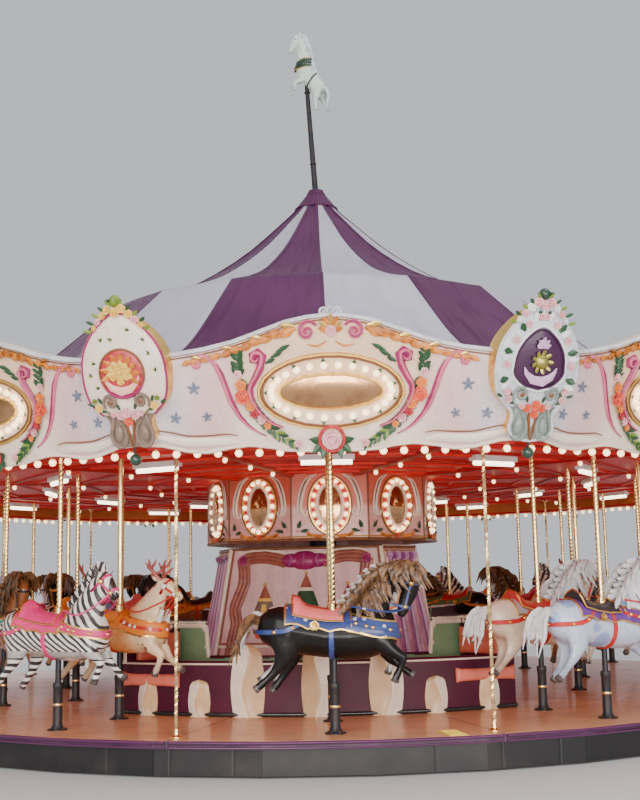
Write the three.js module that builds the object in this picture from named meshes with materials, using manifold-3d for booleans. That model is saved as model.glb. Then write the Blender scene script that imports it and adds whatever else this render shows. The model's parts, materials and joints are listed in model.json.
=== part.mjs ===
// Fairground carousel: a turning platform with jumping animals, a fixed middle and a striped canopy.
// Millimetres, +Z up, origin on the ground under the mast, the viewer's side is -Y.
// An angle is counted in degrees from the viewer's side towards +X, so 0 is the front.
import * as THREE from "three";
import { mergeVertices } from "three/addons/utils/BufferGeometryUtils.js";
import Module from "manifold-3d";

const wasm = await Module();
wasm.setup();

// Driving dimensions
const SECTORS = 12;
const SECTOR = 360 / SECTORS;
const GAP = 0.3;
const BEARING_GAP = 0.5;
const ANGLE_GAP = 0.02;
// How far a joined piece sinks into its neighbour, and how far a cutting tool runs past a face.
const BURY = 5;
const CUT_PAST = 10;

const DECK_TOP = 260;
const DECK_THICK = 60;
const DECK_OUTER = 4600;
const DECK_INNER = 1750;
const DECK_SECTIONS = 6;
const DECK_STEP = 10;
const DECK_SEAM_SHIFT = 1.5;
const SKIRT_RADIUS = 4555;
const SKIRT_THICK = 14;
const SKIRT_FOOT = 16;

const HANGER_RADIUS = 11;
const HANGER_RING = 4420;

const POLE_RADIUS = 23;
const TUBE_RADIUS = 34;
const TUBE_TOP = 610;
const TUBE_FLOOR = 275;
const POLE_FOOT = 395;
const POLE_HEAD = 2600;
const ROUND_SIDES = 6;

const CEILING_UNDER = 2420;
const CEILING_THICK = 20;
const CEILING_TOP = CEILING_UNDER + CEILING_THICK;
const CEILING_HUB_GAP = 40;

const MAST_RADIUS = 150;
const MAST_NECK_RADIUS = 62;
const MAST_SHOULDER = 3100;
const MAST_TAPER = 150;
const MAST_TOP = 5700;
const MAST_SIDES = 12;

const HUB_RADIUS = 260;
const HUB_HEIGHT = 220;
const SWEEP_WIDTH = 80;
const SWEEP_HEIGHT = 120;
const ARM_ROOT = 20;
const RIM_WIDTH = 90;

const BOARD_FOOT = 2245;
const BOARD_FOOT_RADIUS = 5120;
const BOARD_LEAN = 0.373;
const BOARD_THICK = 40;
const BOARD_END_RISE = 655;
const BOARD_CROWN_RISE = 870;
const BOARD_CREST_RISE = 950;
const SHIELD_WIDTH = 600;
const SHIELD_THICK = 46;
const SHIELD_TOP_RISE = 1025;
const SHIELD_FOOT_RISE = 85;
const SHIELD_STANDOFF = 2;
const WEDGE_NEAR = 20;
const WEDGE_FAR = 216;
const WEDGE_RISE = 300;
const WEDGE_HEIGHT = 280;
const BALL_RADIUS = 52;

const GORES = 18;
const CANOPY_THICK = 14;
const CANOPY_APEX_RADIUS = 74;
const HOOP_RADIUS = 2420;
const HOOP_TOP = 4170;
const HOOP_SIZE = 44;
const HOOP_POST_SIZE = 70;
const HOOP_POST_INSET = 60;

const HOUSING_SIDES = 10;
const HOUSING_TURN = 2.8;
const HOUSING_RADIUS = 1256;
const HOUSING_FOOT = 1750;
const HOUSING_THICK = 34;
const SCENERY_SIDES = 3;
const SCENERY_TURN = -15;
const SCENERY_WIDE = 47;
const SCENERY_FOOT_RADIUS = 1400;
const SCENERY_TOP_RADIUS = 1120;
const SCENERY_TOP = 1705;
const SCENERY_THICK = 30;

const BEAM_HEIGHT = 140;
const BEAM_WIDTH = 160;
const BEAM_REACH = 2250;
const PLATE_THICK = 40;

const OUTER_ROW = 4240;
const MIDDLE_ROW = 3500;
const INNER_ROW = 2800;

const CHARIOT_OUTER = 3170;
const CHARIOT_INNER = 2430;
const CHARIOT_WALL = 34;
const CHARIOT_HEIGHT = 430;
const SEAT_HEIGHT = 400;
const BACK_HEIGHT = 740;
const CHARIOT_TURN = -2.2;
const CHARIOT_OPEN_END = 1;
const CHARIOT_CLOSED_END = 32;
const CHARIOT_STEP = 6;
const SEAT_FROM = 21.5;
const SIDE_BACK_FROM = 24;
const END_BACK_FROM = 31.2;

const FINIAL_LEAN = 3.4;
const FINIAL_POLE_RADIUS = 24;
const FINIAL_DISC_RADIUS = 73;
const FINIAL_DISC_HEIGHT = 45;
const FINIAL_LEG_SPREAD = 55;
const FINIAL_POLE_LENGTH = 1350;

// Materials
const paint = (color, roughness, metalness = 0) =>
  new THREE.MeshStandardMaterial({ color, roughness, metalness });
const boardPaint = paint(0xf3dcc4, 0.35);
const deckWood = paint(0xc07a3e, 0.6);
const redPaint = paint(0xc6231f, 0.4);
const darkSteel = paint(0x202024, 0.55, 0.6);
const canopyCloth = paint(0x4a1f4e, 0.8);
const housingPaint = paint(0xe8705a, 0.4);
const sceneryPaint = paint(0xe3b5ad, 0.45);
const chariotPaint = paint(0x5b2350, 0.45);
const whitePaint = paint(0xe9e6df, 0.3);
const blackPaint = paint(0x17140f, 0.3);
const brownPaint = paint(0x8a4a22, 0.35);
const creamPaint = paint(0xead9b8, 0.35);
const finialPaint = paint(0xd9e6d6, 0.4);

// Points and plain shapes
const radians = THREE.MathUtils.degToRad;
const around = (radius, angle, z) =>
  new THREE.Vector3(radius * Math.sin(radians(angle)), -radius * Math.cos(radians(angle)), z);
const range = (count) => Array.from({ length: count }, (_, i) => i);

function closedGeometry(points, faces) {
  const geometry = new THREE.BufferGeometry().setFromPoints(points);
  const corner = points[faces[0][0]];
  let volume = 0;
  for (const [a, b, c] of faces) {
    const side = points[b].clone().sub(corner).cross(points[c].clone().sub(corner));
    volume += points[a].clone().sub(corner).dot(side);
  }
  geometry.setIndex(faces.flatMap(([a, b, c]) => (volume < 0 ? [a, c, b] : [a, b, c])));
  return geometry;
}

function solidOf(geometry) {
  const bare = geometry.clone();
  bare.deleteAttribute("normal");
  bare.deleteAttribute("uv");
  const merged = mergeVertices(bare, 1e-3);
  const mesh = new wasm.Mesh({
    numProp: 3,
    vertProperties: merged.attributes.position.array,
    triVerts: new Uint32Array(merged.index.array),
  });
  return new wasm.Manifold(mesh);
}

function geometryOf(solid) {
  const { numProp, vertProperties, triVerts } = solid.getMesh();
  const count = vertProperties.length / numProp;
  const points = range(count).map((i) => vertProperties.slice(i * numProp, i * numProp + 3));
  const geometry = new THREE.BufferGeometry();
  geometry.setAttribute("position", new THREE.Float32BufferAttribute(points.flatMap((p) => [...p]), 3));
  return geometry.setIndex([...triVerts]);
}

const join = (geometries) => geometryOf(geometries.map(solidOf).reduce((sum, solid) => sum.add(solid)));
const cut = (geometry, tools) =>
  geometryOf(tools.map(solidOf).reduce((rest, tool) => rest.subtract(tool), solidOf(geometry)));

// A loft through rings of points that all have the same count.
function loft(rings) {
  const sides = rings[0].length;
  const faces = [];
  for (let ring = 0; ring + 1 < rings.length; ring++) {
    for (let i = 0; i < sides; i++) {
      const a = ring * sides + i;
      const b = ring * sides + ((i + 1) % sides);
      faces.push([a, b, b + sides], [a, b + sides, a + sides]);
    }
  }
  const last = (rings.length - 1) * sides;
  for (let i = 1; i + 1 < sides; i++) faces.push([0, i + 1, i], [last, last + i, last + i + 1]);
  return closedGeometry(rings.flat(), faces);
}

// A closed profile of [radius, z] points swept through a list of angles; a full turn closes on itself.
function sweep(profile, angles, full = false) {
  const rings = angles.map((angle) => profile.map(([radius, z]) => around(radius, angle, z)));
  const sides = profile.length;
  const faces = [];
  const spans = full ? rings.length : rings.length - 1;
  for (let ring = 0; ring < spans; ring++) {
    for (let i = 0; i < sides; i++) {
      const a = ring * sides + i;
      const b = ring * sides + ((i + 1) % sides);
      const c = ((ring + 1) % rings.length) * sides + ((i + 1) % sides);
      const d = ((ring + 1) % rings.length) * sides + i;
      faces.push([a, b, c], [a, c, d]);
    }
  }
  if (!full) {
    const outline = profile.map(([radius, z]) => new THREE.Vector2(radius, z));
    const clockwise = THREE.ShapeUtils.isClockWise(outline);
    const last = (rings.length - 1) * sides;
    for (const [a, b, c] of THREE.ShapeUtils.triangulateShape(outline, [])) {
      const [p, q] = clockwise ? [b, c] : [c, b];
      faces.push([a, p, q], [last + a, last + q, last + p]);
    }
  }
  return closedGeometry(rings.flat(), faces);
}

const rectangle = (inner, outer, low, high) => [
  [inner, low],
  [outer, low],
  [outer, high],
  [inner, high],
];
const turnSteps = (count, start = 0) => range(count).map((i) => start + (i * 360) / count);
const spanSteps = (from, to, step) => {
  const count = Math.max(1, Math.round((to - from) / step));
  return range(count + 1).map((i) => from + ((to - from) * i) / count);
};

function block(width, depth, height, x, y, z) {
  return new THREE.BoxGeometry(width, depth, height).translate(x, y, z);
}

function post(radius, low, high, x, y, sides = ROUND_SIDES) {
  const cylinder = new THREE.CylinderGeometry(radius, radius, high - low, sides);
  return cylinder.rotateX(Math.PI / 2).translate(x, y, (low + high) / 2);
}

const postAt = ({ row, angle }, radius, low, high) =>
  post(radius, low, high, 0, -row).rotateZ(radians(angle));

// The rounding boards' back: how far out a twelve-sided ring may reach at a height.
const lean = (z) => BOARD_FOOT_RADIUS + BOARD_LEAN * (z - BOARD_FOOT);
const halfSector = radians(SECTOR / 2);
const boardTilt = Math.atan(BOARD_LEAN * Math.cos(halfSector));
const boardBack = (z) => lean(z) * Math.cos(halfSector) - BOARD_THICK / Math.cos(boardTilt);
const ringReach = (z) => boardBack(z) / Math.cos(halfSector) - GAP;

// The fixed middle
function baseFrame() {
  const underside = BEAM_HEIGHT - PLATE_THICK;
  const plate = sweep(rectangle(0, SCENERY_FOOT_RADIUS, underside, BEAM_HEIGHT), sceneryAngles(), true);
  const height = underside + BURY;
  const beams = [0, 90].map((turn) =>
    block(2 * BEAM_REACH, BEAM_WIDTH, height, 0, 0, height / 2).rotateZ(radians(turn)),
  );
  return join([plate, ...beams]);
}

function sceneryAngles() {
  const middles = turnSteps(SCENERY_SIDES, SCENERY_TURN);
  return middles.flatMap((middle) => [middle - SCENERY_WIDE, middle + SCENERY_WIDE]);
}

// One wide board and the narrow corner board on its right.
function sceneryBoard(side) {
  const between = 360 / SCENERY_SIDES;
  const middle = SCENERY_TURN + between * side;
  const nextCorner = middle + between - SCENERY_WIDE - ANGLE_GAP;
  const profile = [
    [SCENERY_FOOT_RADIUS - SCENERY_THICK, BEAM_HEIGHT],
    [SCENERY_FOOT_RADIUS, BEAM_HEIGHT],
    [SCENERY_TOP_RADIUS, SCENERY_TOP],
    [SCENERY_TOP_RADIUS - SCENERY_THICK, SCENERY_TOP],
  ];
  return sweep(profile, [middle - SCENERY_WIDE, middle + SCENERY_WIDE, nextCorner]);
}

function mast() {
  const profile = [
    [0, BEAM_HEIGHT],
    [MAST_RADIUS, BEAM_HEIGHT],
    [MAST_RADIUS, MAST_SHOULDER],
    [MAST_NECK_RADIUS, MAST_SHOULDER + MAST_TAPER],
    [MAST_NECK_RADIUS, MAST_TOP],
    [0, MAST_TOP],
  ].map(([radius, z]) => new THREE.Vector2(radius, z));
  return new THREE.LatheGeometry(profile, MAST_SIDES).rotateX(Math.PI / 2);
}

// The turning frame: a sixth of the deck with its skirt, floor tubes and hanger rods.
function deckSection(index, poles) {
  const width = 360 / DECK_SECTIONS;
  const start = index * width - SECTOR / 2;
  const from = start - DECK_SEAM_SHIFT;
  const to = from + width - 2 * ANGLE_GAP;
  const angles = spanSteps(from, to, DECK_STEP);
  const slab = sweep(rectangle(DECK_INNER, DECK_OUTER, DECK_TOP - DECK_THICK, DECK_TOP), angles);
  const skirtTop = DECK_TOP - DECK_THICK + BURY;
  const skirt = sweep(rectangle(SKIRT_RADIUS - SKIRT_THICK, SKIRT_RADIUS, SKIRT_FOOT, skirtTop), angles);
  const mine = poles.filter(({ angle }) => angle > from && angle < to);
  const tubes = mine.map((rider) => postAt(rider, TUBE_RADIUS, DECK_TOP - BURY, TUBE_TOP));
  const bore = POLE_RADIUS + BEARING_GAP;
  const bores = mine.map((rider) => postAt(rider, bore, TUBE_FLOOR, TUBE_TOP + CUT_PAST));
  const rods = [0, SECTOR].map((step) =>
    postAt({ row: HANGER_RING, angle: start + step }, HANGER_RADIUS, DECK_TOP - BURY, CEILING_UNDER - GAP),
  );
  return cut(join([slab, skirt, ...tubes, ...rods]), bores);
}

// The hub with its twelve sweeps, each as long as the rim's corner lets it be.
function sweepFrame() {
  const high = CEILING_TOP + SWEEP_HEIGHT;
  const ring = rectangle(MAST_RADIUS + BEARING_GAP, HUB_RADIUS, CEILING_TOP, CEILING_TOP + HUB_HEIGHT);
  const hub = sweep(ring, turnSteps(MAST_SIDES), true);
  const start = HUB_RADIUS - ARM_ROOT;
  const end = rimOuter() - RIM_WIDTH - (SWEEP_WIDTH / 2) * Math.tan(halfSector) - GAP;
  const arm = block(SWEEP_WIDTH, end - start, SWEEP_HEIGHT, 0, -(end + start) / 2, (CEILING_TOP + high) / 2);
  const arms = range(SECTORS).map((i) => arm.clone().rotateZ(radians(SECTOR * (i + 0.5))));
  return join([hub, ...arms]);
}

const rimOuter = () => ringReach(CEILING_TOP);

// The ring beam that ties the sweeps' ends and carries the rounding boards.
function rimFrame() {
  const section = rectangle(rimOuter() - RIM_WIDTH, rimOuter(), CEILING_TOP, CEILING_TOP + SWEEP_HEIGHT);
  return sweep(section, turnSteps(SECTORS, SECTOR / 2), true);
}

function ceiling(poles) {
  const inner = HUB_RADIUS + CEILING_HUB_GAP;
  const profile = rectangle(inner, ringReach(CEILING_UNDER), CEILING_UNDER, CEILING_TOP);
  const sheet = sweep(profile, turnSteps(SECTORS, SECTOR / 2), true);
  const bore = POLE_RADIUS + BEARING_GAP;
  const holes = poles.map((rider) => postAt(rider, bore, CEILING_UNDER - CUT_PAST, CEILING_TOP + CUT_PAST));
  return cut(sheet, holes);
}

// A rounding board's outline, in its own leaning plane: x along the chord, y up the board.
// It sweeps up from the joint to the crown and ends in a pointed crest; the foot is scalloped.
function boardOutline() {
  const slope = 1 / Math.cos(boardTilt);
  const end = (height) => boardBack(BOARD_FOOT + height) * Math.tan(halfSector) - GAP;
  const right = [
    [300, 0],
    [560, 40],
    [850, -5],
    [end(0), 60],
    [end(BOARD_END_RISE), BOARD_END_RISE],
    [1060, BOARD_END_RISE - 15],
    [560, BOARD_CROWN_RISE - 95],
    [240, BOARD_CROWN_RISE],
    [90, BOARD_CREST_RISE - 60],
  ];
  const left = right.map(([x, y]) => [-x, y]).reverse();
  const points = [...right, [0, BOARD_CREST_RISE], ...left];
  return points.map(([x, y]) => new THREE.Vector2(x, y * slope));
}

function board() {
  const shape = new THREE.Shape(boardOutline());
  const slab = new THREE.ExtrudeGeometry(shape, { depth: BOARD_THICK, bevelEnabled: false });
  const apothem = boardBack(BOARD_FOOT);
  return slab.rotateX(Math.PI / 2 + boardTilt).translate(0, -apothem, BOARD_FOOT);
}

// A shield's outline as shares of its half width and its rise: an egg on a narrow foot, under a knob.
const SHIELD_OUTLINE = [
  [0.42, 0],
  [0.54, 0.08],
  [0.52, 0.15],
  [0.76, 0.2],
  [0.97, 0.32],
  [1, 0.48],
  [0.9, 0.64],
  [0.58, 0.78],
  [0.17, 0.87],
  [0.12, 0.96],
];

function shieldOutline() {
  const half = SHIELD_WIDTH / 2;
  const rise = SHIELD_TOP_RISE - SHIELD_FOOT_RISE;
  const right = SHIELD_OUTLINE.map(([x, y]) => [x * half, SHIELD_FOOT_RISE + y * rise]);
  const left = right.map(([x, y]) => [-x, y]).reverse();
  return [...right, [0, SHIELD_TOP_RISE], ...left];
}

// The wedge that fills the valley between a shield's back and the board on one side of the joint.
function shieldWedge(side) {
  const sink = BOARD_THICK / 2;
  const depthAt = (x) => -x * Math.tan(halfSector) - sink;
  const plan = [
    [WEDGE_NEAR, SHIELD_THICK / 2],
    [WEDGE_FAR, SHIELD_THICK / 2],
    [WEDGE_FAR, depthAt(WEDGE_FAR)],
    [WEDGE_NEAR, depthAt(WEDGE_NEAR)],
  ].map(([x, depth]) => new THREE.Vector2(side * x, -depth));
  const settings = { depth: WEDGE_HEIGHT, bevelEnabled: false };
  const wedge = new THREE.ExtrudeGeometry(new THREE.Shape(plan), settings);
  return wedge.rotateX(-Math.PI / 2).translate(0, WEDGE_RISE, 0);
}

// A shield over a joint of two boards, with a ball below it; ownSides are the boards it is fixed to.
function shield(ownSides) {
  const tilt = Math.atan(BOARD_LEAN);
  const slope = 1 / Math.cos(tilt);
  const shape = new THREE.Shape(shieldOutline().map(([x, y]) => new THREE.Vector2(x, y * slope)));
  const slab = new THREE.ExtrudeGeometry(shape, { depth: SHIELD_THICK, bevelEnabled: false });
  const plate = slab.translate(0, 0, SHIELD_STANDOFF);
  const ball = new THREE.OctahedronGeometry(BALL_RADIUS, 0);
  ball.translate(0, SHIELD_FOOT_RISE - BALL_RADIUS / 2, BALL_RADIUS + 2 * SHIELD_STANDOFF);
  const whole = join([plate, ...ownSides.map(shieldWedge), ball]);
  return whole.rotateX(Math.PI / 2 + tilt).translate(0, -BOARD_FOOT_RADIUS, BOARD_FOOT);
}

// Two boards with the shield between them and the shield at their far end.
function roundingBoards(index) {
  const start = index * 2 * SECTOR;
  const pieces = [
    board().rotateZ(radians(start)),
    board().rotateZ(radians(start + SECTOR)),
    shield([-1, 1]).rotateZ(radians(start + SECTOR / 2)),
    shield([-1]).rotateZ(radians(start + (3 * SECTOR) / 2)),
  ];
  return join(pieces);
}

// The canopy swoops from the apex to the hoop, drops over it and runs out to the rim.
function canopyProfile() {
  return [
    [CANOPY_APEX_RADIUS, 5765],
    [480, 5320],
    [940, 4905],
    [1500, 4525],
    [HOOP_RADIUS, HOOP_TOP],
    [3160, 3515],
    [3480, 3290],
    [4120, 2930],
    [4930, CEILING_TOP + SWEEP_HEIGHT + CANOPY_THICK + GAP],
  ];
}

function canopy() {
  const outer = canopyProfile();
  const inner = outer.map(([radius, z]) => [radius, z - CANOPY_THICK]).reverse();
  return sweep([...outer, ...inner], turnSteps(GORES), true);
}

function canopyHoop() {
  const top = HOOP_TOP - CANOPY_THICK - GAP;
  const section = rectangle(HOOP_RADIUS - HOOP_SIZE, HOOP_RADIUS - GAP, top - HOOP_SIZE, top);
  const ring = sweep(section, turnSteps(GORES), true);
  const foot = CEILING_TOP + SWEEP_HEIGHT;
  const height = top - HOOP_SIZE / 2 - foot;
  const row = HOOP_RADIUS - HOOP_POST_INSET;
  const upright = block(HOOP_POST_SIZE, HOOP_POST_SIZE, height, 0, -row, foot + height / 2);
  const uprights = range(SECTORS / 2).map((i) => upright.clone().rotateZ(radians(SECTOR * (2 * i + 0.5))));
  return join([ring, ...uprights]);
}

function upperHousing() {
  const wall = rectangle(HOUSING_RADIUS - HOUSING_THICK, HOUSING_RADIUS, HOUSING_FOOT, CEILING_UNDER);
  const corner = HOUSING_TURN + 180 / HOUSING_SIDES;
  return sweep(wall, turnSteps(HOUSING_SIDES, corner), true);
}

// Limbs and bodies: a tube through stations of [x, z, half width, half height, y].
function limb(stations, sides) {
  const centres = stations.map(([x, z, , , y = 0]) => new THREE.Vector3(x, y, z));
  const rings = stations.map(([, , wide, tall], i) => {
    const before = centres[Math.max(0, i - 1)];
    const after = centres[Math.min(centres.length - 1, i + 1)];
    const along = after.clone().sub(before).normalize();
    const across = new THREE.Vector3(0, 1, 0);
    const up = along.clone().cross(across).normalize();
    return range(sides).map((k) => {
      const turn = (2 * Math.PI * (k + 0.5)) / sides;
      const offset = across.clone().multiplyScalar(wide * Math.cos(turn));
      return centres[i].clone().add(offset).addScaledVector(up, tall * Math.sin(turn));
    });
  });
  return loft(rings);
}

const bothSides = (make) => [-1, 1].map(make);

// Where a leg bends, as [shoulder or hip, knee, hoof] in the x-z plane.
const GALLOP = [
  { side: -1, path: [[310, 960], [500, 800], [430, 640]] },
  { side: 1, path: [[300, 960], [430, 760], [560, 660]] },
  { side: -1, path: [[-350, 960], [-400, 740], [-560, 600]] },
  { side: 1, path: [[-330, 960], [-330, 740], [-440, 570]] },
];
const CROUCH = [
  { side: -1, path: [[285, 935], [425, 805], [520, 722]] },
  { side: 1, path: [[262, 932], [382, 772], [470, 692]] },
  { side: -1, path: [[-342, 934], [-252, 724], [-446, 642]] },
  { side: 1, path: [[-322, 931], [-224, 712], [-418, 622]] },
];
const LEG_SPREAD = 90;
const LEG_TOP = [50, 80];
const LEG_KNEE = [34, 42];
const LEG_HOOF = [36, 42];

function legs(pose) {
  return pose.map(({ side, path: [hip, knee, hoof] }) => {
    const y = side * LEG_SPREAD;
    return limb([[...hip, ...LEG_TOP, y], [...knee, ...LEG_KNEE, y], [...hoof, ...LEG_HOOF, y]], 3);
  });
}

const BARREL = [
  [-480, 1025, 85, 95],
  [-330, 980, 165, 165],
  [40, 950, 165, 170],
  [330, 990, 150, 185],
];

// Necks stand on the barrel and arch to the poll; heads hang from there. The rabbit's head ends its neck.
const HORSE_NECK = [[290, 1150, 84, 128], [385, 1320, 66, 92], [500, 1396, 52, 62]];
const HORSE_HEAD = [[520, 1392, 52, 60], [574, 1310, 56, 78], [532, 1165, 38, 50], [492, 1080, 28, 30]];
const ZEBRA_NECK = [[290, 1150, 86, 135], [352, 1290, 66, 100], [400, 1385, 50, 60]];
const ZEBRA_HEAD = [[405, 1400, 50, 56], [462, 1362, 56, 76], [535, 1288, 38, 46], [568, 1250, 28, 30]];
const REINDEER_NECK = [[300, 1140, 80, 122], [375, 1262, 62, 92], [440, 1330, 48, 58]];
const REINDEER_HEAD = [[445, 1345, 46, 52], [500, 1318, 52, 68], [585, 1262, 34, 42], [628, 1232, 26, 28]];
const RABBIT_FRONT = [[391, 1157, 80, 130], [452, 1304, 56, 84], [592, 1222, 38, 46]];
const BODY_SIDES = 6;

// Tail, barrel and neck in one loft.
function bodyLoft([tipX, tipZ], neck) {
  const rump = BARREL[0];
  const stations = [
    [tipX, tipZ, 26, 30],
    [(tipX + rump[0]) / 2, (tipZ + rump[1]) / 2 + 60, 52, 60],
    ...BARREL,
    ...neck,
  ];
  return limb(stations, BODY_SIDES);
}

// An antler or a long ear that leans away from the middle.
const prong = (x, z, lean, height) => (side) =>
  limb([[x, z, 30, 30, side * 30], [x + lean, z + height, 16, 16, side * 95]], 3);

const ANIMALS = {
  horse: () => [
    bodyLoft([-740, 800], HORSE_NECK),
    limb(HORSE_HEAD, BODY_SIDES),
    ...legs(GALLOP),
  ],
  zebra: () => [
    bodyLoft([-690, 760], ZEBRA_NECK),
    limb(ZEBRA_HEAD, BODY_SIDES),
    ...legs(GALLOP),
  ],
  reindeer: () => [
    bodyLoft([-620, 980], REINDEER_NECK),
    limb(REINDEER_HEAD, BODY_SIDES),
    ...legs(GALLOP),
    ...bothSides(prong(435, 1360, -60, 190)),
  ],
  rabbit: () => [
    bodyLoft([-585, 1024], RABBIT_FRONT),
    ...legs(CROUCH),
    ...bothSides(prong(424, 1352, -205, 148)),
  ],
};

const animal = (kind) => join([...ANIMALS[kind](), post(POLE_RADIUS, POLE_FOOT, POLE_HEAD, 0, 0)]);

// A chariot in the inner row, from its open end near the front or the back line round to its closed end:
// a tub with one bench, whose back rises behind the bench and along its inner side.
function chariot(line, side) {
  const at = (angle) => line + CHARIOT_TURN + side * angle;
  const arc = (from, to) => {
    const ends = [at(from), at(to)].sort((a, b) => a - b);
    return spanSteps(...ends, CHARIOT_STEP);
  };
  const whole = arc(CHARIOT_OPEN_END, CHARIOT_CLOSED_END);
  const high = DECK_TOP + CHARIOT_HEIGHT;
  const backTop = DECK_TOP + BACK_HEIGHT;
  const innerFace = CHARIOT_INNER + CHARIOT_WALL;
  const inner = CHARIOT_INNER + CHARIOT_WALL / 2;
  const outer = CHARIOT_OUTER - CHARIOT_WALL / 2;
  return join([
    sweep(rectangle(CHARIOT_OUTER - CHARIOT_WALL, CHARIOT_OUTER, DECK_TOP, high), whole),
    sweep(rectangle(CHARIOT_INNER, innerFace, DECK_TOP, high), whole),
    sweep(rectangle(CHARIOT_INNER, innerFace, DECK_TOP, backTop), arc(SIDE_BACK_FROM, CHARIOT_CLOSED_END)),
    sweep(rectangle(inner, outer, DECK_TOP, DECK_TOP + SEAT_HEIGHT), arc(SEAT_FROM, CHARIOT_CLOSED_END)),
    sweep(rectangle(inner, outer, DECK_TOP, backTop), arc(END_BACK_FROM, CHARIOT_CLOSED_END)),
  ]);
}

// The rearing horse of the finial, as heights above the disc that its pole stands on.
const REARING = {
  torso: [[30, 1270, 60, 70], [-30, 1440, 100, 120], [-110, 1680, 90, 115], [-140, 1780, 55, 80]],
  neck: [[-120, 1700, 60, 90], [-190, 1880, 42, 60], [-200, 1990, 30, 42]],
  head: [[-180, 2010, 30, 34], [-240, 1950, 30, 36], [-290, 1880, 20, 22]],
  brush: [[30, 1330, 22, 26], [120, 1260, 26, 30], [135, 1110, 12, 14]],
  front: [[-130, 1650, 26, 40], [-250, 1560, 20, 24], [-235, 1400, 18, 20]],
  hind: [[0, 1350, 34, 50], [70, 1230, 22, 26], [60, 1080, 18, 20]],
};

function finial() {
  const disc = post(FINIAL_DISC_RADIUS, 0, FINIAL_DISC_HEIGHT, 0, 0, MAST_SIDES);
  const pole = post(FINIAL_POLE_RADIUS, FINIAL_DISC_HEIGHT / 2, FINIAL_POLE_LENGTH, 0, 0);
  const pair = (path) => bothSides((side) => limb(path.map((at) => [...at, side * FINIAL_LEG_SPREAD]), 4));
  const parts = [
    disc,
    pole.rotateY(radians(-FINIAL_LEAN)),
    limb(REARING.torso, 6),
    limb(REARING.neck, 6),
    limb(REARING.head, 4),
    limb(REARING.brush, 4),
    ...pair(REARING.front),
    ...pair(REARING.hind),
  ];
  return join(parts).translate(0, 0, MAST_TOP + BEARING_GAP);
}

// Which animal rides where: one letter for each sector, counted from the front; a dot is an empty place.
const KINDS = { h: "horse", z: "zebra", d: "reindeer", r: "rabbit" };
const ROWS = [
  { name: "outer", row: OUTER_ROW, line: "hhhrhzhhdhhz" },
  { name: "middle", row: MIDDLE_ROW, line: "hhrhzhdhhrhd" },
  { name: "inner", row: INNER_ROW, line: "..hdh...rhd." },
];
const COATS = [blackPaint, whitePaint, creamPaint, brownPaint];

function stable() {
  return ROWS.flatMap(({ name, row, line }) =>
    range(SECTORS)
      .filter((i) => line[i] in KINDS)
      .map((i) => ({ name, row, place: i + 1, kind: KINDS[line[i]], angle: SECTOR * i })),
  );
}

// The carousel
const carousel = new THREE.Group();
function add(name, geometry, material, turn = 0) {
  const mesh = new THREE.Mesh(geometry, material);
  mesh.name = name;
  mesh.rotation.z = radians(turn);
  carousel.add(mesh);
}

const riders = stable();
add("base_frame", baseFrame(), darkSteel);
add("centre_mast", mast(), darkSteel);
["front", "right", "left"].forEach((side, i) => {
  add(`scenery_${side}`, sceneryBoard(i), sceneryPaint);
});
range(DECK_SECTIONS).forEach((i) => add(`deck_${i + 1}`, deckSection(i, riders), deckWood));
add("sweep_frame", sweepFrame(), darkSteel);
add("rim_frame", rimFrame(), darkSteel);
add("ceiling", ceiling(riders), redPaint);
range(SECTORS / 2).forEach((i) => add(`rounding_boards_${i + 1}`, roundingBoards(i), boardPaint));
add("canopy", canopy(), canopyCloth);
add("canopy_hoop", canopyHoop(), darkSteel);
add("upper_housing", upperHousing(), housingPaint);
add("finial", finial(), finialPaint);
[[0, -1], [0, 1], [180, -1], [180, 1]].forEach(([line, side], i) => {
  add(`chariot_${i + 1}`, chariot(line, side), chariotPaint);
});
riders.forEach(({ name, row, place, kind, angle }, i) => {
  const coat = kind === "zebra" ? whitePaint : COATS[i % COATS.length];
  add(`${name}_${kind}_${place}`, animal(kind).translate(0, -row, 0), coat, angle);
});

export default carousel;
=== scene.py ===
# %% [markdown]
# # A fairground carousel
# This lesson dresses a portable carousel in Blender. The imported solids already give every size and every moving
# body, so each piece that we make only has to sit where a solid says and ride on the body that carries it.
# We go from the roof down: canopy, rounding boards, shields, ceiling, housing, animals, deck, middle, finial.

import json
import math
import random

import bpy
import numpy as np
from mathutils import Matrix, Vector
from mathutils.bvhtree import BVHTree

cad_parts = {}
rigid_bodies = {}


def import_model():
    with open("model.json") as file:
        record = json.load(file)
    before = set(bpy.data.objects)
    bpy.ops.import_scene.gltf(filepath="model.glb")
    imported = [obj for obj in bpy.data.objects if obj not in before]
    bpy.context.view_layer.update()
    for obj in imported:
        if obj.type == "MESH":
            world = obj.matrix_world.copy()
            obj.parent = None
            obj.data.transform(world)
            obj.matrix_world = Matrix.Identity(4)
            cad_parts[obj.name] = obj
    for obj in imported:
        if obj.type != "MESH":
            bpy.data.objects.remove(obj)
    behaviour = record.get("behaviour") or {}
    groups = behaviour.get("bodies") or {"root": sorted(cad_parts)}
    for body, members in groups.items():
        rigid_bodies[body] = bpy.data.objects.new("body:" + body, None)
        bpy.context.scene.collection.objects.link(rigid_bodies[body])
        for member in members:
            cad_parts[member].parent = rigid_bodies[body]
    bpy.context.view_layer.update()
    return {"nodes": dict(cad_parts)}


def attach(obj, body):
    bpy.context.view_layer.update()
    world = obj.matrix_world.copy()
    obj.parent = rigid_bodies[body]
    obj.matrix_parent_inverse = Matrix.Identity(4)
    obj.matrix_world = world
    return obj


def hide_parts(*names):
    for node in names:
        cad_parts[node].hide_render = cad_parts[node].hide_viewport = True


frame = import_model()
nodes = frame["nodes"]

# %% [markdown]
# The camera comes first. It stands about 12.9 m from the mast with its eye 1.35 m above the ground and looks up a
# little, which is why the undersides of the ceiling and of the leaning boards show. Placing it by a matrix keeps
# the small roll that a hand-held camera has.

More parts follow.
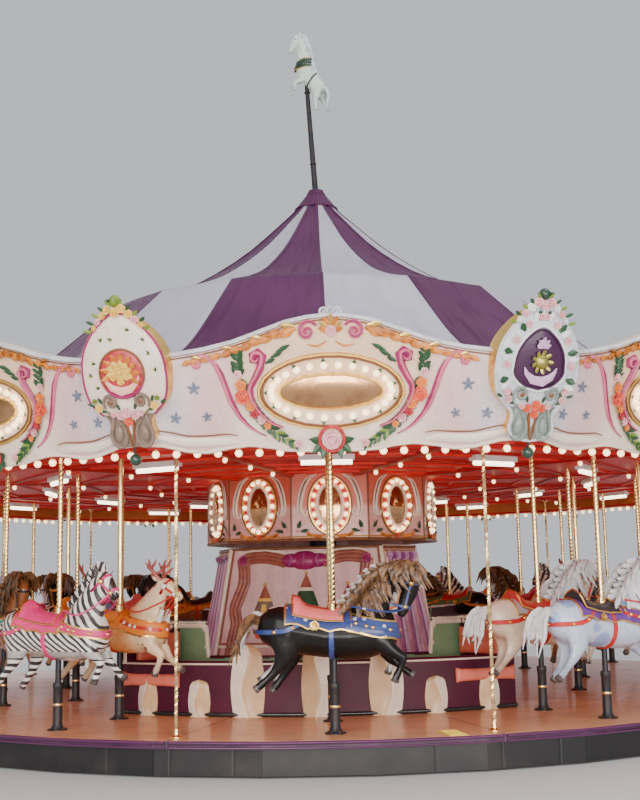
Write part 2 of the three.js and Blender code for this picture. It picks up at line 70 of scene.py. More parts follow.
# %% Camera
CAMERA_DISTANCE = 12.868
CAMERA_HEIGHT = 1.348
CAMERA_PITCH = 0.155
CAMERA_ROLL = -0.02
CAROUSEL_TURN = math.radians(0.87)
FOCAL_LENGTH = 52.15


def make_camera():
    sine, cosine = math.sin(CAROUSEL_TURN), math.cos(CAROUSEL_TURN)
    level_share = math.cos(CAMERA_PITCH)
    forward = Vector((sine * level_share, cosine * level_share, math.sin(CAMERA_PITCH)))
    right = Vector((cosine, -sine, 0))
    up = right.cross(forward)
    level = math.cos(CAMERA_ROLL) * right + math.sin(CAMERA_ROLL) * up
    tilted = -math.sin(CAMERA_ROLL) * right + math.cos(CAMERA_ROLL) * up
    place = Vector((-CAMERA_DISTANCE * sine, -CAMERA_DISTANCE * cosine, CAMERA_HEIGHT))
    camera = bpy.data.objects.new("photo_camera", bpy.data.cameras.new("photo_camera"))
    camera.data.lens = FOCAL_LENGTH
    camera.data.sensor_width = 36
    camera.data.clip_end = 200
    turn = Matrix((level, tilted, -forward)).transposed()
    camera.matrix_world = Matrix.Translation(place) @ turn.to_4x4()
    bpy.context.scene.collection.objects.link(camera)
    bpy.context.scene.camera = camera
    return camera


camera = make_camera()
print("camera at", [round(v, 2) for v in camera.location], "lens", FOCAL_LENGTH)

# %% [markdown]
# The stage is a plain pale floor under soft light: a wide lamp from the front, a low one that reaches under the
# roof, one from above, one from behind, and a pale sky all round that fills the shadows. The floor is no part of
# the ride.

# %% Floor and soft light
FLOOR_HALF = 30


def stage_floor():
    mesh = bpy.data.meshes.new("stage_floor")
    corners = [(x * FLOOR_HALF, y * FLOOR_HALF, 0) for x, y in ((-1, -1), (1, -1), (1, 1), (-1, 1))]
    mesh.from_pydata(corners, [], [(0, 1, 2, 3)])
    floor = bpy.data.objects.new("stage_floor", mesh)
    bpy.context.scene.collection.objects.link(floor)
    paint = bpy.data.materials.new("stage_paint")
    paint.use_nodes = True
    shader = paint.node_tree.nodes["Principled BSDF"]
    shader.inputs["Base Color"].default_value = (0.62, 0.61, 0.6, 1)
    shader.inputs["Roughness"].default_value = 0.9
    mesh.materials.append(paint)


def soft_lamp(name, place, target, wide, tall, power, colour=(1, 1, 1)):
    lamp = bpy.data.objects.new(name, bpy.data.lights.new(name, "AREA"))
    lamp.data.shape = "RECTANGLE"
    lamp.data.size, lamp.data.size_y = wide, tall
    lamp.data.energy = power
    lamp.data.color = colour
    lamp.location = place
    lamp.rotation_euler = (Vector(target) - Vector(place)).to_track_quat("-Z", "Y").to_euler()
    bpy.context.scene.collection.objects.link(lamp)


def pale_sky(strength):
    world = bpy.data.worlds.new("pale_sky")
    bpy.context.scene.world = world
    world.use_nodes = True
    sky = world.node_tree.nodes["Background"]
    sky.inputs["Color"].default_value = (0.86, 0.89, 0.95, 1)
    sky.inputs["Strength"].default_value = strength


stage_floor()
soft_lamp("front_lamp", (-5, -17, 6), (0, 0, 2), 9, 9, 1400, (1.0, 0.97, 0.93))
soft_lamp("low_lamp", (3, -16, 1.5), (0, 0, 2.8), 14, 2.6, 1300, (1.0, 0.95, 0.9))
soft_lamp("top_lamp", (6, -6, 16), (0, 0, 3), 10, 10, 900)
soft_lamp("back_lamp", (-8, 14, 9), (0, 0, 3), 9, 9, 700)
pale_sky(0.75)
print("a floor and four soft lamps under a pale sky")

# %% [markdown]
# Nearly everything on a carousel is carved and then painted, so we write two small tool boxes first. A Carving
# gathers points and faces, each face with the number of its finish, and turns them into one mesh. hang() makes an
# object of a mesh and lets it ride on a body, so that one carved rounding board can be hung twelve times.

# %% A carving
SHARP_ANGLE = math.radians(50)
SECTORS = 12
SECTOR = 360 // SECTORS


class Carving:
    def __init__(self):
        self.points, self.faces, self.paints = [], [], []

    def add(self, points, faces, paint=0):
        """Take in a shape. Its paint is one number for all faces, or a list with a number for each."""
        start = len(self.points)
        self.points.extend(tuple(p) for p in points)
        self.faces.extend(tuple(start + i for i in face) for face in faces)
        self.paints.extend(paint if isinstance(paint, list) else [paint] * len(faces))
        return self

    def merge(self, other, place=None):
        points = [place @ Vector(p) for p in other.points] if place is not None else other.points
        return self.add(points, other.faces, other.paints)

    def mesh(self, name, finishes, sharp=SHARP_ANGLE):
        made = bpy.data.meshes.new(name)
        made.from_pydata(self.points, [], self.faces)
        for finish in finishes:
            made.materials.append(finish)
        made.polygons.foreach_set("material_index", self.paints)
        made.polygons.foreach_set("use_smooth", [True] * len(self.faces))
        made.update()
        made.set_sharp_from_angle(angle=sharp)
        return made


def triangles(mesh):
    return sum(len(p.vertices) - 2 for p in mesh.polygons)


def hang(name, mesh, body, place=None):
    piece = bpy.data.objects.new(name, mesh)
    bpy.context.scene.collection.objects.link(piece)
    if place is not None:
        piece.matrix_world = place
    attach(piece, body)
    return piece


print("a carving becomes one mesh, sharp above", round(math.degrees(SHARP_ANGLE)), "degrees")

# %% Places round the mast
def turned(angle):
    return Matrix.Rotation(math.radians(angle), 4, "Z")


def out_at(angle, radius):
    """A place on the ground plan: so far out from the mast, turned by an angle in degrees."""
    return turned(angle) @ Matrix.Translation((0, -radius, 0))


def spot(radius, angle, z):
    return Vector((radius * math.sin(math.radians(angle)), -radius * math.cos(math.radians(angle)), z))


print(SECTORS, "sectors of", SECTOR, "degrees")

# %% [markdown]
# The second tool box holds the carver's basic cuts: a tube along a path, a dome, a leaf, a rose, and a smooth line
# through given points. A tube's frame is carried along the path without twisting, and it can be flattened, which
# turns a rope into a moulding. Most cuts are stacks of rings or grids of points, so their faces come from a few
# functions.

# %% Faces between rings and over grids
def ring_faces(rings, sides, closed=False):
    """Four-sided faces between rings of points that follow one another, and back to the first when closed."""
    faces = []
    for i in range(rings if closed else rings - 1):
        low, high = i * sides, (i + 1) % rings * sides
        faces += [(low + k, low + (k + 1) % sides, high + (k + 1) % sides, high + k) for k in range(sides)]
    return faces


def cap_faces(rings, sides):
    """The two ends of a stack of rings."""
    return [tuple(range(sides - 1, -1, -1)), tuple((rings - 1) * sides + k for k in range(sides))]


def grid_faces(rows, columns):
    wide = columns + 1
    return [(a, a + 1, a + 1 + wide, a + wide) for j in range(rows) for a in range(j * wide, j * wide + columns)]


def grid_rim(rows, columns):
    """The points on the border of a grid, once round."""
    wide = columns + 1
    rim = [*range(wide)] + [j * wide + columns for j in range(1, rows + 1)]
    rim += range(rows * wide + columns - 1, rows * wide - 1, -1)
    return rim + [j * wide for j in range(rows - 1, 0, -1)]


def wall_faces(rim, under):
    """A wall from the border of a grid down to the points that start at number under."""
    count = len(rim)
    return [(rim[(k + 1) % count], rim[k], under + k, under + (k + 1) % count) for k in range(count)]


print("a tube of 2 rings of 4 points:", ring_faces(2, 4))

# %% Smooth lines and rings
def smooth(points, steps=6):
    """A rounded line through all the given points."""
    found = [Vector(p) for p in points]
    line = []
    for i in range(len(found) - 1):
        b, c = found[i], found[i + 1]
        a = found[i - 1] if i else 2 * b - c
        d = found[i + 2] if i + 2 < len(found) else 2 * c - b
        for k in range(steps):
            t = k / steps
            square, cube = (2 * a - 5 * b + 4 * c - d), (3 * b - a - 3 * c + d)
            line.append(0.5 * (2 * b + (c - a) * t + square * t * t + cube * t**3))
    return line + found[-1:]


def flat_line(points, steps):
    return smooth([(x, y, 0) for x, y in points], steps)


def fade(values, count):
    return [float(v) for v in np.interp(np.linspace(0, 1, count), np.linspace(0, 1, len(values)), values)]


def round_angles(count):
    return [2 * math.pi * k / count for k in range(count)]


def fan_way(angle):
    """A direction in the plane of a board, by its angle in radians."""
    return Vector((math.cos(angle), math.sin(angle), 0))


def axes_of(outward):
    """The outward direction and two more that are square to it."""
    outward = Vector(outward).normalized()
    side = outward.orthogonal().normalized()
    return outward, side, outward.cross(side)


def ways_along(path, closed=False):
    last = len(path) - 1
    if closed:
        return [(path[(i + 1) % (last + 1)] - path[i - 1]).normalized() for i in range(last + 1)]
    return [(path[min(i + 1, last)] - path[max(i - 1, 0)]).normalized() for i in range(last + 1)]


print("3 places make a smooth line of", len(smooth([(0, 0, 0), (1, 1, 0), (2, 0, 0)])))

# %% Tubes and domes
THINNEST = 0.004


def needed(path, radii, slack):
    """The places in a path that a tube can't do without, when it may stray by a share of its radius."""
    kept, last = [0], len(path) - 1
    while kept[-1] < last:
        start = end = kept[-1]
        good = True
        while good and end < last:
            end += 1
            span = path[end] - path[start]
            for i in range(start + 1, end):
                share = (path[i] - path[start]).dot(span) / max(span.length_squared, 1e-12)
                stray = (path[start] + span * share - path[i]).length
                swell = abs(radii[start] + (radii[end] - radii[start]) * share - radii[i])
                good = good and 0 < share < 1 and max(stray, swell) < slack * max(radii[i], THINNEST)
        kept.append(end if good else end - 1)
    return kept


def tube(path, radius, sides=8, flat=1.0, closed=False, normal=None, slack=0.13):
    """A tube along a path. A list of radii is spread over the path, and flat squeezes the tube along the normal."""
    path = [Vector(p) for p in path]
    count = len(path)
    radii = fade(radius, count) if isinstance(radius, (list, tuple)) else [radius] * count
    ways = ways_along(path, closed)
    if closed:
        kept = needed(path + path[:1], radii + radii[:1], slack)[:-1]
    else:
        kept = needed(path, radii, slack)
    side = ways[0].orthogonal()
    points = []
    for i, (centre, along) in enumerate(zip(path, ways)):
        if normal is not None:
            side = Vector(normal)
        side = (side - along * side.dot(along)).normalized()
        across = along.cross(side)
        for k in range(sides if i in kept else 0):
            turn = 2 * math.pi * (k + 0.5) / sides
            points.append(centre + radii[i] * (flat * math.cos(turn) * side + math.sin(turn) * across))
    faces = ring_faces(len(kept), sides, closed)
    return points, faces if closed else faces + cap_faces(len(kept), sides)


def dome(centre, outward, radius, height, rings=3, sides=8, round_back=False):
    """Half a ball on its flat side, or a whole one with round_back, stretched to the height."""
    outward, side, across = axes_of(outward)
    centre = Vector(centre)
    levels = range(1 - rings if round_back else 0, rings)
    points = []
    for level in levels:
        angle = math.pi / 2 * level / rings
        out, wide = height * math.sin(angle), radius * math.cos(angle)
        for turn in round_angles(sides):
            points.append(centre + outward * out + wide * (math.cos(turn) * side + math.sin(turn) * across))
    faces = ring_faces(len(levels), sides)
    last, top = (len(levels) - 1) * sides, len(points)
    points.append(centre + outward * height)
    faces.extend((last + k, last + (k + 1) % sides, top) for k in range(sides))
    if round_back:
        points.append(centre - outward * height)
        return points, faces + [((k + 1) % sides, k, top + 1) for k in range(sides)]
    return points, faces + [tuple(range(sides - 1, -1, -1))]


print("a dome has", len(dome((0, 0, 0), (0, 0, 1), 1, 1)[1]), "faces")

# %% Leaves and roses
LEAF_SECTION = ((-1, -0.05), (-0.5, 0.08), (0, 0.12), (0.5, 0.08), (1, -0.05))


def leaf(base, along, outward, length, width, curl=0.25, lobes=3, thick=0.004, steps=7):
    """A carved leaf: a raised midrib, scalloped edges, and a tip that curls away from the ground."""
    base, along, outward = Vector(base), Vector(along).normalized(), Vector(outward).normalized()
    across = along.cross(outward).normalized()
    points, faces = [], []
    for i in range(steps):
        t = i / steps
        scallop = 1 + 0.22 * math.cos(2 * math.pi * lobes * t)
        wide = width * 0.5 * math.sin(math.pi * (t * 0.92 + 0.08)) ** 0.7 * scallop
        centre = base + along * (length * t * (1 - 0.25 * curl * t)) + outward * (length * curl * t * t + thick)
        for share, rise in LEAF_SECTION:
            rib = rise if share else rise * (1 - t)
            points.append(centre + across * (wide * share) + outward * (width * rib))
    points.append(base + along * (length * (1 - 0.25 * curl)) + outward * (length * curl + thick))
    for i in range(steps - 1):
        faces += [(i * 5 + k, i * 5 + k + 1, i * 5 + k + 6, i * 5 + k + 5) for k in range(4)]
        faces.append((i * 5 + 5, i * 5 + 9, i * 5 + 4, i * 5))
    last, tip = steps * 5 - 5, steps * 5
    faces += [(last + k, last + k + 1, tip) for k in range(4)]
    return points, faces + [(tip, last + 4, last), (4, 3, 2, 1, 0)]


SMALL_ROSE, ROSE, FULL_ROSE = (5, 4), (5, 4, 3), (6, 5, 3)


def rose(centre, outward, radius, petals=FULL_ROSE, turn=0.0):
    """A painted rose: rings of cupped petals, each ring steeper than the one round it, about a bud."""
    centre = Vector(centre)
    outward, side, across = axes_of(outward)
    work = Carving()
    for ring, count in enumerate(petals):
        near, far = radius * (0.5 - 0.17 * ring), radius * (1.0 - 0.3 * ring)
        low, high = radius * (0.08 + 0.22 * ring), radius * (0.38 + 0.2 * ring)
        for petal in range(count):
            middle = 2 * math.pi * (petal + 0.5 * (ring % 2)) / count + turn
            half = math.pi / count * 1.12
            points = []
            for row in range(3):
                t = row / 2
                reach = near + (far - near) * t
                rise = low + (high - low) * math.sin(math.pi / 2 * t) - (0.1 * radius if row == 2 else 0)
                for k in range(4):
                    s = k / 3 * 2 - 1
                    angle = middle + half * s * (0.7 + 0.3 * t)
                    cup = outward * (rise + 0.06 * radius * s * s)
                    way = math.cos(angle) * side + math.sin(angle) * across
                    points.append(centre + cup + reach * (1 - 0.16 * s * s * t) * way)
            work.add(points, grid_faces(2, 3))
    work.add(*dome(centre, outward, radius * 0.3, radius * 0.72, 2, 6))
    work.add(*dome(centre, outward, radius * 0.62, radius * 0.3, 1, 7))
    return work.points, work.faces


print("the carver's cuts are ready: tube, dome, leaf, rose")

# %% [markdown]
# Paint that has travelled from fair to fair is never one flat colour. Four effects are used again and again, so
# each is a shader node group with named sockets: aged paint, metal patina, cloth weave and wood grain. They put
# out colours, masks and heights only; the shader itself stays in each material, where an exporter can read it.

# %% Wiring helpers
class Wiring:
    def __init__(self, tree):
        self.tree = tree

    def node(self, kind, values=None, **settings):
        made = self.tree.nodes.new(kind)
        for key, value in settings.items():
            setattr(made, key, value)
        for key, value in (values or {}).items():
            self.feed(made.inputs[key], value)
        return made

    def feed(self, socket, value):
        if isinstance(value, bpy.types.NodeSocket):
            self.tree.links.new(value, socket)
        elif socket.type == "RGBA" and len(value) == 3:
            socket.default_value = (*value, 1)
        else:
            socket.default_value = value

    def math(self, operation, a, b=0.0, clamp=False):
        return self.node("ShaderNodeMath", {0: a, 1: b}, operation=operation, use_clamp=clamp).outputs[0]

    def mix(self, share, a, b):
        return self.node("ShaderNodeMix", {0: share, 6: a, 7: b}, data_type="RGBA").outputs[2]

    def shade(self, a, b):
        made = self.node("ShaderNodeMix", {0: 1.0, 6: a, 7: b}, data_type="RGBA", blend_type="MULTIPLY")
        return made.outputs[2]

    def ramp(self, value, low, high, to_low=0.0, to_high=1.0):
        names = {"Value": value, "From Min": low, "From Max": high, "To Min": to_low, "To Max": to_high}
        return self.node("ShaderNodeMapRange", names, interpolation_type="SMOOTHSTEP").outputs[0]

    def noise(self, place, scale, detail=3.0, roughness=0.55):
        names = {"Vector": place, "Scale": scale, "Detail": detail, "Roughness": roughness}
        return self.node("ShaderNodeTexNoise", names).outputs["Fac"]

    def cells(self, place, scale, randomness=1.0):
        names = {"Vector": place, "Scale": scale, "Randomness": randomness}
        return self.node("ShaderNodeTexVoronoi", names).outputs["Distance"]

    def parts(self, vector):
        return self.node("ShaderNodeSeparateXYZ", {0: vector}).outputs


def new_group(name, inputs, outputs):
    group = bpy.data.node_groups.new(name, "ShaderNodeTree")
    kinds = {"float": "NodeSocketFloat", "colour": "NodeSocketColor", "vector": "NodeSocketVector"}
    for socket, (kind, value) in inputs.items():
        made = group.interface.new_socket(name=socket, in_out="INPUT", socket_type=kinds[kind])
        if value is not None:
            made.default_value = value
    for socket, kind in outputs.items():
        group.interface.new_socket(name=socket, in_out="OUTPUT", socket_type=kinds[kind])
    wires = Wiring(group)
    return group, wires, wires.node("NodeGroupInput").outputs, wires.node("NodeGroupOutput").inputs


print("shader nodes can now be wired in short lines")

# %% Aged paint
def make_aged_paint():
    group, w, give, take = new_group(
        "aged_paint",
        {
            "Place": ("vector", None),
            "Colour": ("colour", (0.8, 0.8, 0.8, 1)),
            "Shade Colour": ("colour", (0.4, 0.4, 0.4, 1)),
            "Scale": ("float", 8.0),
            "Shading": ("float", 0.4),
            "Wear": ("float", 0.2),
            "Grime": ("float", 0.25),
        },
        {"Colour": "colour", "Roughness": "float", "Height": "float", "Chips": "float"},
    )
    broad = w.noise(give["Place"], give["Scale"], 4)
    fine = w.noise(give["Place"], w.math("MULTIPLY", give["Scale"], 7.0), 5, 0.65)
    shading = w.math("MULTIPLY", w.ramp(broad, 0.36, 0.66), give["Shading"])
    body = w.mix(shading, give["Colour"], give["Shade Colour"])
    speck = w.ramp(fine, 0.3, 0.75, 0.93, 1.06)
    body = w.shade(body, w.node("ShaderNodeCombineColor", {0: speck, 1: speck, 2: speck}).outputs[0])
    edge = w.math("SUBTRACT", 0.86, w.math("MULTIPLY", give["Wear"], 0.26))
    chips = w.ramp(fine, edge, w.math("ADD", edge, 0.03))
    worn = w.mix(w.math("MULTIPLY", chips, 0.7), body, (0.33, 0.26, 0.2))
    dirt = w.math("MULTIPLY", w.ramp(w.noise(give["Place"], 2.3, 5, 0.6), 0.45, 0.8), give["Grime"])
    w.feed(take["Colour"], w.mix(w.math("MULTIPLY", dirt, 0.55), worn, (0.14, 0.1, 0.07)))
    rough = w.math("ADD", w.ramp(fine, 0.2, 0.8, -0.05, 0.09), w.math("MULTIPLY", chips, 0.3))
    w.feed(take["Roughness"], w.math("ADD", rough, w.math("MULTIPLY", dirt, 0.25)))
    stretched = w.node("ShaderNodeMapping", {"Vector": give["Place"], "Scale": (60, 60, 11)})
    strokes = w.noise(stretched.outputs[0], 1.0, 3)
    height = w.math("ADD", w.math("MULTIPLY", strokes, 0.35), w.math("MULTIPLY", fine, 0.3))
    w.feed(take["Height"], w.math("SUBTRACT", height, w.math("MULTIPLY", chips, 0.5)))
    w.feed(take["Chips"], chips)
    return group


print("recipe ready: aged paint")

# %% Metal patina
def make_patina():
    group, w, give, take = new_group(
        "metal_patina",
        {
            "Place": ("vector", None),
            "Colour": ("colour", (0.8, 0.6, 0.25, 1)),
            "Tarnish Colour": ("colour", (0.25, 0.14, 0.05, 1)),
            "Scale": ("float", 12.0),
            "Tarnish": ("float", 0.3),
        },
        {"Colour": "colour", "Roughness": "float", "Height": "float"},
    )
    cloud = w.noise(give["Place"], give["Scale"], 5, 0.62)
    fine = w.noise(give["Place"], w.math("MULTIPLY", give["Scale"], 9.0), 3)
    stain = w.math("MULTIPLY", w.ramp(cloud, 0.42, 0.7), give["Tarnish"])
    w.feed(take["Colour"], w.mix(stain, give["Colour"], give["Tarnish Colour"]))
    w.feed(take["Roughness"], w.math("ADD", w.math("MULTIPLY", stain, 0.35), w.ramp(fine, 0.3, 0.7, 0.0, 0.09)))
    w.feed(take["Height"], w.math("ADD", w.math("MULTIPLY", fine, 0.4), w.math("MULTIPLY", cloud, 0.4)))
    return group


print("recipe ready: metal patina")

# %% Cloth weave
def make_weave():
    group, w, give, take = new_group(
        "cloth_weave",
        {"Across": ("float", 0.0), "Along": ("float", 0.0), "Threads": ("float", 300.0)},
        {"Mask": "float", "Height": "float"},
    )
    turns = w.math("MULTIPLY", give["Threads"], 2 * math.pi)
    warp = w.math("SINE", w.math("MULTIPLY", give["Across"], turns))
    weft = w.math("SINE", w.math("MULTIPLY", give["Along"], turns))
    over = w.math("MULTIPLY", warp, weft)
    w.feed(take["Mask"], w.ramp(over, -0.8, 0.8))
    w.feed(take["Height"], w.math("ADD", w.math("MULTIPLY", over, 0.5), w.math("MULTIPLY", warp, 0.2)))
    return group


print("recipe ready: cloth weave")

# %% Wood grain
def make_grain():
    group, w, give, take = new_group(
        "wood_grain",
        {"Along": ("float", 0.0), "Across": ("float", 0.0), "Plank": ("float", 0.0), "Scale": ("float", 1.0)},
        {"Mask": "float", "Height": "float", "Tone": "float"},
    )
    shifted = w.math("ADD", give["Along"], w.math("MULTIPLY", give["Plank"], 3.71))
    place = w.node(
        "ShaderNodeCombineXYZ",
        {0: w.math("MULTIPLY", shifted, 2.2), 1: w.math("MULTIPLY", give["Across"], 46.0), 2: give["Plank"]},
    ).outputs[0]
    fibres = w.noise(place, give["Scale"], 6, 0.62)
    w.feed(take["Mask"], w.ramp(fibres, 0.32, 0.68))
    w.feed(take["Height"], fibres)
    tone = w.node("ShaderNodeTexWhiteNoise", {"W": give["Plank"]}, noise_dimensions="1D").outputs["Value"]
    w.feed(take["Tone"], tone)
    return group


AGED_PAINT = make_aged_paint()
PATINA = make_patina()
WEAVE = make_weave()
GRAIN = make_grain()
print("shader groups:", [g.name for g in (AGED_PAINT, PATINA, WEAVE, GRAIN)])

# %% [markdown]
# Two makers of finishes follow. enamel() is sign painter's gloss on carved wood or fibreglass: the aged paint
# group feeds colour, roughness and bump, and a clear coat goes on top. metal() is leaf, brass or steel with
# patina. Lamp glass is enamel with a warm glow, because a carousel's bulbs are always lit.

# %% Enamel and metal
COAT_ROUGHNESS = 0.12
PAINT_RELIEF, PAINT_DEPTH = 0.35, 0.002


def new_finish(name, roughness, metallic=0.0, coat=0.0, specular=0.5):
    made = bpy.data.materials.new(name)
    made.use_nodes = True
    shader = made.node_tree.nodes["Principled BSDF"]
    settings = {"Roughness": roughness, "Metallic": metallic, "Coat Weight": coat}
    settings.update({"Coat Roughness": COAT_ROUGHNESS, "Specular IOR Level": specular})
    for key, value in settings.items():
        shader.inputs[key].default_value = value
    return made, Wiring(made.node_tree), shader


def place_of(w):
    return w.node("ShaderNodeTexCoord").outputs["Object"]


def bump(w, shader, height, strength, distance):
    made = w.node("ShaderNodeBump", {"Height": height, "Strength": strength, "Distance": distance})
    w.feed(shader.inputs["Normal"], made.outputs[0])


def lay(w, shader, group, values, roughness):
    """Feed a shader group and let it drive the colour and the roughness of a finish."""
    made = w.node("ShaderNodeGroup", node_tree=group)
    for key, value in values.items():
        w.feed(made.inputs[key], value)
    w.feed(shader.inputs["Base Color"], made.outputs["Colour"])
    w.feed(shader.inputs["Roughness"], w.math("ADD", made.outputs["Roughness"], roughness, True))
    return made.outputs["Height"]


def paint_over(w, shader, place, colour, shade, roughness, scale, shading, wear, grime):
    values = {"Place": place, "Colour": colour, "Shade Colour": shade, "Scale": scale}
    values.update({"Shading": shading, "Wear": wear, "Grime": grime})
    height = lay(w, shader, AGED_PAINT, values, roughness)
    bump(w, shader, height, PAINT_RELIEF, PAINT_DEPTH)


def darker(colour, share=0.55):
    return tuple(c * share for c in colour)


def enamel(
    name, colour, shade=None, roughness=0.32, coat=0.15, scale=8.0, shading=0.4, wear=0.15, grime=0.2,
    glow=None, specular=0.35,
):
    made, w, shader = new_finish(name, roughness, coat=coat, specular=specular)
    paint_over(w, shader, place_of(w), colour, shade or darker(colour), roughness, scale, shading, wear, grime)
    if glow:
        shader.inputs["Emission Color"].default_value = (*glow[0], 1)
        shader.inputs["Emission Strength"].default_value = glow[1]
    return made


def metal(name, colour, tarnish_colour, roughness=0.22, tarnish=0.35, scale=14.0, metallic=1.0):
    made, w, shader = new_finish(name, roughness, metallic)
    values = {"Place": place_of(w), "Colour": colour, "Tarnish Colour": tarnish_colour}
    values.update({"Scale": scale, "Tarnish": tarnish})
    bump(w, shader, lay(w, shader, PATINA, values, roughness), 0.25, 0.001)
    return made


print("enamel has a coat roughness of", COAT_ROUGHNESS)

# %% The paint shop
GOLD = metal("gold_leaf", (0.95, 0.62, 0.18), (0.5, 0.2, 0.05), 0.26, 0.45, 22.0)
BRASS = metal("polished_brass", (0.93, 0.68, 0.3), (0.45, 0.27, 0.1), 0.16, 0.3, 10.0)
STEEL = metal("dark_steel_paint", (0.035, 0.036, 0.042), (0.12, 0.07, 0.045), 0.42, 0.4, 9.0, 0.7)
CREAM = enamel("cream_enamel", (0.86, 0.74, 0.6), (0.78, 0.52, 0.4))
WHITE = enamel("white_enamel", (0.84, 0.83, 0.8), (0.62, 0.62, 0.66))
BEAD = enamel("grey_white_bead", (0.66, 0.64, 0.67), (0.36, 0.33, 0.38))
PINK = enamel("pink_enamel", (0.66, 0.15, 0.23), (0.36, 0.03, 0.09), scale=14)
MAGENTA = enamel("magenta_enamel", (0.36, 0.018, 0.12), (0.14, 0.004, 0.05), scale=14)
ROSE_RED = enamel("rose_red", (0.62, 0.04, 0.05), (0.28, 0.01, 0.03), scale=30, shading=0.7)
ROSE_CORAL = enamel("rose_coral", (0.86, 0.13, 0.05), (0.6, 0.04, 0.03), scale=30, shading=0.7)
ROSE_ORANGE = enamel("rose_orange", (0.9, 0.27, 0.045), (0.7, 0.12, 0.02), scale=30, shading=0.7)
ROSE_PINK = enamel("rose_pink", (0.86, 0.5, 0.5), (0.72, 0.2, 0.26), scale=30, shading=0.7)
LEAF_DARK = enamel("dark_green_leaf", (0.022, 0.08, 0.03), (0.01, 0.035, 0.02), scale=20)
LEAF_LIGHT = enamel("light_green_leaf", (0.2, 0.29, 0.025), (0.06, 0.16, 0.02), scale=20)
LEAF_GOLD = enamel("golden_leaf", (0.74, 0.25, 0.03), (0.28, 0.055, 0.006), scale=16, shading=0.75)
STAR_BLUE = enamel("grey_blue_star", (0.16, 0.19, 0.27), (0.07, 0.08, 0.12), scale=20)
LINE_BROWN = enamel("brown_line", (0.24, 0.09, 0.035), (0.1, 0.03, 0.015), scale=20)
BULB_GLOW = ((1.0, 0.72, 0.38), 3.0)
BULB = enamel("lit_bulb", (1.0, 0.86, 0.62), (1.0, 0.8, 0.5), 0.15, 0.5, wear=0, grime=0, glow=BULB_GLOW)
print("paint shop:", len(bpy.data.materials), "finishes so far")

# %% [markdown]
# ## The canopy
# The roof is one sheet sewn from eighteen gores, purple and white in turn. It swoops from the mast head to a hoop,
# drops steeply over it and runs out to the rim. A stretched cloth hangs straight between its seams or a little
# hollow, so each gore is bent inwards between two seams, but it lies round where it rests on the hoop. Each seam
# is a raised flat fell.

# %% Canopy shape
GORES = 18
GORE_STEPS = 8
GORE_ANGLE = 360 // GORES
APEX = (0.074, 5.765)
HOOP_RADIUS, HOOP_HEIGHT = 2.42, 4.17
HOOP_REST = 0.2
SEAM_RISE = 0.004
CANOPY_LINE = [APEX, (0.26, 5.535), (0.48, 5.32), (0.94, 4.905), (1.5, 4.525), (1.96, 4.318),
               (HOOP_RADIUS, HOOP_HEIGHT)]
SKIRT_LINE = [
    (HOOP_RADIUS, HOOP_HEIGHT), (2.76, 3.868), (3.16, 3.515), (3.48, 3.29), (4.12, 2.93), (4.93, 2.5743)
]
PURPLE, PALE = 0, 1


def canopy_rings():
    upper, lower = flat_line(CANOPY_LINE, 5), flat_line(SKIRT_LINE, 5)
    return [(p.x, p.y) for p in upper + lower[1:]]


def canopy_carving():
    rings = canopy_rings()
    around = GORES * GORE_STEPS
    half = math.pi / GORES
    points = []
    for radius, z in rings:
        free = 1 - math.exp(-(((radius - HOOP_RADIUS) / HOOP_REST) ** 2))
        slack = 0.004 + 0.016 * free * min(1.0, radius / HOOP_RADIUS)
        for k in range(around):
            share = (k % GORE_STEPS) / GORE_STEPS
            inner = (share - 0.5) * 2 * half
            chord = 1 + free * (math.cos(half) / math.cos(inner) - 1)
            fell = SEAM_RISE if k % GORE_STEPS == 0 else 0.0
            reach = radius * chord - slack * math.sin(math.pi * share) * 0.6
            drop = slack * math.sin(math.pi * share) * 0.8 - fell
            points.append(spot(reach, k * 360 / around, z - drop))
    paints = [PURPLE if (k // GORE_STEPS) % 2 else PALE for k in range(around)] * (len(rings) - 1)
    return Carving().add(points, ring_faces(len(rings), around), paints)


print("the canopy has", GORES, "gores and", len(canopy_rings()), "rings")

# %% [markdown]
# The cloth is coated canvas. Its weave runs along each gore, the purple has faded where the sun lies on it, and
# rain has left thin runs down the slope. Polar coordinates from the object position drive all of that, so nothing
# here depends on a UV map.

# %% Canopy cloth
def polar(w, place):
    x, y, z = w.parts(place)[:3]
    angle = w.math("ARCTAN2", x, w.math("MULTIPLY", y, -1.0))
    radius = w.math("SQRT", w.math("ADD", w.math("MULTIPLY", x, x), w.math("MULTIPLY", y, y)))
    return angle, radius, z


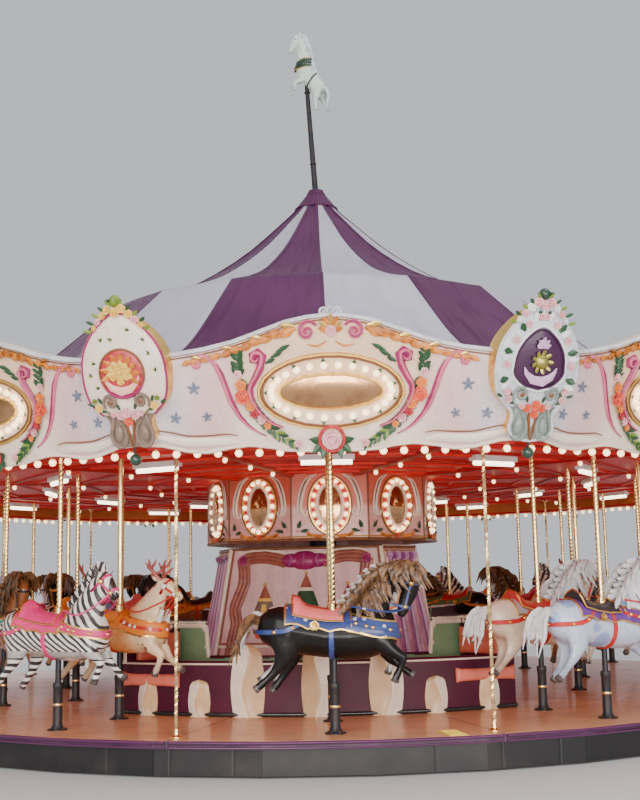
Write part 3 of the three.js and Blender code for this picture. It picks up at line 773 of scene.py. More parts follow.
def canopy_cloth(name, colour, faded):
    made, w, shader = new_finish(name, 0.62, specular=0.35)
    place = place_of(w)
    angle, radius, _ = polar(w, place)
    across = w.math("MULTIPLY", angle, 2.4)
    weave = w.node("ShaderNodeGroup", {"Across": across, "Along": radius, "Threads": 90.0}, node_tree=WEAVE)
    runs = w.node(
        "ShaderNodeCombineXYZ", {0: w.math("MULTIPLY", angle, 9.0), 1: w.math("MULTIPLY", radius, 0.7)}
    )
    streak = w.ramp(w.noise(runs.outputs[0], 3.0, 5), 0.42, 0.75)
    cloud = w.ramp(w.noise(place, 0.9, 4), 0.35, 0.7)
    base = w.mix(w.math("MULTIPLY", cloud, 0.55), colour, faded)
    base = w.mix(w.math("MULTIPLY", streak, 0.3), base, darker(colour, 0.6))
    seam = w.math("ABSOLUTE", w.math("SINE", w.math("MULTIPLY", angle, GORES / 2)))
    fell = w.ramp(w.math("MULTIPLY", seam, radius), 0.0, 0.16, 1.0, 0.0)
    base = w.mix(w.math("MULTIPLY", fell, 0.35), base, darker(colour, 0.55))
    w.feed(shader.inputs["Base Color"], base)
    w.feed(shader.inputs["Roughness"], w.ramp(streak, 0.0, 1.0, 0.55, 0.75))
    bump(w, shader, w.math("ADD", weave.outputs["Height"], w.math("MULTIPLY", fell, 3.0)), 0.25, 0.003)
    return made


CANOPY_PURPLE = canopy_cloth("canopy_purple_cloth", (0.078, 0.011, 0.062), (0.12, 0.028, 0.1))
CANOPY_WHITE = canopy_cloth("canopy_white_cloth", (0.5, 0.475, 0.56), (0.42, 0.385, 0.48))
print("two cloths:", CANOPY_PURPLE.name, "and", CANOPY_WHITE.name)

# %% Hang the canopy
canopy_mesh = canopy_carving().mesh("canopy_cloth", [CANOPY_PURPLE, CANOPY_WHITE], math.radians(30))
canopy_piece = hang("canopy_cloth", canopy_mesh, "turntable")
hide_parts("canopy")

# %% [markdown]
# Seams are two rows of stitching on a flat fell, with a webbing tape under the load. We lay a thin welt along every
# seam, and a collar of doubled canvas at the mast head, where the gores meet.

# %% Seam welts and collar
def seam_welts():
    work = Carving()
    rings = canopy_rings()
    for gore in range(GORES):
        angle = gore * GORE_ANGLE
        line = [spot(r + 0.002, angle, z + 0.001) for r, z in rings[::2] + [rings[-1]]]
        work.add(*tube(line, 0.018, 6, flat=0.22, normal=spot(0.6, angle, 0.8)))
    return work


def level_ring(radius, z, count=24):
    return [spot(radius, k * 360 / count, z) for k in range(count)]


def apex_collar():
    work = Carving()
    for low, high in (((0.2445, 5.572), (0.104, 5.754)), ((0.104, 5.754), (0.086, 5.802))):
        work.add(level_ring(*low) + level_ring(*high), ring_faces(2, 24))
    work.add(*tube(level_ring(0.243, 5.572), 0.009, 6, closed=True))
    return work.add(*tube(level_ring(0.1, 5.752), 0.012, 6, closed=True))


hang("canopy_seams", seam_welts().mesh("canopy_seams", [CANOPY_PURPLE]), "turntable")
hang("canopy_collar", apex_collar().mesh("canopy_collar", [CANOPY_PURPLE]), "turntable")
print("canopy seams and collar sewn")

# %% [markdown]
# ## The rounding boards
# Twelve carved boards hide the sweeps' ends. Each leans out at the top, its upper edge sweeps up to a crown, and
# the face is a show of carver's work: an oval looking glass in a ring of bulbs, volutes, brackets, garlands of
# roses and acanthus leaves in gold. We carve one board flat, with x along the chord and y up the slope, and hang it
# twelve times.

# %% Where a board hangs
BOARD_FOOT, BOARD_FOOT_RADIUS, BOARD_LEAN, BOARD_THICK = 2.245, 5.12, 0.373, 0.04
HALF_SECTOR = math.radians(SECTOR / 2)
BOARD_TILT = math.atan(BOARD_LEAN * math.cos(HALF_SECTOR))
BOARD_GAP = 0.002
SLOPE = 1 / math.cos(BOARD_TILT)


def board_back(rise):
    return (BOARD_FOOT_RADIUS + BOARD_LEAN * rise) * math.cos(HALF_SECTOR) - BOARD_THICK / math.cos(BOARD_TILT)


def board_end(rise):
    return board_back(rise) * math.tan(HALF_SECTOR) - BOARD_GAP


def upright(angle, radius, foot, lean=0.0):
    """Stands a flat carving up: x runs along the chord, y up and z outwards, and a lean tips the top outwards."""
    return out_at(angle, radius) @ Matrix.Translation((0, 0, foot)) @ Matrix.Rotation(math.pi / 2 + lean, 4, "X")


def on_board(x, rise, out=0.0):
    return Vector((x, rise * SLOPE, BOARD_THICK + out + board_bulge(x, rise)))


print("the back of a board is", round(board_back(0), 3), "m from the mast at its foot")

# %% Edges and relief of a board
TOP_EDGE = ([0, 0.1, 0.2, 0.3, 0.42, 0.52, 0.6, 0.68, 0.78, 0.9, 1.06, 1.2, 1.38],
            [0.892, 0.886, 0.872, 0.85, 0.812, 0.775, 0.746, 0.722, 0.698, 0.674, 0.652, 0.645, 0.652])
FOOT_EDGE = ([0, 0.15, 0.3, 0.42, 0.56, 0.7, 0.85, 1.0, 1.15, 1.38],
             [0.0, 0.0, 0.006, 0.03, 0.045, 0.03, 0.0, 0.012, 0.05, 0.062])
BULGE = 0.034
PANEL_ROWS, PANEL_COLUMNS, PANEL_HALF, PANEL_BACK = 6, 48, 1.35, 0.002


def top_of(x):
    return float(np.interp(abs(x), *TOP_EDGE))


def foot_of(x):
    return float(np.interp(abs(x), *FOOT_EDGE))


def board_bulge(x, rise):
    low, high = foot_of(x), top_of(x)
    share = min(1.0, max(0.0, (rise - low) / (high - low)))
    return BULGE * math.sin(math.pi * share) ** 0.8


def board_panel():
    points = []
    for j in range(PANEL_ROWS + 1):
        v = (1 - math.cos(math.pi * j / PANEL_ROWS)) / 2
        for i in range(PANEL_COLUMNS + 1):
            share = i / PANEL_COLUMNS * 2 - 1
            x = share * PANEL_HALF
            rise = foot_of(x) + (top_of(x) - foot_of(x)) * v
            points.append((share * board_end(rise), rise * SLOPE, BOARD_THICK + board_bulge(x, rise)))
    rim, under = grid_rim(PANEL_ROWS, PANEL_COLUMNS), len(points)
    points += [(points[a][0], points[a][1], PANEL_BACK) for a in rim]
    faces = grid_faces(PANEL_ROWS, PANEL_COLUMNS) + wall_faces(rim, under)
    back = tuple(range(under + len(rim) - 1, under - 1, -1))
    return Carving().add(points, faces + [back], [P_GROUND] * len(faces) + [P_BACK])


print("board tilt", round(math.degrees(BOARD_TILT), 2), "degrees, half width", round(board_end(0), 3), "m")

# %% [markdown]
# The ground of a board is painted warm cream in the middle, blended to a dusty pink and then to a cool grey
# beside the shields. All of it is a function of the board's own x and y.

# %% Ground paint of the boards
def board_ground():
    made, w, shader = new_finish("board_ground_paint", 0.34, coat=0.12, specular=0.3)
    place = place_of(w)
    x, y, _ = w.parts(place)[:3]
    side = w.math("ABSOLUTE", x)
    cream = w.mix(w.ramp(y, 0.1, 0.75), (0.88, 0.74, 0.58), (0.82, 0.56, 0.36))
    blend = w.math("ADD", side, w.math("MULTIPLY", w.noise(place, 3.0), 0.12))
    pinkish = w.mix(w.ramp(blend, 0.62, 0.86), cream, (0.72, 0.47, 0.45))
    greyish = w.mix(w.ramp(blend, 0.86, 1.2), pinkish, (0.62, 0.55, 0.6))
    paint_over(w, shader, place, greyish, (0.6, 0.36, 0.3), 0.3, 5.0, 0.22, 0.2, 0.22)
    return made


BOARD_GROUND = board_ground()
BOARD_BACK = enamel(
    "board_back_paint", (0.55, 0.2, 0.06), (0.3, 0.09, 0.03), roughness=0.5, coat=0.0, scale=4
)
MIRROR = metal("looking_glass", (0.6, 0.33, 0.16), (0.22, 0.085, 0.035), 0.05, 0.5, 6.0)
BOARD_PAINTS = [BOARD_GROUND, BOARD_BACK, BEAD, GOLD, MIRROR, BULB, LEAF_DARK, MAGENTA, PINK, LEAF_GOLD]
BOARD_PAINTS += [ROSE_RED, ROSE_CORAL, ROSE_ORANGE, ROSE_PINK, STAR_BLUE, LINE_BROWN, CREAM, LEAF_LIGHT]
(P_GROUND, P_BACK, P_BEAD, P_GOLD, P_MIRROR, P_BULB, P_LEAF, P_MAGENTA, P_PINK, P_ACANTHUS,
 P_RED, P_CORAL, P_ORANGE, P_BLUSH, P_STAR, P_BROWN, P_CREAM, P_LIME) = range(len(BOARD_PAINTS))


print(len(BOARD_PAINTS), "finishes for a board")

# %% [markdown]
# Ornament comes in small functions, one for each thing a carver would cut. Every one takes places as (x, rise) on
# the board and lets the bulge of the face lift it. Left and right are mirror images, so most are cut twice.

# %% Mouldings, looking glass and bulbs
OUT = (0, 0, 1)
GLASS = (0, 0.3965)
BULBS = 26


def edge_mouldings(work):
    xs = np.linspace(-1.366, 1.366, 60)
    top = [Vector((x, (top_of(x) - 0.006) * SLOPE, BOARD_THICK + 0.006)) for x in xs]
    work.add(*tube(top, 0.017, 8, flat=1.2, normal=OUT), P_BEAD)
    inner = [on_board(x, top_of(x) - 0.034, 0.004) for x in xs]
    work.add(*tube(inner, 0.0055, 6, normal=OUT), P_BROWN)
    foot = [
        Vector((x, (foot_of(x) + 0.006) * SLOPE, BOARD_THICK + 0.004)) for x in np.linspace(-1.31, 1.31, 90)
    ]
    work.add(*tube(foot, 0.014, 8, normal=OUT), P_CREAM)


def oval(centre, wide, tall, count):
    return [
        (centre[0] + wide * math.cos(turn), centre[1] + tall * math.sin(turn))
        for turn in round_angles(count)
    ]


def oval_glass(work, rings, middle, paint):
    """A shallow glass from rings of points, one inside the other, to a point in the middle."""
    count, last = len(rings[0]), len(rings[0]) * (len(rings) - 1)
    tip = [(last + k, last + (k + 1) % count, last + count) for k in range(count)]
    work.add([p for ring in rings for p in ring] + [middle], ring_faces(len(rings), count) + tip, paint)


def looking_glass(work):
    for wide, tall, radius, paint, lift in ((0.492, 0.242, 0.013, P_GOLD, 0.004),
                                            (0.468, 0.226, 0.008, P_BROWN, 0.006),
                                            (0.352, 0.116, 0.012, P_GOLD, 0.008)):
        ring = [on_board(x, y, lift) for x, y in oval(GLASS, wide, tall, 48)]
        work.add(*tube(ring, radius, 6, closed=True, normal=OUT, slack=0.3), paint)
    rings = [[on_board(x, y, lift) for x, y in oval(GLASS, wide, tall, 36)]
             for wide, tall, lift in ((0.35, 0.114, 0.004), (0.24, 0.078, 0.014), (0.12, 0.04, 0.019))]
    oval_glass(work, rings, on_board(*GLASS, 0.021), P_MIRROR)
    for x, y in oval(GLASS, 0.41, 0.172, BULBS):
        work.add(*dome(on_board(x, y, 0.012), OUT, 0.026, 0.03, 3, 7, True), P_BULB)
        work.add(*dome(on_board(x, y, -0.002), OUT, 0.017, 0.012, 1, 7), P_GOLD)
    for x, y in oval(GLASS, 0.438, 0.2, BULBS)[1::2]:
        rise = y - GLASS[1]
        base = on_board(x * 0.93, GLASS[1] + rise * 0.86, 0.003)
        work.add(*leaf(base, (x, rise * 2, 0), OUT, 0.055, 0.026, 0.2, 2, 0.003, 4), P_LEAF)


print(BULBS, "bulbs round each looking glass")

# %% Volutes, brackets and scrolls
def sided(side, points):
    """The points as they are for the right side, mirrored for the left."""
    return [(side * x, y) for x, y in points]


def strand(work, points, radius, paint, sides=7, flat=0.8, steps=5, lift=0.008):
    line = [on_board(p.x, p.y, lift) for p in flat_line(points, steps)]
    work.add(*tube(line, radius, sides, flat=flat, normal=OUT, slack=0.22), paint)


def curl(centre, radius, end_radius, start_angle, turns, steps=16):
    """A spiral about a centre, in places (x, y)."""
    line = []
    for i in range(steps + 1):
        t = i / steps
        reach = radius * (end_radius / radius) ** t
        angle = math.radians(start_angle) + 2 * math.pi * turns * t
        line.append((centre[0] + reach * math.cos(angle), centre[1] + reach * math.sin(angle)))
    return line


TOP_VOLUTE = curl((0.16, 0.785), 0.074, 0.012, 150, -1.65, 26)
BRACKET_HEAD = curl((0.505, 0.618), 0.046, 0.012, 160, -1.15, 16)[::-1]
BRACKET = [
    (0.47, 0.575), (0.508, 0.5), (0.548, 0.43), (0.535, 0.35), (0.478, 0.262), (0.402, 0.196), (0.33, 0.168)
]
HOOK = curl((0.905, 0.588), 0.036, 0.01, 90, -1.2, 14)[::-1]
HOOK_TAIL = [(0.85, 0.634), (0.8, 0.6), (0.757, 0.53), (0.725, 0.44), (0.692, 0.35), (0.64, 0.255), (0.565, 0.175),
             (0.475, 0.122)]
LIP = [(0.64, 0.07), (0.72, 0.082), (0.84, 0.074), (0.98, 0.075), (1.1, 0.1), (1.22, 0.118)]
KNOB_CURL = curl((1.225, 0.115), 0.034, 0.01, -60, 1.3, 12)
SCROLLS = (
    (TOP_VOLUTE, [0.011, 0.019, 0.019, 0.013, 0.01], P_PINK, 7, 0.8, 2, 0.014),
    (TOP_VOLUTE, [0.005, 0.009, 0.009, 0.006, 0.004], P_MAGENTA, 6, 1.2, 2, 0.024),
    (
        BRACKET_HEAD + BRACKET, [0.01, 0.018, 0.024, 0.027, 0.034, 0.03, 0.02, 0.008], P_MAGENTA, 7, 0.8, 3,
        0.012
    ),
    ([(x + 0.006, y + 0.003) for x, y in BRACKET_HEAD[4:] + BRACKET], [0.005, 0.008, 0.011, 0.012, 0.009, 0.004],
     P_PINK, 6, 1.0, 3, 0.034),
    (HOOK + HOOK_TAIL, [0.01, 0.015, 0.018, 0.018, 0.016, 0.012, 0.006], P_PINK, 7, 0.8, 3, 0.008),
    ([(x - 0.026, y - 0.012) for x, y in HOOK_TAIL[1:]], [0.005, 0.009, 0.009, 0.008, 0.004],
     P_MAGENTA, 6, 0.9, 3, 0.006),
    (LIP, [0.008, 0.03, 0.036, 0.034, 0.03, 0.014], P_CREAM, 8, 0.5, 3, 0.004),
    ([(x, y + 0.045) for x, y in LIP], [0.003, 0.006, 0.006, 0.004], P_BROWN, 6, 1.0, 3, 0.004),
    (KNOB_CURL, [0.013, 0.012, 0.008], P_GOLD, 6, 1.0, 2, 0.01),
)


def scrolls(work):
    for side in (1, -1):
        for line, radius, paint, *cut in SCROLLS:
            strand(work, sided(side, line), radius, paint, *cut)


print(2 * len(SCROLLS), "scrolls on each board")

# %% Leaves, garlands and florets
def acanthus_run(work):
    for side in (1, -1):
        for k in range(11):
            x = 0.235 + 0.07 * k
            y = top_of(x) - 0.058 - 0.012 * (k % 2)
            size = 0.15 - 0.006 * k
            way = (side, -0.14 if k % 2 else -0.47, 0)
            work.add(
                *leaf(on_board(side * x, y, 0.004), way, OUT, size, size * 0.42, 0.3, 3, 0.004, 5),
                P_ACANTHUS
            )
            if k % 3 == 0:
                base = on_board(side * (x + 0.01), y + 0.012, 0.012)
                work.add(
                    *leaf(base, (side, 0.15, 0), OUT, size * 0.75, size * 0.26, 0.35, 2, 0.004, 5), P_GOLD
                )
        for k in range(3):
            base = on_board(side * (0.37 + 0.035 * k), 0.655 - 0.035 * k, 0.003)
            work.add(*leaf(base, (-side, 0.55, 0), OUT, 0.12 - 0.02 * k, 0.03, 0.2, 2, 0.003, 5), P_LEAF)


GARLAND = [(0.634, 0.655), (0.628, 0.56), (0.604, 0.46), (0.565, 0.36), (0.505, 0.26), (0.42, 0.17), (0.32, 0.09),
           (0.225, 0.035)]
FLOWERS = [(0.631, 0.52, 0.03, P_BLUSH, SMALL_ROSE), (0.612, 0.45, 0.04, P_ORANGE, ROSE),
           (0.6, 0.375, 0.056, P_CORAL, FULL_ROSE), (0.548, 0.315, 0.04, P_ORANGE, ROSE),
           (0.525, 0.262, 0.033, P_RED, SMALL_ROSE), (0.478, 0.222, 0.034, P_BLUSH, SMALL_ROSE),
           (0.435, 0.18, 0.026, P_ORANGE, SMALL_ROSE), (0.23, 0.06, 0.03, P_BLUSH, SMALL_ROSE)]
GARLAND_SEED = 4


def garland(work):
    chance = random.Random(GARLAND_SEED)
    line = flat_line(GARLAND, 5)
    for side in (1, -1):
        for k in range(1, len(line) - 1):
            swing = (line[k + 1] - line[k - 1]).normalized()
            share = k / len(line)
            size = 0.067 if share < 0.8 else 0.05
            paint = P_LEAF if share < 0.72 or k % 3 else P_LIME
            for hand in (1, -1):
                out = Vector((-swing.y, swing.x, 0)) * hand * chance.uniform(0.7, 1.1)
                base = line[k] + swing * chance.uniform(-0.01, 0.01)
                way = swing * (-1 if share < 0.25 else 1) + out
                way.x *= side
                place = on_board(side * base.x, base.y, 0.006)
                work.add(*leaf(place, way, OUT, size, size * 0.45, 0.3, 2, 0.003, 3), paint)
        for k, (x, y, radius, paint, petals) in enumerate(FLOWERS):
            work.add(*rose(on_board(side * x, y, 0.014), OUT, radius, petals, k), paint)


def star_floret(work, x, y, size, turn):
    for k in range(5):
        way = fan_way(math.radians(turn + 72 * k))
        work.add(*leaf(on_board(x, y, 0.001), way, OUT, size, size * 0.5, 0.12, 1, 0.003, 3), P_STAR)
    work.add(*dome(on_board(x, y, 0.004), OUT, size * 0.2, size * 0.16, 2, 6), P_STAR)


def crest(work):
    for k in range(7):
        way = fan_way(math.radians(90 + (k - 3) * 26))
        long = 0.135 - 0.013 * abs(k - 3)
        paint = P_GOLD if k % 2 else P_ACANTHUS
        work.add(*leaf(on_board(0, 0.79, 0.01), way, OUT, long, 0.044, 0.3, 2, 0.004, 5), paint)
    work.add(*rose(on_board(0, 0.79, 0.02), OUT, 0.04, ROSE), P_BLUSH)
    for side in (1, -1):
        strand(work, sided(side, curl((0.052, 0.905), 0.034, 0.008, 180, -1.3, 12)), [0.007, 0.009, 0.005],
               P_BEAD, 6, 1, 2, 0.006)
        strand(work, sided(side, [(0.03, 0.72), (0.09, 0.69), (0.16, 0.7)]), [0.003, 0.008, 0.003],
               P_ACANTHUS, 6, 1, 4, 0.006)
    strand(work, [(-0.05, 0.893), (-0.02, 0.91), (0.0, 0.938), (0.02, 0.91), (0.05, 0.893)],
           [0.012, 0.016, 0.013, 0.016, 0.012], P_BEAD, 8, 1.2, 3, -0.03)


def foot_rosette(work):
    for side in (1, -1):
        for k in range(4):
            angle = math.radians(-78 + 62 * k)
            way = (side * math.cos(angle), math.sin(angle) - 0.5, 0)
            work.add(
                *leaf(on_board(side * 0.05, 0.06, 0.006), way, OUT, 0.12, 0.05, 0.25, 2, 0.004, 5), P_LEAF
            )
    ring = [on_board(x, y, 0.02) for x, y in oval((0, 0.085), 0.084, 0.084, 28)]
    work.add(*tube(ring, 0.012, 6, closed=True, normal=OUT), P_RED)
    work.add(*dome(on_board(0, 0.085, 0.0), OUT, 0.084, 0.025, 3, 16), P_CREAM)
    work.add(*rose(on_board(0, 0.085, 0.02), OUT, 0.07, (7, 5, 3)), P_BLUSH)


print(2 * len(FLOWERS), "roses in the garlands of a board")

# %% Hang the twelve boards
def carve_board():
    work = board_panel()
    for cut in (edge_mouldings, looking_glass, scrolls, acanthus_run, garland, crest, foot_rosette):
        cut(work)
    for side in (1, -1):
        for x, y, size, turn in (
            (0.93, 0.43, 0.05, 90), (1.06, 0.24, 0.046, 80), (0.845, 0.245, 0.04, 100)
        ):
            star_floret(work, side * x, y, size, turn)
    return work


board_mesh = carve_board().mesh("rounding_board", BOARD_PAINTS)
for k in range(SECTORS):
    place = upright(SECTOR * k, board_back(0), BOARD_FOOT, BOARD_TILT)
    board = hang(f"board_{k + 1}", board_mesh, "turntable", place)
    if k % 2 == 0:
        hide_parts(f"rounding_boards_{k // 2 + 1}")
print("a board has", triangles(board_mesh), "triangles")

# %% [markdown]
# ## The shields
# A carved shield covers every joint of two boards. It stands proud of the valley behind it, so its gilded side
# wall reaches back to the boards. Two designs take turns: a cream egg with an orange medallion, and a flowered
# border round a plum oval. Below both hangs a dark ball, and on both sits a knob among roses.

# %% The shield's form
SHIELD_TILT = math.atan(BOARD_LEAN)
SHIELD_SLOPE = 1 / math.cos(SHIELD_TILT)
SHIELD_FRONT = 0.048
EGG_MIDDLE = 0.545
FOOT_TOP = 0.265
FOOT_MIDDLE = 0.13
SHIELD_HALF = [(0.0, 0.045), (0.06, 0.052), (0.125, 0.07), (0.165, 0.12), (0.152, 0.18), (0.16, 0.235),
               (0.205, 0.275), (0.268, 0.34), (0.298, 0.43), (0.304, 0.54), (0.288, 0.64), (0.245, 0.73),
               (0.175, 0.815), (0.095, 0.878), (0.04, 0.905), (0.0, 0.912)]
SHRINK = (1.0, 0.985, 0.94, 0.8, 0.6, 0.35)
EDGE_RISE = {1.0: 0.0, 0.985: 0.012}


def both_halves(right):
    return right + [Vector((-p.x, p.y, 0)) for p in right[-2:0:-1]]


def shield_outline():
    return both_halves(flat_line(SHIELD_HALF, 3))


def shield_crown(x, rise):
    if rise <= FOOT_TOP:
        return SHIELD_FRONT + 0.02 * max(0.0, 1 - (x / 0.17) ** 2)
    share = min(1.0, math.hypot(x / 0.306, (rise - EGG_MIDDLE) / 0.34))
    return SHIELD_FRONT + 0.02 + 0.035 * (1 - share * share)


def on_shield(x, rise, out=0.0):
    return Vector((x, rise * SHIELD_SLOPE, shield_crown(x, rise) + out))


def shield_body(egg, foot, wall):
    """Rings shrink from the wall at the back towards a spine, whose two ends close the egg and the foot."""
    outline = shield_outline()
    count, last = len(outline), len(outline) * len(SHRINK)
    heights = [(outline[k].y + outline[(k + 1) % count].y) / 2 for k in range(count)]
    points = [(p.x, p.y * SHIELD_SLOPE, -abs(p.x) * math.tan(HALF_SECTOR) - 0.012) for p in outline]
    for share in SHRINK:
        for p in outline:
            middle = min(max(p.y, FOOT_MIDDLE), EGG_MIDDLE)
            x, y = p.x * share, middle + (p.y - middle) * share
            front = SHIELD_FRONT + EDGE_RISE[share] if share in EDGE_RISE else shield_crown(x, y)
            points.append((x, y * SHIELD_SLOPE, front))
    low, high = len(points), len(points) + 1
    points += [(0, y * SHIELD_SLOPE, shield_crown(0, y)) for y in (FOOT_MIDDLE, EGG_MIDDLE)]
    faces = ring_faces(len(SHRINK) + 1, count)
    paints = [wall] * (2 * count) + [egg if y > FOOT_TOP else foot for y in heights] * (len(SHRINK) - 2)
    upper = [k for k in range(count) if heights[k] > EGG_MIDDLE * 0.6]
    for k in range(count):
        faces.append((last + k, last + (k + 1) % count, high if k in upper else low))
        paints.append(egg if k in upper else foot)
    faces += [(last + upper[0], high, low), (last + (upper[-1] + 1) % count, low, high)]
    return Carving().add(points, faces, paints + [egg, egg])


def oval_dome(work, x, rise, wide, tall, height, paint, out=0.0, lean=0.0):
    points, faces = dome((0, 0, 0), OUT, 1.0, 1.0, 3, 12)
    place = on_shield(x, rise, out)
    turn = Matrix.Rotation(math.radians(lean), 4, "Z")
    shaped = [place + turn @ Vector((p.x * wide, p.y * tall, p.z * height)) for p in points]
    work.add(shaped, faces, paint)


def shield_strand(work, points, radius, paint, lift=0.006, sides=6, flat=0.8, steps=3):
    line = [on_shield(p.x, p.y, lift) for p in flat_line(points, steps)]
    work.add(*tube(line, radius, sides, flat=flat, normal=OUT, slack=0.18), paint)


def arc_points(centre, radius, start, end):
    turns = np.radians(np.linspace(start, end, 14))
    return [(centre[0] + radius * math.cos(t), centre[1] + radius * math.sin(t)) for t in turns]


def shield_ring(work, points, radius, paint):
    work.add(*tube(points, radius, 6, closed=True, normal=OUT), paint)


print("the outline of a shield has", len(shield_outline()), "points")

# %% Colours of the shields
BUTTER = enamel("butter_yellow", (0.9, 0.62, 0.12), (0.7, 0.3, 0.03), scale=26, shading=0.6)
LILAC = enamel("pale_lilac", (0.66, 0.42, 0.62), (0.45, 0.2, 0.42), scale=18)
PLUM = enamel("deep_plum", (0.05, 0.008, 0.05), (0.02, 0.004, 0.02), scale=14)
TAUPE = enamel("grey_brown_scroll", (0.24, 0.17, 0.13), (0.1, 0.06, 0.04), scale=18)
SLATE = enamel("grey_green_scroll", (0.26, 0.3, 0.27), (0.12, 0.14, 0.12), scale=18)
MIST = enamel("misty_blue_white", (0.62, 0.66, 0.7), (0.4, 0.46, 0.5), scale=12)
PEACH = enamel("peach_crescent", (0.88, 0.5, 0.38), (0.75, 0.3, 0.26), scale=12)
KNOB = enamel("dark_green_knob", (0.012, 0.05, 0.03), (0.005, 0.02, 0.012), coat=0.8)
OLIVE = metal("old_gold_green", (0.5, 0.45, 0.12), (0.2, 0.16, 0.04), 0.3, 0.4, 20)
SHIELD_PAINTS = [
    CREAM, GOLD, MAGENTA, BUTTER, LILAC, PLUM, TAUPE, SLATE, MIST, PEACH, KNOB, OLIVE, LEAF_DARK
]
SHIELD_PAINTS += [LEAF_LIGHT, LEAF_GOLD, ROSE_RED, ROSE_CORAL, ROSE_PINK, LINE_BROWN, WHITE, BEAD, STEEL]
(S_CREAM, S_GOLD, S_MAGENTA, S_BUTTER, S_LILAC, S_PLUM, S_TAUPE, S_SLATE, S_MIST, S_PEACH, S_KNOB, S_OLIVE, S_LEAF,
 S_LIME, S_ACANTHUS, S_RED, S_CORAL, S_BLUSH, S_BROWN, S_WHITE, S_BEAD, S_STEEL) = range(len(SHIELD_PAINTS))


print(len(SHIELD_PAINTS), "finishes for a shield")

# %% Parts that both designs share
FOOT_VOLUTE = curl((0.108, 0.352), 0.062, 0.012, -40, 1.6, 20)
FOOT_SCROLL = [(0.155, 0.3), (0.118, 0.25), (0.135, 0.19), (0.152, 0.12), (0.118, 0.06), (0.062, 0.062),
               (0.036, 0.12), (0.05, 0.19), (0.09, 0.235)]
FOOT_LINE = [(0.03, 0.23), (0.018, 0.16), (0.012, 0.09), (0.004, 0.05)]
FOOT_ROSES = ((0.055, 0.262, 0.032), (0.098, 0.275, 0.024), (0.2, 0.318, 0.03), (0.225, 0.365, 0.02))
FOOT_LEAVES = ((0.15, 0.29, 1, 0.3), (0.18, 0.345, 0.4, 1), (0.24, 0.33, 1, 0.5), (0.055, 0.3, 0.3, 1))
TOP_ROSES = ((0.048, 0.935, 0.034), (0.09, 0.9, 0.032), (0.13, 0.862, 0.028), (0.165, 0.825, 0.022))
TOP_LEAVES = (
    (0.03, 0.95, 0.5), (0.075, 0.925, 1.0), (0.12, 0.89, 1.3), (0.165, 0.85, 1.6), (0.19, 0.8, 2.2)
)


def shield_foot(work, scroll, flower, seed):
    chance = random.Random(seed)
    for side in (1, -1):
        shield_strand(
            work, sided(side, FOOT_VOLUTE), [0.008, 0.015, 0.016, 0.013, 0.008], scroll, 0.012, steps=2
        )
        oval_dome(work, side * 0.108, 0.352, 0.03, 0.03, 0.02, S_BROWN, 0.004)
        shield_strand(work, sided(side, FOOT_SCROLL),
                      [0.006, 0.013, 0.015, 0.016, 0.017, 0.014, 0.012, 0.011, 0.006], scroll, 0.008, steps=4)
        oval_dome(work, side * 0.092, 0.14, 0.034, 0.066, 0.026, scroll, 0.002, side * 8)
        shield_strand(work, sided(side, FOOT_LINE), [0.012, 0.01, 0.006, 0.004], S_BROWN, 0.008)
        for k, (x, y, size) in enumerate(FOOT_ROSES):
            work.add(
                *rose(on_shield(side * x, y, 0.016), OUT, size, SMALL_ROSE, chance.uniform(0, 1)), flower[k]
            )
        for x, y, dx, dy in FOOT_LEAVES:
            base = on_shield(side * x, y, 0.006)
            work.add(*leaf(base, (side * dx, dy, 0), OUT, 0.055, 0.026, 0.25, 2, 0.003, 3), S_LEAF)
    work.add(*rose(on_shield(0, 0.285, 0.02), OUT, 0.038, FULL_ROSE, 0.4), flower[4])
    work.add(*rose(on_shield(0, 0.225, 0.018), OUT, 0.034, ROSE), flower[5])
    stem = [(0, 0.05 * SHIELD_SLOPE, 0.052), (0, 0.0, 0.06), (0, -0.022, 0.062)]
    work.add(*tube(stem, [0.012, 0.008, 0.01], 8), S_STEEL)
    work.add(*dome((0, -0.035, 0.066), (0, 1, 0.2), 0.041, 0.041, 4, 12, True), S_KNOB)


def shield_top(work, flower, knob, seed):
    chance = random.Random(seed)
    for side in (1, -1):
        for k, (x, y, size) in enumerate(TOP_ROSES):
            place, way = on_shield(side * x, y, 0.004 if k else 0.014), (side * 0.3, 0.5, 1)
            work.add(*rose(place, way, size, ROSE, chance.uniform(0, 1)), flower[k])
        for k, (x, y, dx) in enumerate(TOP_LEAVES):
            base, paint = on_shield(side * x, y), S_LEAF if k % 2 else S_LIME
            work.add(*leaf(base, (side * dx, 0.9, 0), OUT, 0.06, 0.03, 0.3, 2, 0.003, 3), paint)
    work.add(*rose(on_shield(0, 0.915, 0.01), (0, 0.4, 1), 0.036, FULL_ROSE), flower[4])
    work.add(*dome(on_shield(0, 0.985, -0.014), (0, 1, 0.3), 0.04, 0.042, 4, 12, True), knob)
    for k in range(6):
        turn = math.radians(60 * k)
        base = on_shield(0.022 * math.cos(turn), 0.965 + 0.01 * math.sin(turn), -0.01)
        work.add(
            *leaf(base, (math.cos(turn), 0.7, math.sin(turn)), (0, 0.3, 1), 0.055, 0.026, 0.4, 2, 0.003, 4),
            S_LEAF
        )


def crescent(work, centre, radius, thick, paint, lift):
    widths = [0.004, thick * 0.7, thick, thick * 0.7, 0.004]
    shield_strand(work, arc_points(centre, radius, 195, 345), widths, paint, lift, 8, 0.35)


print(2 * len(TOP_ROSES) + 1, "roses on the top of a shield")

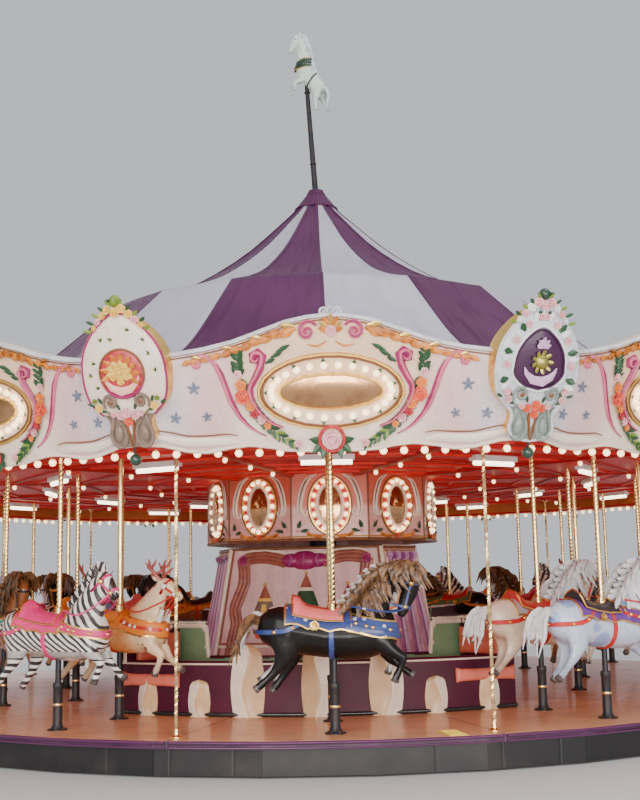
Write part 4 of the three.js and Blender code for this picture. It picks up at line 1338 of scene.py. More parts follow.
# %% The cream shield with the orange medallion
MEDALLION = (0, 0.535)
MEDALLION_RAYS = ((13, 0.085, 0.066, S_ACANTHUS), (11, 0.062, 0.04, S_BUTTER))
MEDALLION_ROSES = ((0, 0.548, 0.05), (-0.048, 0.52, 0.03), (0.048, 0.52, 0.03), (0.0, 0.49, 0.03),
                   (-0.04, 0.58, 0.026), (0.04, 0.58, 0.026))
SPRIGS = ((-0.21, 0.6, 1, 0.3), (-0.225, 0.52, -0.4, 1), (-0.2, 0.44, 1, 0.6), (0.16, 0.74, 1, -0.4),
          (0.21, 0.64, -0.6, 1), (0.06, 0.8, 1, 0.2), (0.235, 0.53, 0.2, 1), (-0.13, 0.74, 0.6, 1),
          (-0.04, 0.75, -1, 0.3))


def cream_shield():
    work = shield_body(S_CREAM, S_TAUPE, S_GOLD)
    rim = [
        Vector((p.x * 0.985, p.y * SHIELD_SLOPE, SHIELD_FRONT + 0.016)) for p in shield_outline()
        if p.y > 0.25
    ]
    start = next(k for k in range(len(rim)) if (rim[k] - rim[k - 1]).length > 0.1)
    work.add(*tube(rim[start:] + rim[:start], 0.009, 6, normal=OUT), S_MAGENTA)
    shield_ring(
        work, [on_shield(x, y, 0.006) for x, y in oval(MEDALLION, 0.158, 0.152, 36)], 0.0085, S_BROWN
    )
    oval_dome(work, *MEDALLION, 0.152, 0.152 * SHIELD_SLOPE, 0.02, S_RED)
    for ring, (count, long, reach, paint) in enumerate(MEDALLION_RAYS):
        for turn in round_angles(count):
            way = fan_way(turn + ring * 0.3)
            if way.y > -0.55:
                base = on_shield(way.x * reach, MEDALLION[1] + way.y * reach, 0.012 + 0.01 * ring)
                work.add(*leaf(base, way, OUT, long, 0.036, 0.25, 2, 0.004, 5), paint)
    for x, y, size in MEDALLION_ROSES:
        work.add(
            *rose(on_shield(x, y, 0.024), OUT, size, FULL_ROSE if size > 0.04 else SMALL_ROSE), S_BUTTER
        )
    crescent(work, (0, 0.55), 0.128, 0.034, S_PEACH, 0.018)
    shield_strand(work, arc_points((0, 0.55), 0.168, 200, 340), [0.003, 0.012, 0.015, 0.012, 0.003], S_MAGENTA,
                  0.01, 6)
    for x, y, dx, dy in SPRIGS:
        work.add(*leaf(on_shield(x, y, 0.002), (dx, dy, 0), OUT, 0.036, 0.018, 0.2, 2, 0.002, 3), S_LEAF)
        work.add(
            *leaf(on_shield(x, y, 0.002), (dx - dy, dy + dx, 0), OUT, 0.028, 0.014, 0.2, 2, 0.002, 3),
            S_LIME
        )
    shield_foot(work, S_TAUPE, [S_BLUSH, S_BLUSH, S_BUTTER, S_LIME, S_BLUSH, S_CORAL], 3)
    shield_top(work, [S_BUTTER, S_BUTTER, S_BLUSH, S_BUTTER, S_BUTTER], S_LIME, 5)
    return work


print(len(SPRIGS), "sprigs round the medallion")

# %% The flowered shield with the plum oval
PLUM_MIDDLE = 0.548
BORDER_COUNT = 15


def flowered_border(work):
    border = flat_line([(x * 0.78, 0.52 + (y - 0.52) * 0.84) for x, y in SHIELD_HALF if y > 0.25], 2)
    for side in (1, -1):
        for k in range(BORDER_COUNT):
            p = border[min(len(border) - 1, round((k + 0.5) * len(border) / BORDER_COUNT))]
            base = on_shield(side * p.x, p.y, 0.004)
            way = Vector((side * p.x, (p.y - PLUM_MIDDLE) * 0.8, 0)).normalized()
            if k % 3 == 1:
                work.add(*rose(base + Vector((0, 0, 0.006)), OUT, 0.028, SMALL_ROSE, k), S_BLUSH)
            else:
                paint = S_WHITE if k % 3 else S_LEAF
                work.add(*leaf(base - way * 0.02, way, OUT, 0.075, 0.045, 0.25, 2, 0.004, 5), paint)


def plum_oval(work):
    inner = [(x * 0.6, PLUM_MIDDLE + (y - 0.545) * 0.62) for x, y in SHIELD_HALF if y > 0.25]
    ring = both_halves(flat_line([(0, 0.384), (0.11, 0.412), *inner[2:]], 3))

    def scaled(share, lift):
        return [on_shield(p.x * share, PLUM_MIDDLE + (p.y - PLUM_MIDDLE) * share, lift) for p in ring]

    oval_glass(work, [scaled(1.0, 0.006), scaled(0.6, 0.014)], on_shield(0, PLUM_MIDDLE, 0.014), S_PLUM)
    shield_ring(work, scaled(1.06, 0.006), 0.011, S_WHITE)
    shield_ring(work, scaled(0.97, 0.012), 0.008, S_PLUM)


def flowered_shield():
    work = shield_body(S_MIST, S_SLATE, S_GOLD)
    rim = [(p.x * 0.98, p.y * SHIELD_SLOPE, SHIELD_FRONT + 0.016) for p in shield_outline()]
    shield_ring(work, rim, 0.012, S_BEAD)
    flowered_border(work)
    plum_oval(work)
    crescent(work, (0, 0.56), 0.122, 0.04, S_LILAC, 0.02)
    for k in range(5):
        way, long = fan_way(math.radians(90 + (k - 2) * 34)), 0.085 - 0.012 * abs(k - 2)
        work.add(*leaf(on_shield(0, 0.655, 0.016), way, OUT, long, 0.036, 0.3, 2, 0.004, 5), S_LILAC)
    for turn in round_angles(9):
        way = fan_way(turn)
        base = on_shield(0.04 * way.x, 0.565 + 0.04 * way.y, 0.02)
        work.add(*leaf(base, way, OUT, 0.045, 0.034, 0.35, 1, 0.004, 4), S_OLIVE)
    oval_dome(work, 0, 0.565, 0.052, 0.052, 0.036, S_OLIVE, 0.018)
    shield_foot(work, S_SLATE, [S_CORAL, S_BLUSH, S_BLUSH, S_BLUSH, S_CORAL, S_CORAL], 7)
    shield_top(work, [S_BLUSH, S_WHITE, S_BLUSH, S_WHITE, S_BLUSH], S_KNOB, 9)
    return work


print(2 * BORDER_COUNT, "leaves and roses in the border")

# %% Hang the twelve shields
shield_meshes = [flowered_shield().mesh("flowered_shield", SHIELD_PAINTS),
                 cream_shield().mesh("cream_shield", SHIELD_PAINTS)]
for k in range(SECTORS):
    place = upright(SECTOR * (k + 0.5), BOARD_FOOT_RADIUS, BOARD_FOOT, SHIELD_TILT)
    piece = hang(f"shield_{k + 1}", shield_meshes[k % 2], "turntable", place)
    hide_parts(f"rounding_boards_{k // 2 + 1}")
print("shields have", [triangles(m) for m in shield_meshes], "triangles")

# %% [markdown]
# ## The animals
# Thirty carved animals jump on brass poles. A carver glues a body up from blocks and rounds the joints away; we do
# the same with lofts: barrel, neck, head, jaw, ears and legs are separate tubes of changing section, and a voxel
# remesh melts them into one skin, which is then smoothed and thinned. Horse, zebra, reindeer and rabbit share the
# method and differ in their stations.

# %% Lofts through stations
def loft(stations, sides=14):
    """Stations are (x, z, half width, half height, y); the section stays square to the line of centres."""
    centres = [Vector((s[0], s[4] if len(s) > 4 else 0.0, s[1])) for s in stations]
    across = Vector((0, 1, 0))
    points = []
    for centre, along, station in zip(centres, ways_along(centres), stations):
        up = along.cross(across).normalized()
        for turn in round_angles(sides):
            points.append(centre + across * (station[2] * math.cos(turn)) + up * (station[3] * math.sin(turn)))
    return points, ring_faces(len(stations), sides) + cap_faces(len(stations), sides)


def mm(rows):
    return [tuple(v / 1000 for v in row) for row in rows]


print("stations are given in millimetres:", mm([(250, 1045)]), "in metres")

# %% Bodies, legs and heads of the four kinds
BARREL = mm([(-548, 1045, 45, 62), (-500, 1035, 102, 122), (-420, 1020, 142, 158), (-320, 1000, 164, 174),
             (-200, 975, 153, 160), (-60, 952, 156, 156), (90, 944, 163, 166), (220, 958, 163, 178),
             (320, 988, 146, 180), (400, 1012, 112, 150), (458, 1030, 62, 96)])
HORSE_NECK = mm([(235, 1045, 102, 168), (284, 1146, 90, 130), (336, 1246, 72, 106), (404, 1340, 60, 82),
                 (474, 1388, 52, 64), (520, 1392, 44, 50)])
HORSE_HEAD = mm([(500, 1398, 46, 50), (546, 1374, 54, 64), (574, 1316, 57, 76), (564, 1250, 48, 64),
                 (540, 1188, 36, 48), (518, 1134, 35, 42), (500, 1096, 32, 35), (492, 1078, 22, 22)])
HORSE_JAW = mm([(548, 1304, 40, 42), (520, 1236, 30, 28), (498, 1170, 24, 22), (482, 1118, 20, 16),
                (476, 1098, 14, 10)])
ZEBRA_NECK = mm([(235, 1045, 104, 172), (290, 1140, 92, 146), (335, 1225, 78, 122), (372, 1300, 66, 100),
                 (398, 1362, 56, 78), (408, 1402, 46, 56)])
ZEBRA_HEAD = mm([(385, 1408, 48, 52), (426, 1394, 56, 74), (470, 1358, 57, 76), (508, 1320, 46, 58),
                 (540, 1286, 37, 45), (562, 1260, 35, 38), (572, 1246, 24, 26)])
ZEBRA_JAW = mm([(462, 1322, 38, 34), (500, 1278, 29, 22), (530, 1246, 24, 17), (542, 1234, 15, 10)])
REINDEER_NECK = mm([(235, 1045, 94, 158), (300, 1120, 80, 134), (352, 1195, 66, 112), (398, 1262, 56, 90),
                    (432, 1318, 48, 68), (446, 1352, 40, 50)])
REINDEER_HEAD = mm([(425, 1358, 42, 46), (466, 1344, 50, 64), (510, 1316, 52, 66), (552, 1286, 42, 52),
                    (592, 1258, 33, 42), (622, 1236, 32, 35), (634, 1226, 24, 25)])
REINDEER_JAW = mm([(505, 1284, 34, 30), (548, 1248, 26, 20), (586, 1220, 22, 15), (602, 1208, 14, 9)])
HIND_BACK = mm([(-355, 1010, 72, 130, 66), (-352, 905, 64, 112, 88), (-350, 825, 50, 84, 92),
                (-392, 752, 33, 50, 92), (-432, 706, 26, 35, 92), (-485, 655, 23, 28, 92),
                (-520, 628, 28, 32, 92), (-546, 606, 27, 30, 92), (-578, 582, 35, 37, 92)])
HIND_FORE = mm([(-340, 1010, 72, 130, 66), (-316, 895, 62, 112, 88), (-302, 812, 48, 80, 92),
                (-328, 740, 33, 49, 92), (-360, 686, 25, 33, 92), (-396, 635, 23, 28, 92),
                (-422, 604, 28, 32, 92), (-438, 586, 27, 30, 92), (-462, 558, 35, 37, 92)])
FORE_TUCK = mm([(300, 1010, 62, 125, 64), (338, 912, 54, 88, 88), (400, 852, 42, 60, 92),
                (468, 810, 33, 43, 92), (500, 792, 33, 39, 92), (486, 744, 24, 28, 92),
                (466, 700, 22, 26, 92), (450, 672, 27, 30, 92), (440, 650, 26, 29, 92),
                (428, 616, 34, 37, 92)])
FORE_REACH = mm([(292, 1010, 62, 125, 64), (330, 905, 53, 88, 88), (382, 832, 41, 56, 92),
                 (426, 768, 33, 41, 92), (470, 735, 24, 28, 92), (512, 700, 22, 26, 92),
                 (538, 682, 27, 30, 92), (554, 668, 26, 29, 92), (588, 648, 34, 37, 92)])
RABBIT_BARREL = mm([(-560, 1015, 40, 50), (-510, 1010, 100, 115), (-420, 990, 150, 168),
                    (-310, 975, 170, 185), (-190, 968, 160, 172), (-50, 955, 150, 155), (90, 945, 148, 155),
                    (220, 958, 144, 160), (320, 990, 126, 156), (385, 1020, 92, 120), (420, 1045, 50, 70)])
RABBIT_NECK = mm([(230, 1045, 92, 145), (300, 1120, 82, 130), (360, 1190, 72, 112), (410, 1250, 66, 92)])
RABBIT_HEAD = mm([(375, 1262, 58, 66), (430, 1282, 76, 88), (490, 1270, 72, 84), (545, 1240, 52, 60),
                  (585, 1216, 36, 40), (600, 1208, 20, 22)])
RABBIT_HIND = mm([(-345, 990, 78, 150, 80), (-300, 880, 70, 130, 104), (-262, 795, 50, 88, 108),
                  (-262, 728, 34, 48, 108), (-330, 692, 28, 34, 108), (-400, 660, 30, 32, 108),
                  (-448, 640, 32, 30, 108)])
RABBIT_FORE = mm([(270, 1000, 56, 115, 60), (320, 890, 46, 76, 80), (382, 822, 34, 48, 84),
                  (424, 800, 30, 36, 84), (470, 760, 26, 30, 84), (516, 722, 32, 32, 84)])


def other_side(stations):
    return [(x, z, wide, tall, -y) for x, z, wide, tall, y in stations]


HOOFED_LEGS = [other_side(HIND_BACK), HIND_FORE, other_side(FORE_TUCK), FORE_REACH]


def shifted(stations, x=0.0, z=0.0, grow=1.0):
    return [(s[0] + x, s[1] + z, s[2] * grow, s[3] * grow, *s[4:]) for s in stations]


def ears(x, z, long, wide, lean, spread):
    return [[(x, z, wide * 0.7, wide * 0.9, side * spread),
             (x - lean * 0.3, z + long * 0.45, wide, wide * 0.55, side * spread * 1.3),
             (x - lean, z + long, wide * 0.25, wide * 0.2, side * spread * 1.5)] for side in (1, -1)]


ANTLER_BEAM = ((0.442, 1.376, 22, 30), (0.405, 1.436, 18, 62), (0.38, 1.491, 15, 92), (0.39, 1.55, 7, 112))
ANTLER_TINES = (
    (0.412, 1.426, 0.085, 0.055, 56), (0.388, 1.478, 0.07, 0.07, 86), (0.398, 1.456, -0.06, 0.07, 74)
)
TINE_LINE = ((0.0, 0.0, 0.013, 1.0), (0.6, 0.4, 0.011, 1.15), (1.0, 1.0, 0.005, 1.2))


def antlers():
    made = []
    for side in (0.001, -0.001):
        made.append([(x, z, thick / 1000, thick / 1000, y * side) for x, z, thick, y in ANTLER_BEAM])
        for x, z, dx, dz, y in ANTLER_TINES:
            made.append([
                (x + dx * a, z + dz * b, thick, thick, y * out * side) for a, b, thick, out in TINE_LINE
            ])
    return made


def body_parts(kind):
    if kind == "rabbit":
        legs = [RABBIT_HIND, other_side(shifted(RABBIT_HIND, 0.025, -0.015))]
        legs += [RABBIT_FORE, other_side(shifted(RABBIT_FORE, -0.04, -0.03))]
        return [
            RABBIT_BARREL, RABBIT_NECK, RABBIT_HEAD, *legs, *ears(0.435, 1.345, 0.19, 0.03, 0.22, 0.045)
        ]
    if kind == "reindeer":
        slim = [shifted(BARREL, grow=0.94), REINDEER_NECK, REINDEER_HEAD, REINDEER_JAW]
        return [*slim, *HOOFED_LEGS, *ears(0.42, 1.376, 0.07, 0.024, 0.05, 0.055)]
    if kind == "zebra":
        return [
            BARREL, ZEBRA_NECK, ZEBRA_HEAD, ZEBRA_JAW, *HOOFED_LEGS,
            *ears(0.4, 1.45, 0.075, 0.027, 0.0, 0.04)
        ]
    return [
        BARREL, HORSE_NECK, HORSE_HEAD, HORSE_JAW, *HOOFED_LEGS,
        *ears(0.532, 1.42, 0.08, 0.02, -0.035, 0.034)
    ]


print(len(BARREL), "stations in a barrel,", len(HORSE_HEAD), "in a head")

# %% Melt the parts into one skin
VOXEL = 0.0125


def melt(name, parts, faces_wanted, voxel=VOXEL, rounds=6):
    """One skin of about so many triangles from closed parts that overlap."""
    work = Carving()
    for part in parts:
        work.add(*loft(part))
    rough = bpy.data.objects.new(name, work.mesh(name, []))
    bpy.context.scene.collection.objects.link(rough)
    remesh = rough.modifiers.new("melt", "REMESH")
    remesh.mode, remesh.voxel_size = "VOXEL", voxel
    easing = rough.modifiers.new("ease", "SMOOTH")
    easing.factor, easing.iterations = 0.5, rounds
    thin = rough.modifiers.new("thin", "DECIMATE")
    bpy.context.view_layer.update()
    count = len(rough.evaluated_get(bpy.context.evaluated_depsgraph_get()).data.polygons)
    thin.ratio = min(1.0, faces_wanted / max(1, 2 * count))
    bpy.context.view_layer.update()
    ready = rough.evaluated_get(bpy.context.evaluated_depsgraph_get())
    skin = Carving()
    skin.add([v.co.copy() for v in ready.data.vertices], [tuple(p.vertices) for p in ready.data.polygons])
    bpy.data.objects.remove(rough)
    return skin


print("stations ready for", len(HIND_BACK), "sections of a hind leg")

# %% [markdown]
# Harness follows the body like real leather. To find it we shoot rays at the finished skin: a blanket is a grid of
# rays towards the line of the back, a girth a ring of rays, a breast strap a fan of rays towards the chest. Each
# strip keeps a small thickness, and mane and tail are bundles of tapering locks.

# %% Rays onto the skin
def skin_tree(skin):
    return BVHTree.FromPolygons([Vector(p) for p in skin.points], skin.faces)


def touch(tree, origin, target, lift):
    direction = (target - origin).normalized()
    hit, normal, _, _ = tree.ray_cast(origin, direction)
    if hit is None:
        return target.copy(), -direction
    if normal.dot(direction) > 0:
        normal = -normal
    return hit + normal * lift, normal


def back_height(x):
    return float(np.interp(x, [r[0] for r in BARREL], [r[1] for r in BARREL]))


def on_flank(tree, x, angle, lift=0.0):
    turn = math.radians(angle)
    axis = Vector((x, 0, back_height(x)))
    origin = axis + Vector((0, math.sin(turn), math.cos(turn))) * 0.6
    return touch(tree, origin, axis, lift)


def blanket(tree, x_range, drop, lift, thickness, columns=12, rows=22, hem=0.0, hump=None):
    """A cloth or seat over the back: columns run along the body, rows over it from one hem to the other."""
    points, inner = [], []
    for j in range(rows + 1):
        v = j / rows * 2 - 1
        for i in range(columns + 1):
            u = i / columns
            x = x_range[0] + (x_range[1] - x_range[0]) * u
            edge = drop * (1 - hem * abs(math.sin(math.pi * 3 * u)))
            tall = thickness + (hump(u, v) if hump else 0)
            hit, normal = on_flank(tree, x, v * edge)
            points.append(hit + normal * (lift + tall))
            if i in (0, columns):
                inner.append(hit - normal * 0.035)
    wide, under = columns + 1, len(points)
    faces = []
    for j in range(rows):
        a, b = j * wide, under + 2 * j
        faces += [(a + i, a + i + wide, a + i + wide + 1, a + i + 1) for i in range(columns)]
        faces += [
            (b + 1, b + 3, b + 2, b), (a + wide, a, b, b + 2),
            (a + columns, a + wide + columns, b + 3, b + 1)
        ]
    faces.append((*range(wide), under + 1, under))
    faces.append((
        *range(rows * wide + columns, rows * wide - 1, -1), under + 2 * rows, under + 2 * rows + 1
    ))
    return points + inner, faces, [points[a] for a in grid_rim(rows, columns)]


print("the line of the back is", round(back_height(0), 3), "m up at the pole")

# %% Harness
(T_COAT, T_HOOF, T_DARK, T_MANE, T_SADDLE, T_BLANKET, T_TRIM, T_STRAP, T_JEWEL, T_EYE) = range(10)
STRAP_LIFT = 0.006
STRAP_SECTION = ((-1, -0.6), (-0.8, 1), (0.8, 1), (1, -0.6))


def ribbon(work, hits, wide, paint, closed=False, thick=0.005):
    """A flat strap along places on the skin, each with its normal."""
    count = len(hits)
    points = []
    for i, (place, normal) in enumerate(hits):
        before = hits[i - 1 if closed or i else 0][0]
        after = hits[(i + 1) % count if closed or i + 1 < count else -1][0]
        across = (after - before).cross(normal).normalized() * wide / 2
        points += [place + across * share + normal * thick * rise for share, rise in STRAP_SECTION]
    faces = [(a, d, c, b) for a, b, c, d in ring_faces(count, 4, closed)]
    ends = [] if closed else [tuple(reversed(face)) for face in cap_faces(count, 4)]
    work.add(points, faces + ends, paint)


def flank_strap(work, tree, stops, wide, paint):
    ribbon(work, [on_flank(tree, p.x, p.y, STRAP_LIFT) for p in flat_line(stops, 3)], wide, paint)


def fan_strap(work, tree, centre_x, heights, angles, wide, paint, lift=STRAP_LIFT, jewels=0):
    hits = []
    for stop in flat_line(zip(angles, heights), 3):
        target = Vector((centre_x, 0, stop.y))
        hits.append(touch(tree, target + fan_way(math.radians(stop.x)) * 0.9, target, lift))
    ribbon(work, hits, wide, paint)
    for k in range(1, jewels + 1):
        place, normal = hits[round(k * (len(hits) - 1) / (jewels + 1))]
        work.add(*dome(place + normal * 0.003, normal, 0.016, 0.012, 2, 7), T_JEWEL)


def head_band(work, tree, x, z, wide, paint, lean):
    """A strap round the head or neck, square to a line that leans forward by this share of its length."""
    along = Vector((lean, 0, -math.sqrt(1 - lean * lean)))
    up = Vector((-along.z, 0, along.x))
    centre = Vector((x, 0, z))
    hits = []
    for turn in round_angles(18):
        direction = Vector((0, math.cos(turn), 0)) + up * math.sin(turn)
        hits.append(touch(tree, centre + direction * 0.25, centre, 0.004))
    ribbon(work, hits, wide, paint, True, 0.004)


def bridle(work, tree, noseband, browband, lean):
    """Two bands square to the face, a cheek strap between them and reins back to the saddle."""
    (nose_x, nose_z), (brow_x, brow_z) = noseband, browband
    head_band(work, tree, nose_x, nose_z, 0.022, T_STRAP, lean)
    head_band(work, tree, brow_x, brow_z, 0.022, T_STRAP, lean)
    shares = (0.0, 0.33, 0.68, 1.0)
    stops = [(nose_x + (brow_x - nose_x) * t, nose_z + (brow_z - nose_z) * t) for t in shares]
    for side in (1, -1):
        hits = [touch(tree, Vector((x, side * 0.3, z)), Vector((x, 0, z)), 0.005) for x, z in stops]
        ribbon(work, hits, 0.018, T_STRAP)
        for (ring, normal), wide, tall in ((hits[0], 0.02, 0.014), (hits[-1], 0.024, 0.016)):
            work.add(*dome(ring, normal, wide, tall, 2, 10), T_JEWEL)
        sag = (nose_x * 0.75 + 0.04, side * 0.115, min(nose_z - 0.03, 1.19))
        rein = [
            (nose_x, side * 0.05, nose_z - 0.01), sag, (0.3, side * 0.15, 1.13), (0.12, side * 0.085, 1.165)
        ]
        work.add(*tube(smooth(rein, 5), 0.007, 5), T_STRAP)


def saddle_hump(u, v):
    middle = max(0.0, 1 - abs(v) * 1.5)
    cantle = math.exp(-(((u - 0.03) / 0.12) ** 2)) * 0.05
    pommel = math.exp(-(((u - 0.98) / 0.1) ** 2)) * 0.022
    return (cantle + pommel) * middle**0.7 + 0.012 * (1 - abs(v))


def saddlery(work, tree, plain=False):
    """The seat lies behind the pole, on a blanket; a broad breast cloth runs on from it round the chest."""
    points, faces, border = blanket(tree, (-0.35, 0.13), 76, 0.004, 0.006, 12, 20, 0.09)
    work.add(points, faces, T_BLANKET)
    work.add(*tube(border, 0.008, 5, closed=True, slack=0.35), T_TRIM)
    points, faces, border = blanket(tree, (-0.3, 0.07), 50, 0.012, 0.012, 12, 14, 0.0, saddle_hump)
    work.add(points, faces, T_SADDLE)
    work.add(*tube(border, 0.007, 5, closed=True, slack=0.35), T_TRIM)
    flank_strap(work, tree, [(-0.02, a) for a in range(48, 320, 24)], 0.04, T_STRAP)
    heights = [1.05, 1.03, 1.0, 0.98, 1.0, 1.03, 1.05]
    angles = [-106, -70, -34, 0, 34, 70, 106]
    broad = 0.06 if plain else 0.12
    fan_strap(work, tree, 0.14, heights, angles, broad, T_BLANKET)
    for rise in (broad / 2, -broad / 2):
        fan_strap(work, tree, 0.14, [z + rise for z in heights], angles, 0.016, T_TRIM, 0.008)
    fan_strap(work, tree, 0.14, heights, angles, 0.03, T_STRAP, 0.012, jewels=9)
    fan_strap(
        work, tree, -0.2, [1.07, 1.0, 0.99, 1.0, 1.07], [95, 135, 180, 225, 265], 0.036, T_STRAP, jewels=5
    )
    if not plain:
        for side in (1, -1):
            hit, normal = on_flank(tree, -0.14, side * 66, 0.014)
            work.add(*rose(hit, normal, 0.036, ROSE), T_TRIM)


print("a strap has", len(STRAP_SECTION), "points across")

# %% Mane, tail and face
LOCK_STEPS = 5


def lock(work, start, drift, long, side, paint, rng, wide, curl=0.012):
    """A tapering lock of carved hair that leaves the crest, swells out to its side and waves once on the way."""
    sway = rng.uniform(-0.015, 0.015)
    start = Vector(start)
    line = [start]
    for k in range(1, LOCK_STEPS + 1):
        t = k / LOCK_STEPS
        wave = math.sin(t * 5.5 + rng.uniform(-0.3, 0.3)) * curl
        swell = side * (0.055 + sway) * math.sin(math.pi * min(1, t * 1.2) / 2)
        line.append(start + Vector((drift[0] * long * t + wave, swell + drift[1] * long * t,
                                    0.02 * math.sin(math.pi * t) + drift[2] * long * t * t)))
    widths = [wide * 0.55, wide, wide * 0.95, wide * 0.6, 0.003]
    work.add(*tube(smooth(line, 2), widths, 5, flat=0.62, normal=(0, 1, 0.2), slack=0.3), paint)


HORSE_CREST = [(0.555, 1.43), (0.512, 1.452), (0.462, 1.452), (0.402, 1.432), (0.346, 1.398), (0.292, 1.35),
               (0.245, 1.3), (0.203, 1.248), (0.166, 1.2), (0.128, 1.158)]
ZEBRA_CREST = [(0.44, 1.468), (0.395, 1.468), (0.352, 1.428), (0.32, 1.388), (0.282, 1.342), (0.228, 1.282),
               (0.17, 1.21), (0.125, 1.165)]


def flowing_mane(work, seed):
    """Two rows of locks part along the crest, sweep forward over the neck and curl; a third row stands above."""
    rng = random.Random(seed)
    line = smooth([(x, 0, z) for x, z in HORSE_CREST], 3)
    for k, p in enumerate(line):
        for side in (1, -1):
            long = 0.23 + 0.05 * math.sin(k * 1.3) + rng.uniform(-0.02, 0.03)
            start = (p.x, side * 0.014, p.z + 0.004)
            drift = (0.5 + rng.uniform(-0.1, 0.3), side * 0.1, -0.62)
            lock(work, start, drift, long, side * 1.3, T_MANE, rng, 0.034, 0.03)
            if k % 2 == 0:
                start, drift = (p.x - 0.02, side * 0.02, p.z), (-0.3, side * 0.12, -0.5)
                lock(work, start, drift, long * 0.75, side * 1.4, T_MANE, rng, 0.034, 0.026)
        if k % 3 == 0:
            rise = (-0.5, 0.0, 0.1) if k > 7 else (-0.2, 0.0, 0.16)
            lock(
                work, (p.x, 0.0, p.z + 0.004), rise, 0.13, rng.choice((1, -1)) * 0.4, T_MANE, rng, 0.032,
                0.026
            )
    for k in range(-2, 3):
        lock(work, (0.545, k * 0.018, 1.43), (0.62, k * 0.14, -0.5), 0.13, 0.0, T_MANE, rng, 0.026)


def flowing_tail(work, seed):
    rng = random.Random(seed)
    for k in range(11):
        y = (k - 5) * 0.0085
        end = (-0.75 + rng.uniform(-0.02, 0.07), 0.8 + rng.uniform(-0.05, 0.11))
        line = [(-0.52, y * 0.6, 1.085 - abs(y)), (-0.6, y * 1.3, 1.085 + rng.uniform(-0.02, 0.02)),
                (-0.672, y * 2.2, 1.0 + rng.uniform(-0.03, 0.03)),
                (-0.7, y * 2.8 + rng.uniform(-0.015, 0.015), 0.9), (end[0], y * 3, end[1])]
        widths = [0.02, 0.024, 0.022, 0.015, 0.003]
        work.add(*tube(smooth(line, 4), widths, 5, flat=0.7, normal=(0, 1, 0), slack=0.2), T_MANE)


def erect_mane(work):
    rng = random.Random(9)
    line = smooth([(x - 0.01, 0, z + 0.004) for x, z in ZEBRA_CREST], 4)
    for k, p in enumerate(line[:-1]):
        along = (line[k + 1] - p).normalized()
        out = Vector((along.z, 0, -along.x))
        out = out if out.z > 0 else -out
        path = [p - out * 0.02, p + out * 0.03, p + out * (0.058 + rng.uniform(-0.006, 0.006))]
        work.add(
            *tube(path, [0.02, 0.016, 0.005], 6, flat=0.8, normal=(0, 1, 0)),
            T_DARK if k % 3 == 1 else T_COAT
        )


def tuft_tail(work, root, tip):
    line = smooth(
        [root, (root[0] - 0.07, 0, root[2] - 0.03), (tip[0] + 0.02, 0, (root[2] + tip[2]) / 2), tip], 4
    )
    work.add(*tube(line, [0.024, 0.018, 0.015, 0.014], 7), T_COAT)
    for k in range(6):
        c, s = math.cos(k * 1.05), math.sin(k * 1.05)
        hair = [
            tip, (tip[0] - 0.02 + 0.012 * c, 0.02 * s, tip[2] - 0.06),
            (tip[0] - 0.03 + 0.02 * c, 0.03 * s, tip[2] - 0.13)
        ]
        work.add(*tube(smooth(hair, 3), [0.014, 0.017, 0.003], 5), T_DARK)


def face(work, tree, eye, nostril, size=1.0):
    (eye_x, eye_z), (nose_x, nose_z) = eye, nostril
    for side in (1, -1):
        hit, normal = touch(tree, Vector((eye_x, side * 0.3, eye_z)), Vector((eye_x, 0, eye_z)), -0.004)
        work.add(*dome(hit, normal, 0.017 * size, 0.013 * size, 3, 10), T_JEWEL)
        work.add(*dome(hit + normal * 0.006, normal, 0.011 * size, 0.011 * size, 2, 8), T_EYE)
        lid = [hit + normal * 0.004 + Vector((math.cos(a), 0, math.sin(a))) * 0.019 * size
               for a in (0.3, 0.9, 1.6, 2.3, 2.9)]
        work.add(*tube(smooth(lid, 2), [0.002, 0.006, 0.002], 5), T_DARK)
        origin, target = Vector((
            nose_x + 0.03, side * 0.2, nose_z + 0.02
        )), Vector((nose_x, side * 0.01, nose_z))
        hit, normal = touch(tree, origin, target, -0.001)
        work.add(*dome(hit, normal, 0.009 * size, 0.003, 1, 8), T_DARK)


def paint_near(work, centres, radius, paint):
    for i, corner in enumerate(work.faces):
        if work.paints[i] == T_COAT:
            middle = sum((Vector(work.points[j]) for j in corner), Vector()) / len(corner)
            if any((middle - c).length < radius for c in centres):
                work.paints[i] = paint


def hooves(legs):
    """The middles of the hooves, a little beyond the last station of each leg."""
    found = []
    for leg in legs:
        (from_x, from_z), (x, z, _, _, y) = leg[-2][:2], leg[-1]
        found.append(Vector((x, y, z)) + Vector((x - from_x, 0, z - from_z)) * 0.3)
    return found


print("crests of", len(HORSE_CREST), "and", len(ZEBRA_CREST), "places")

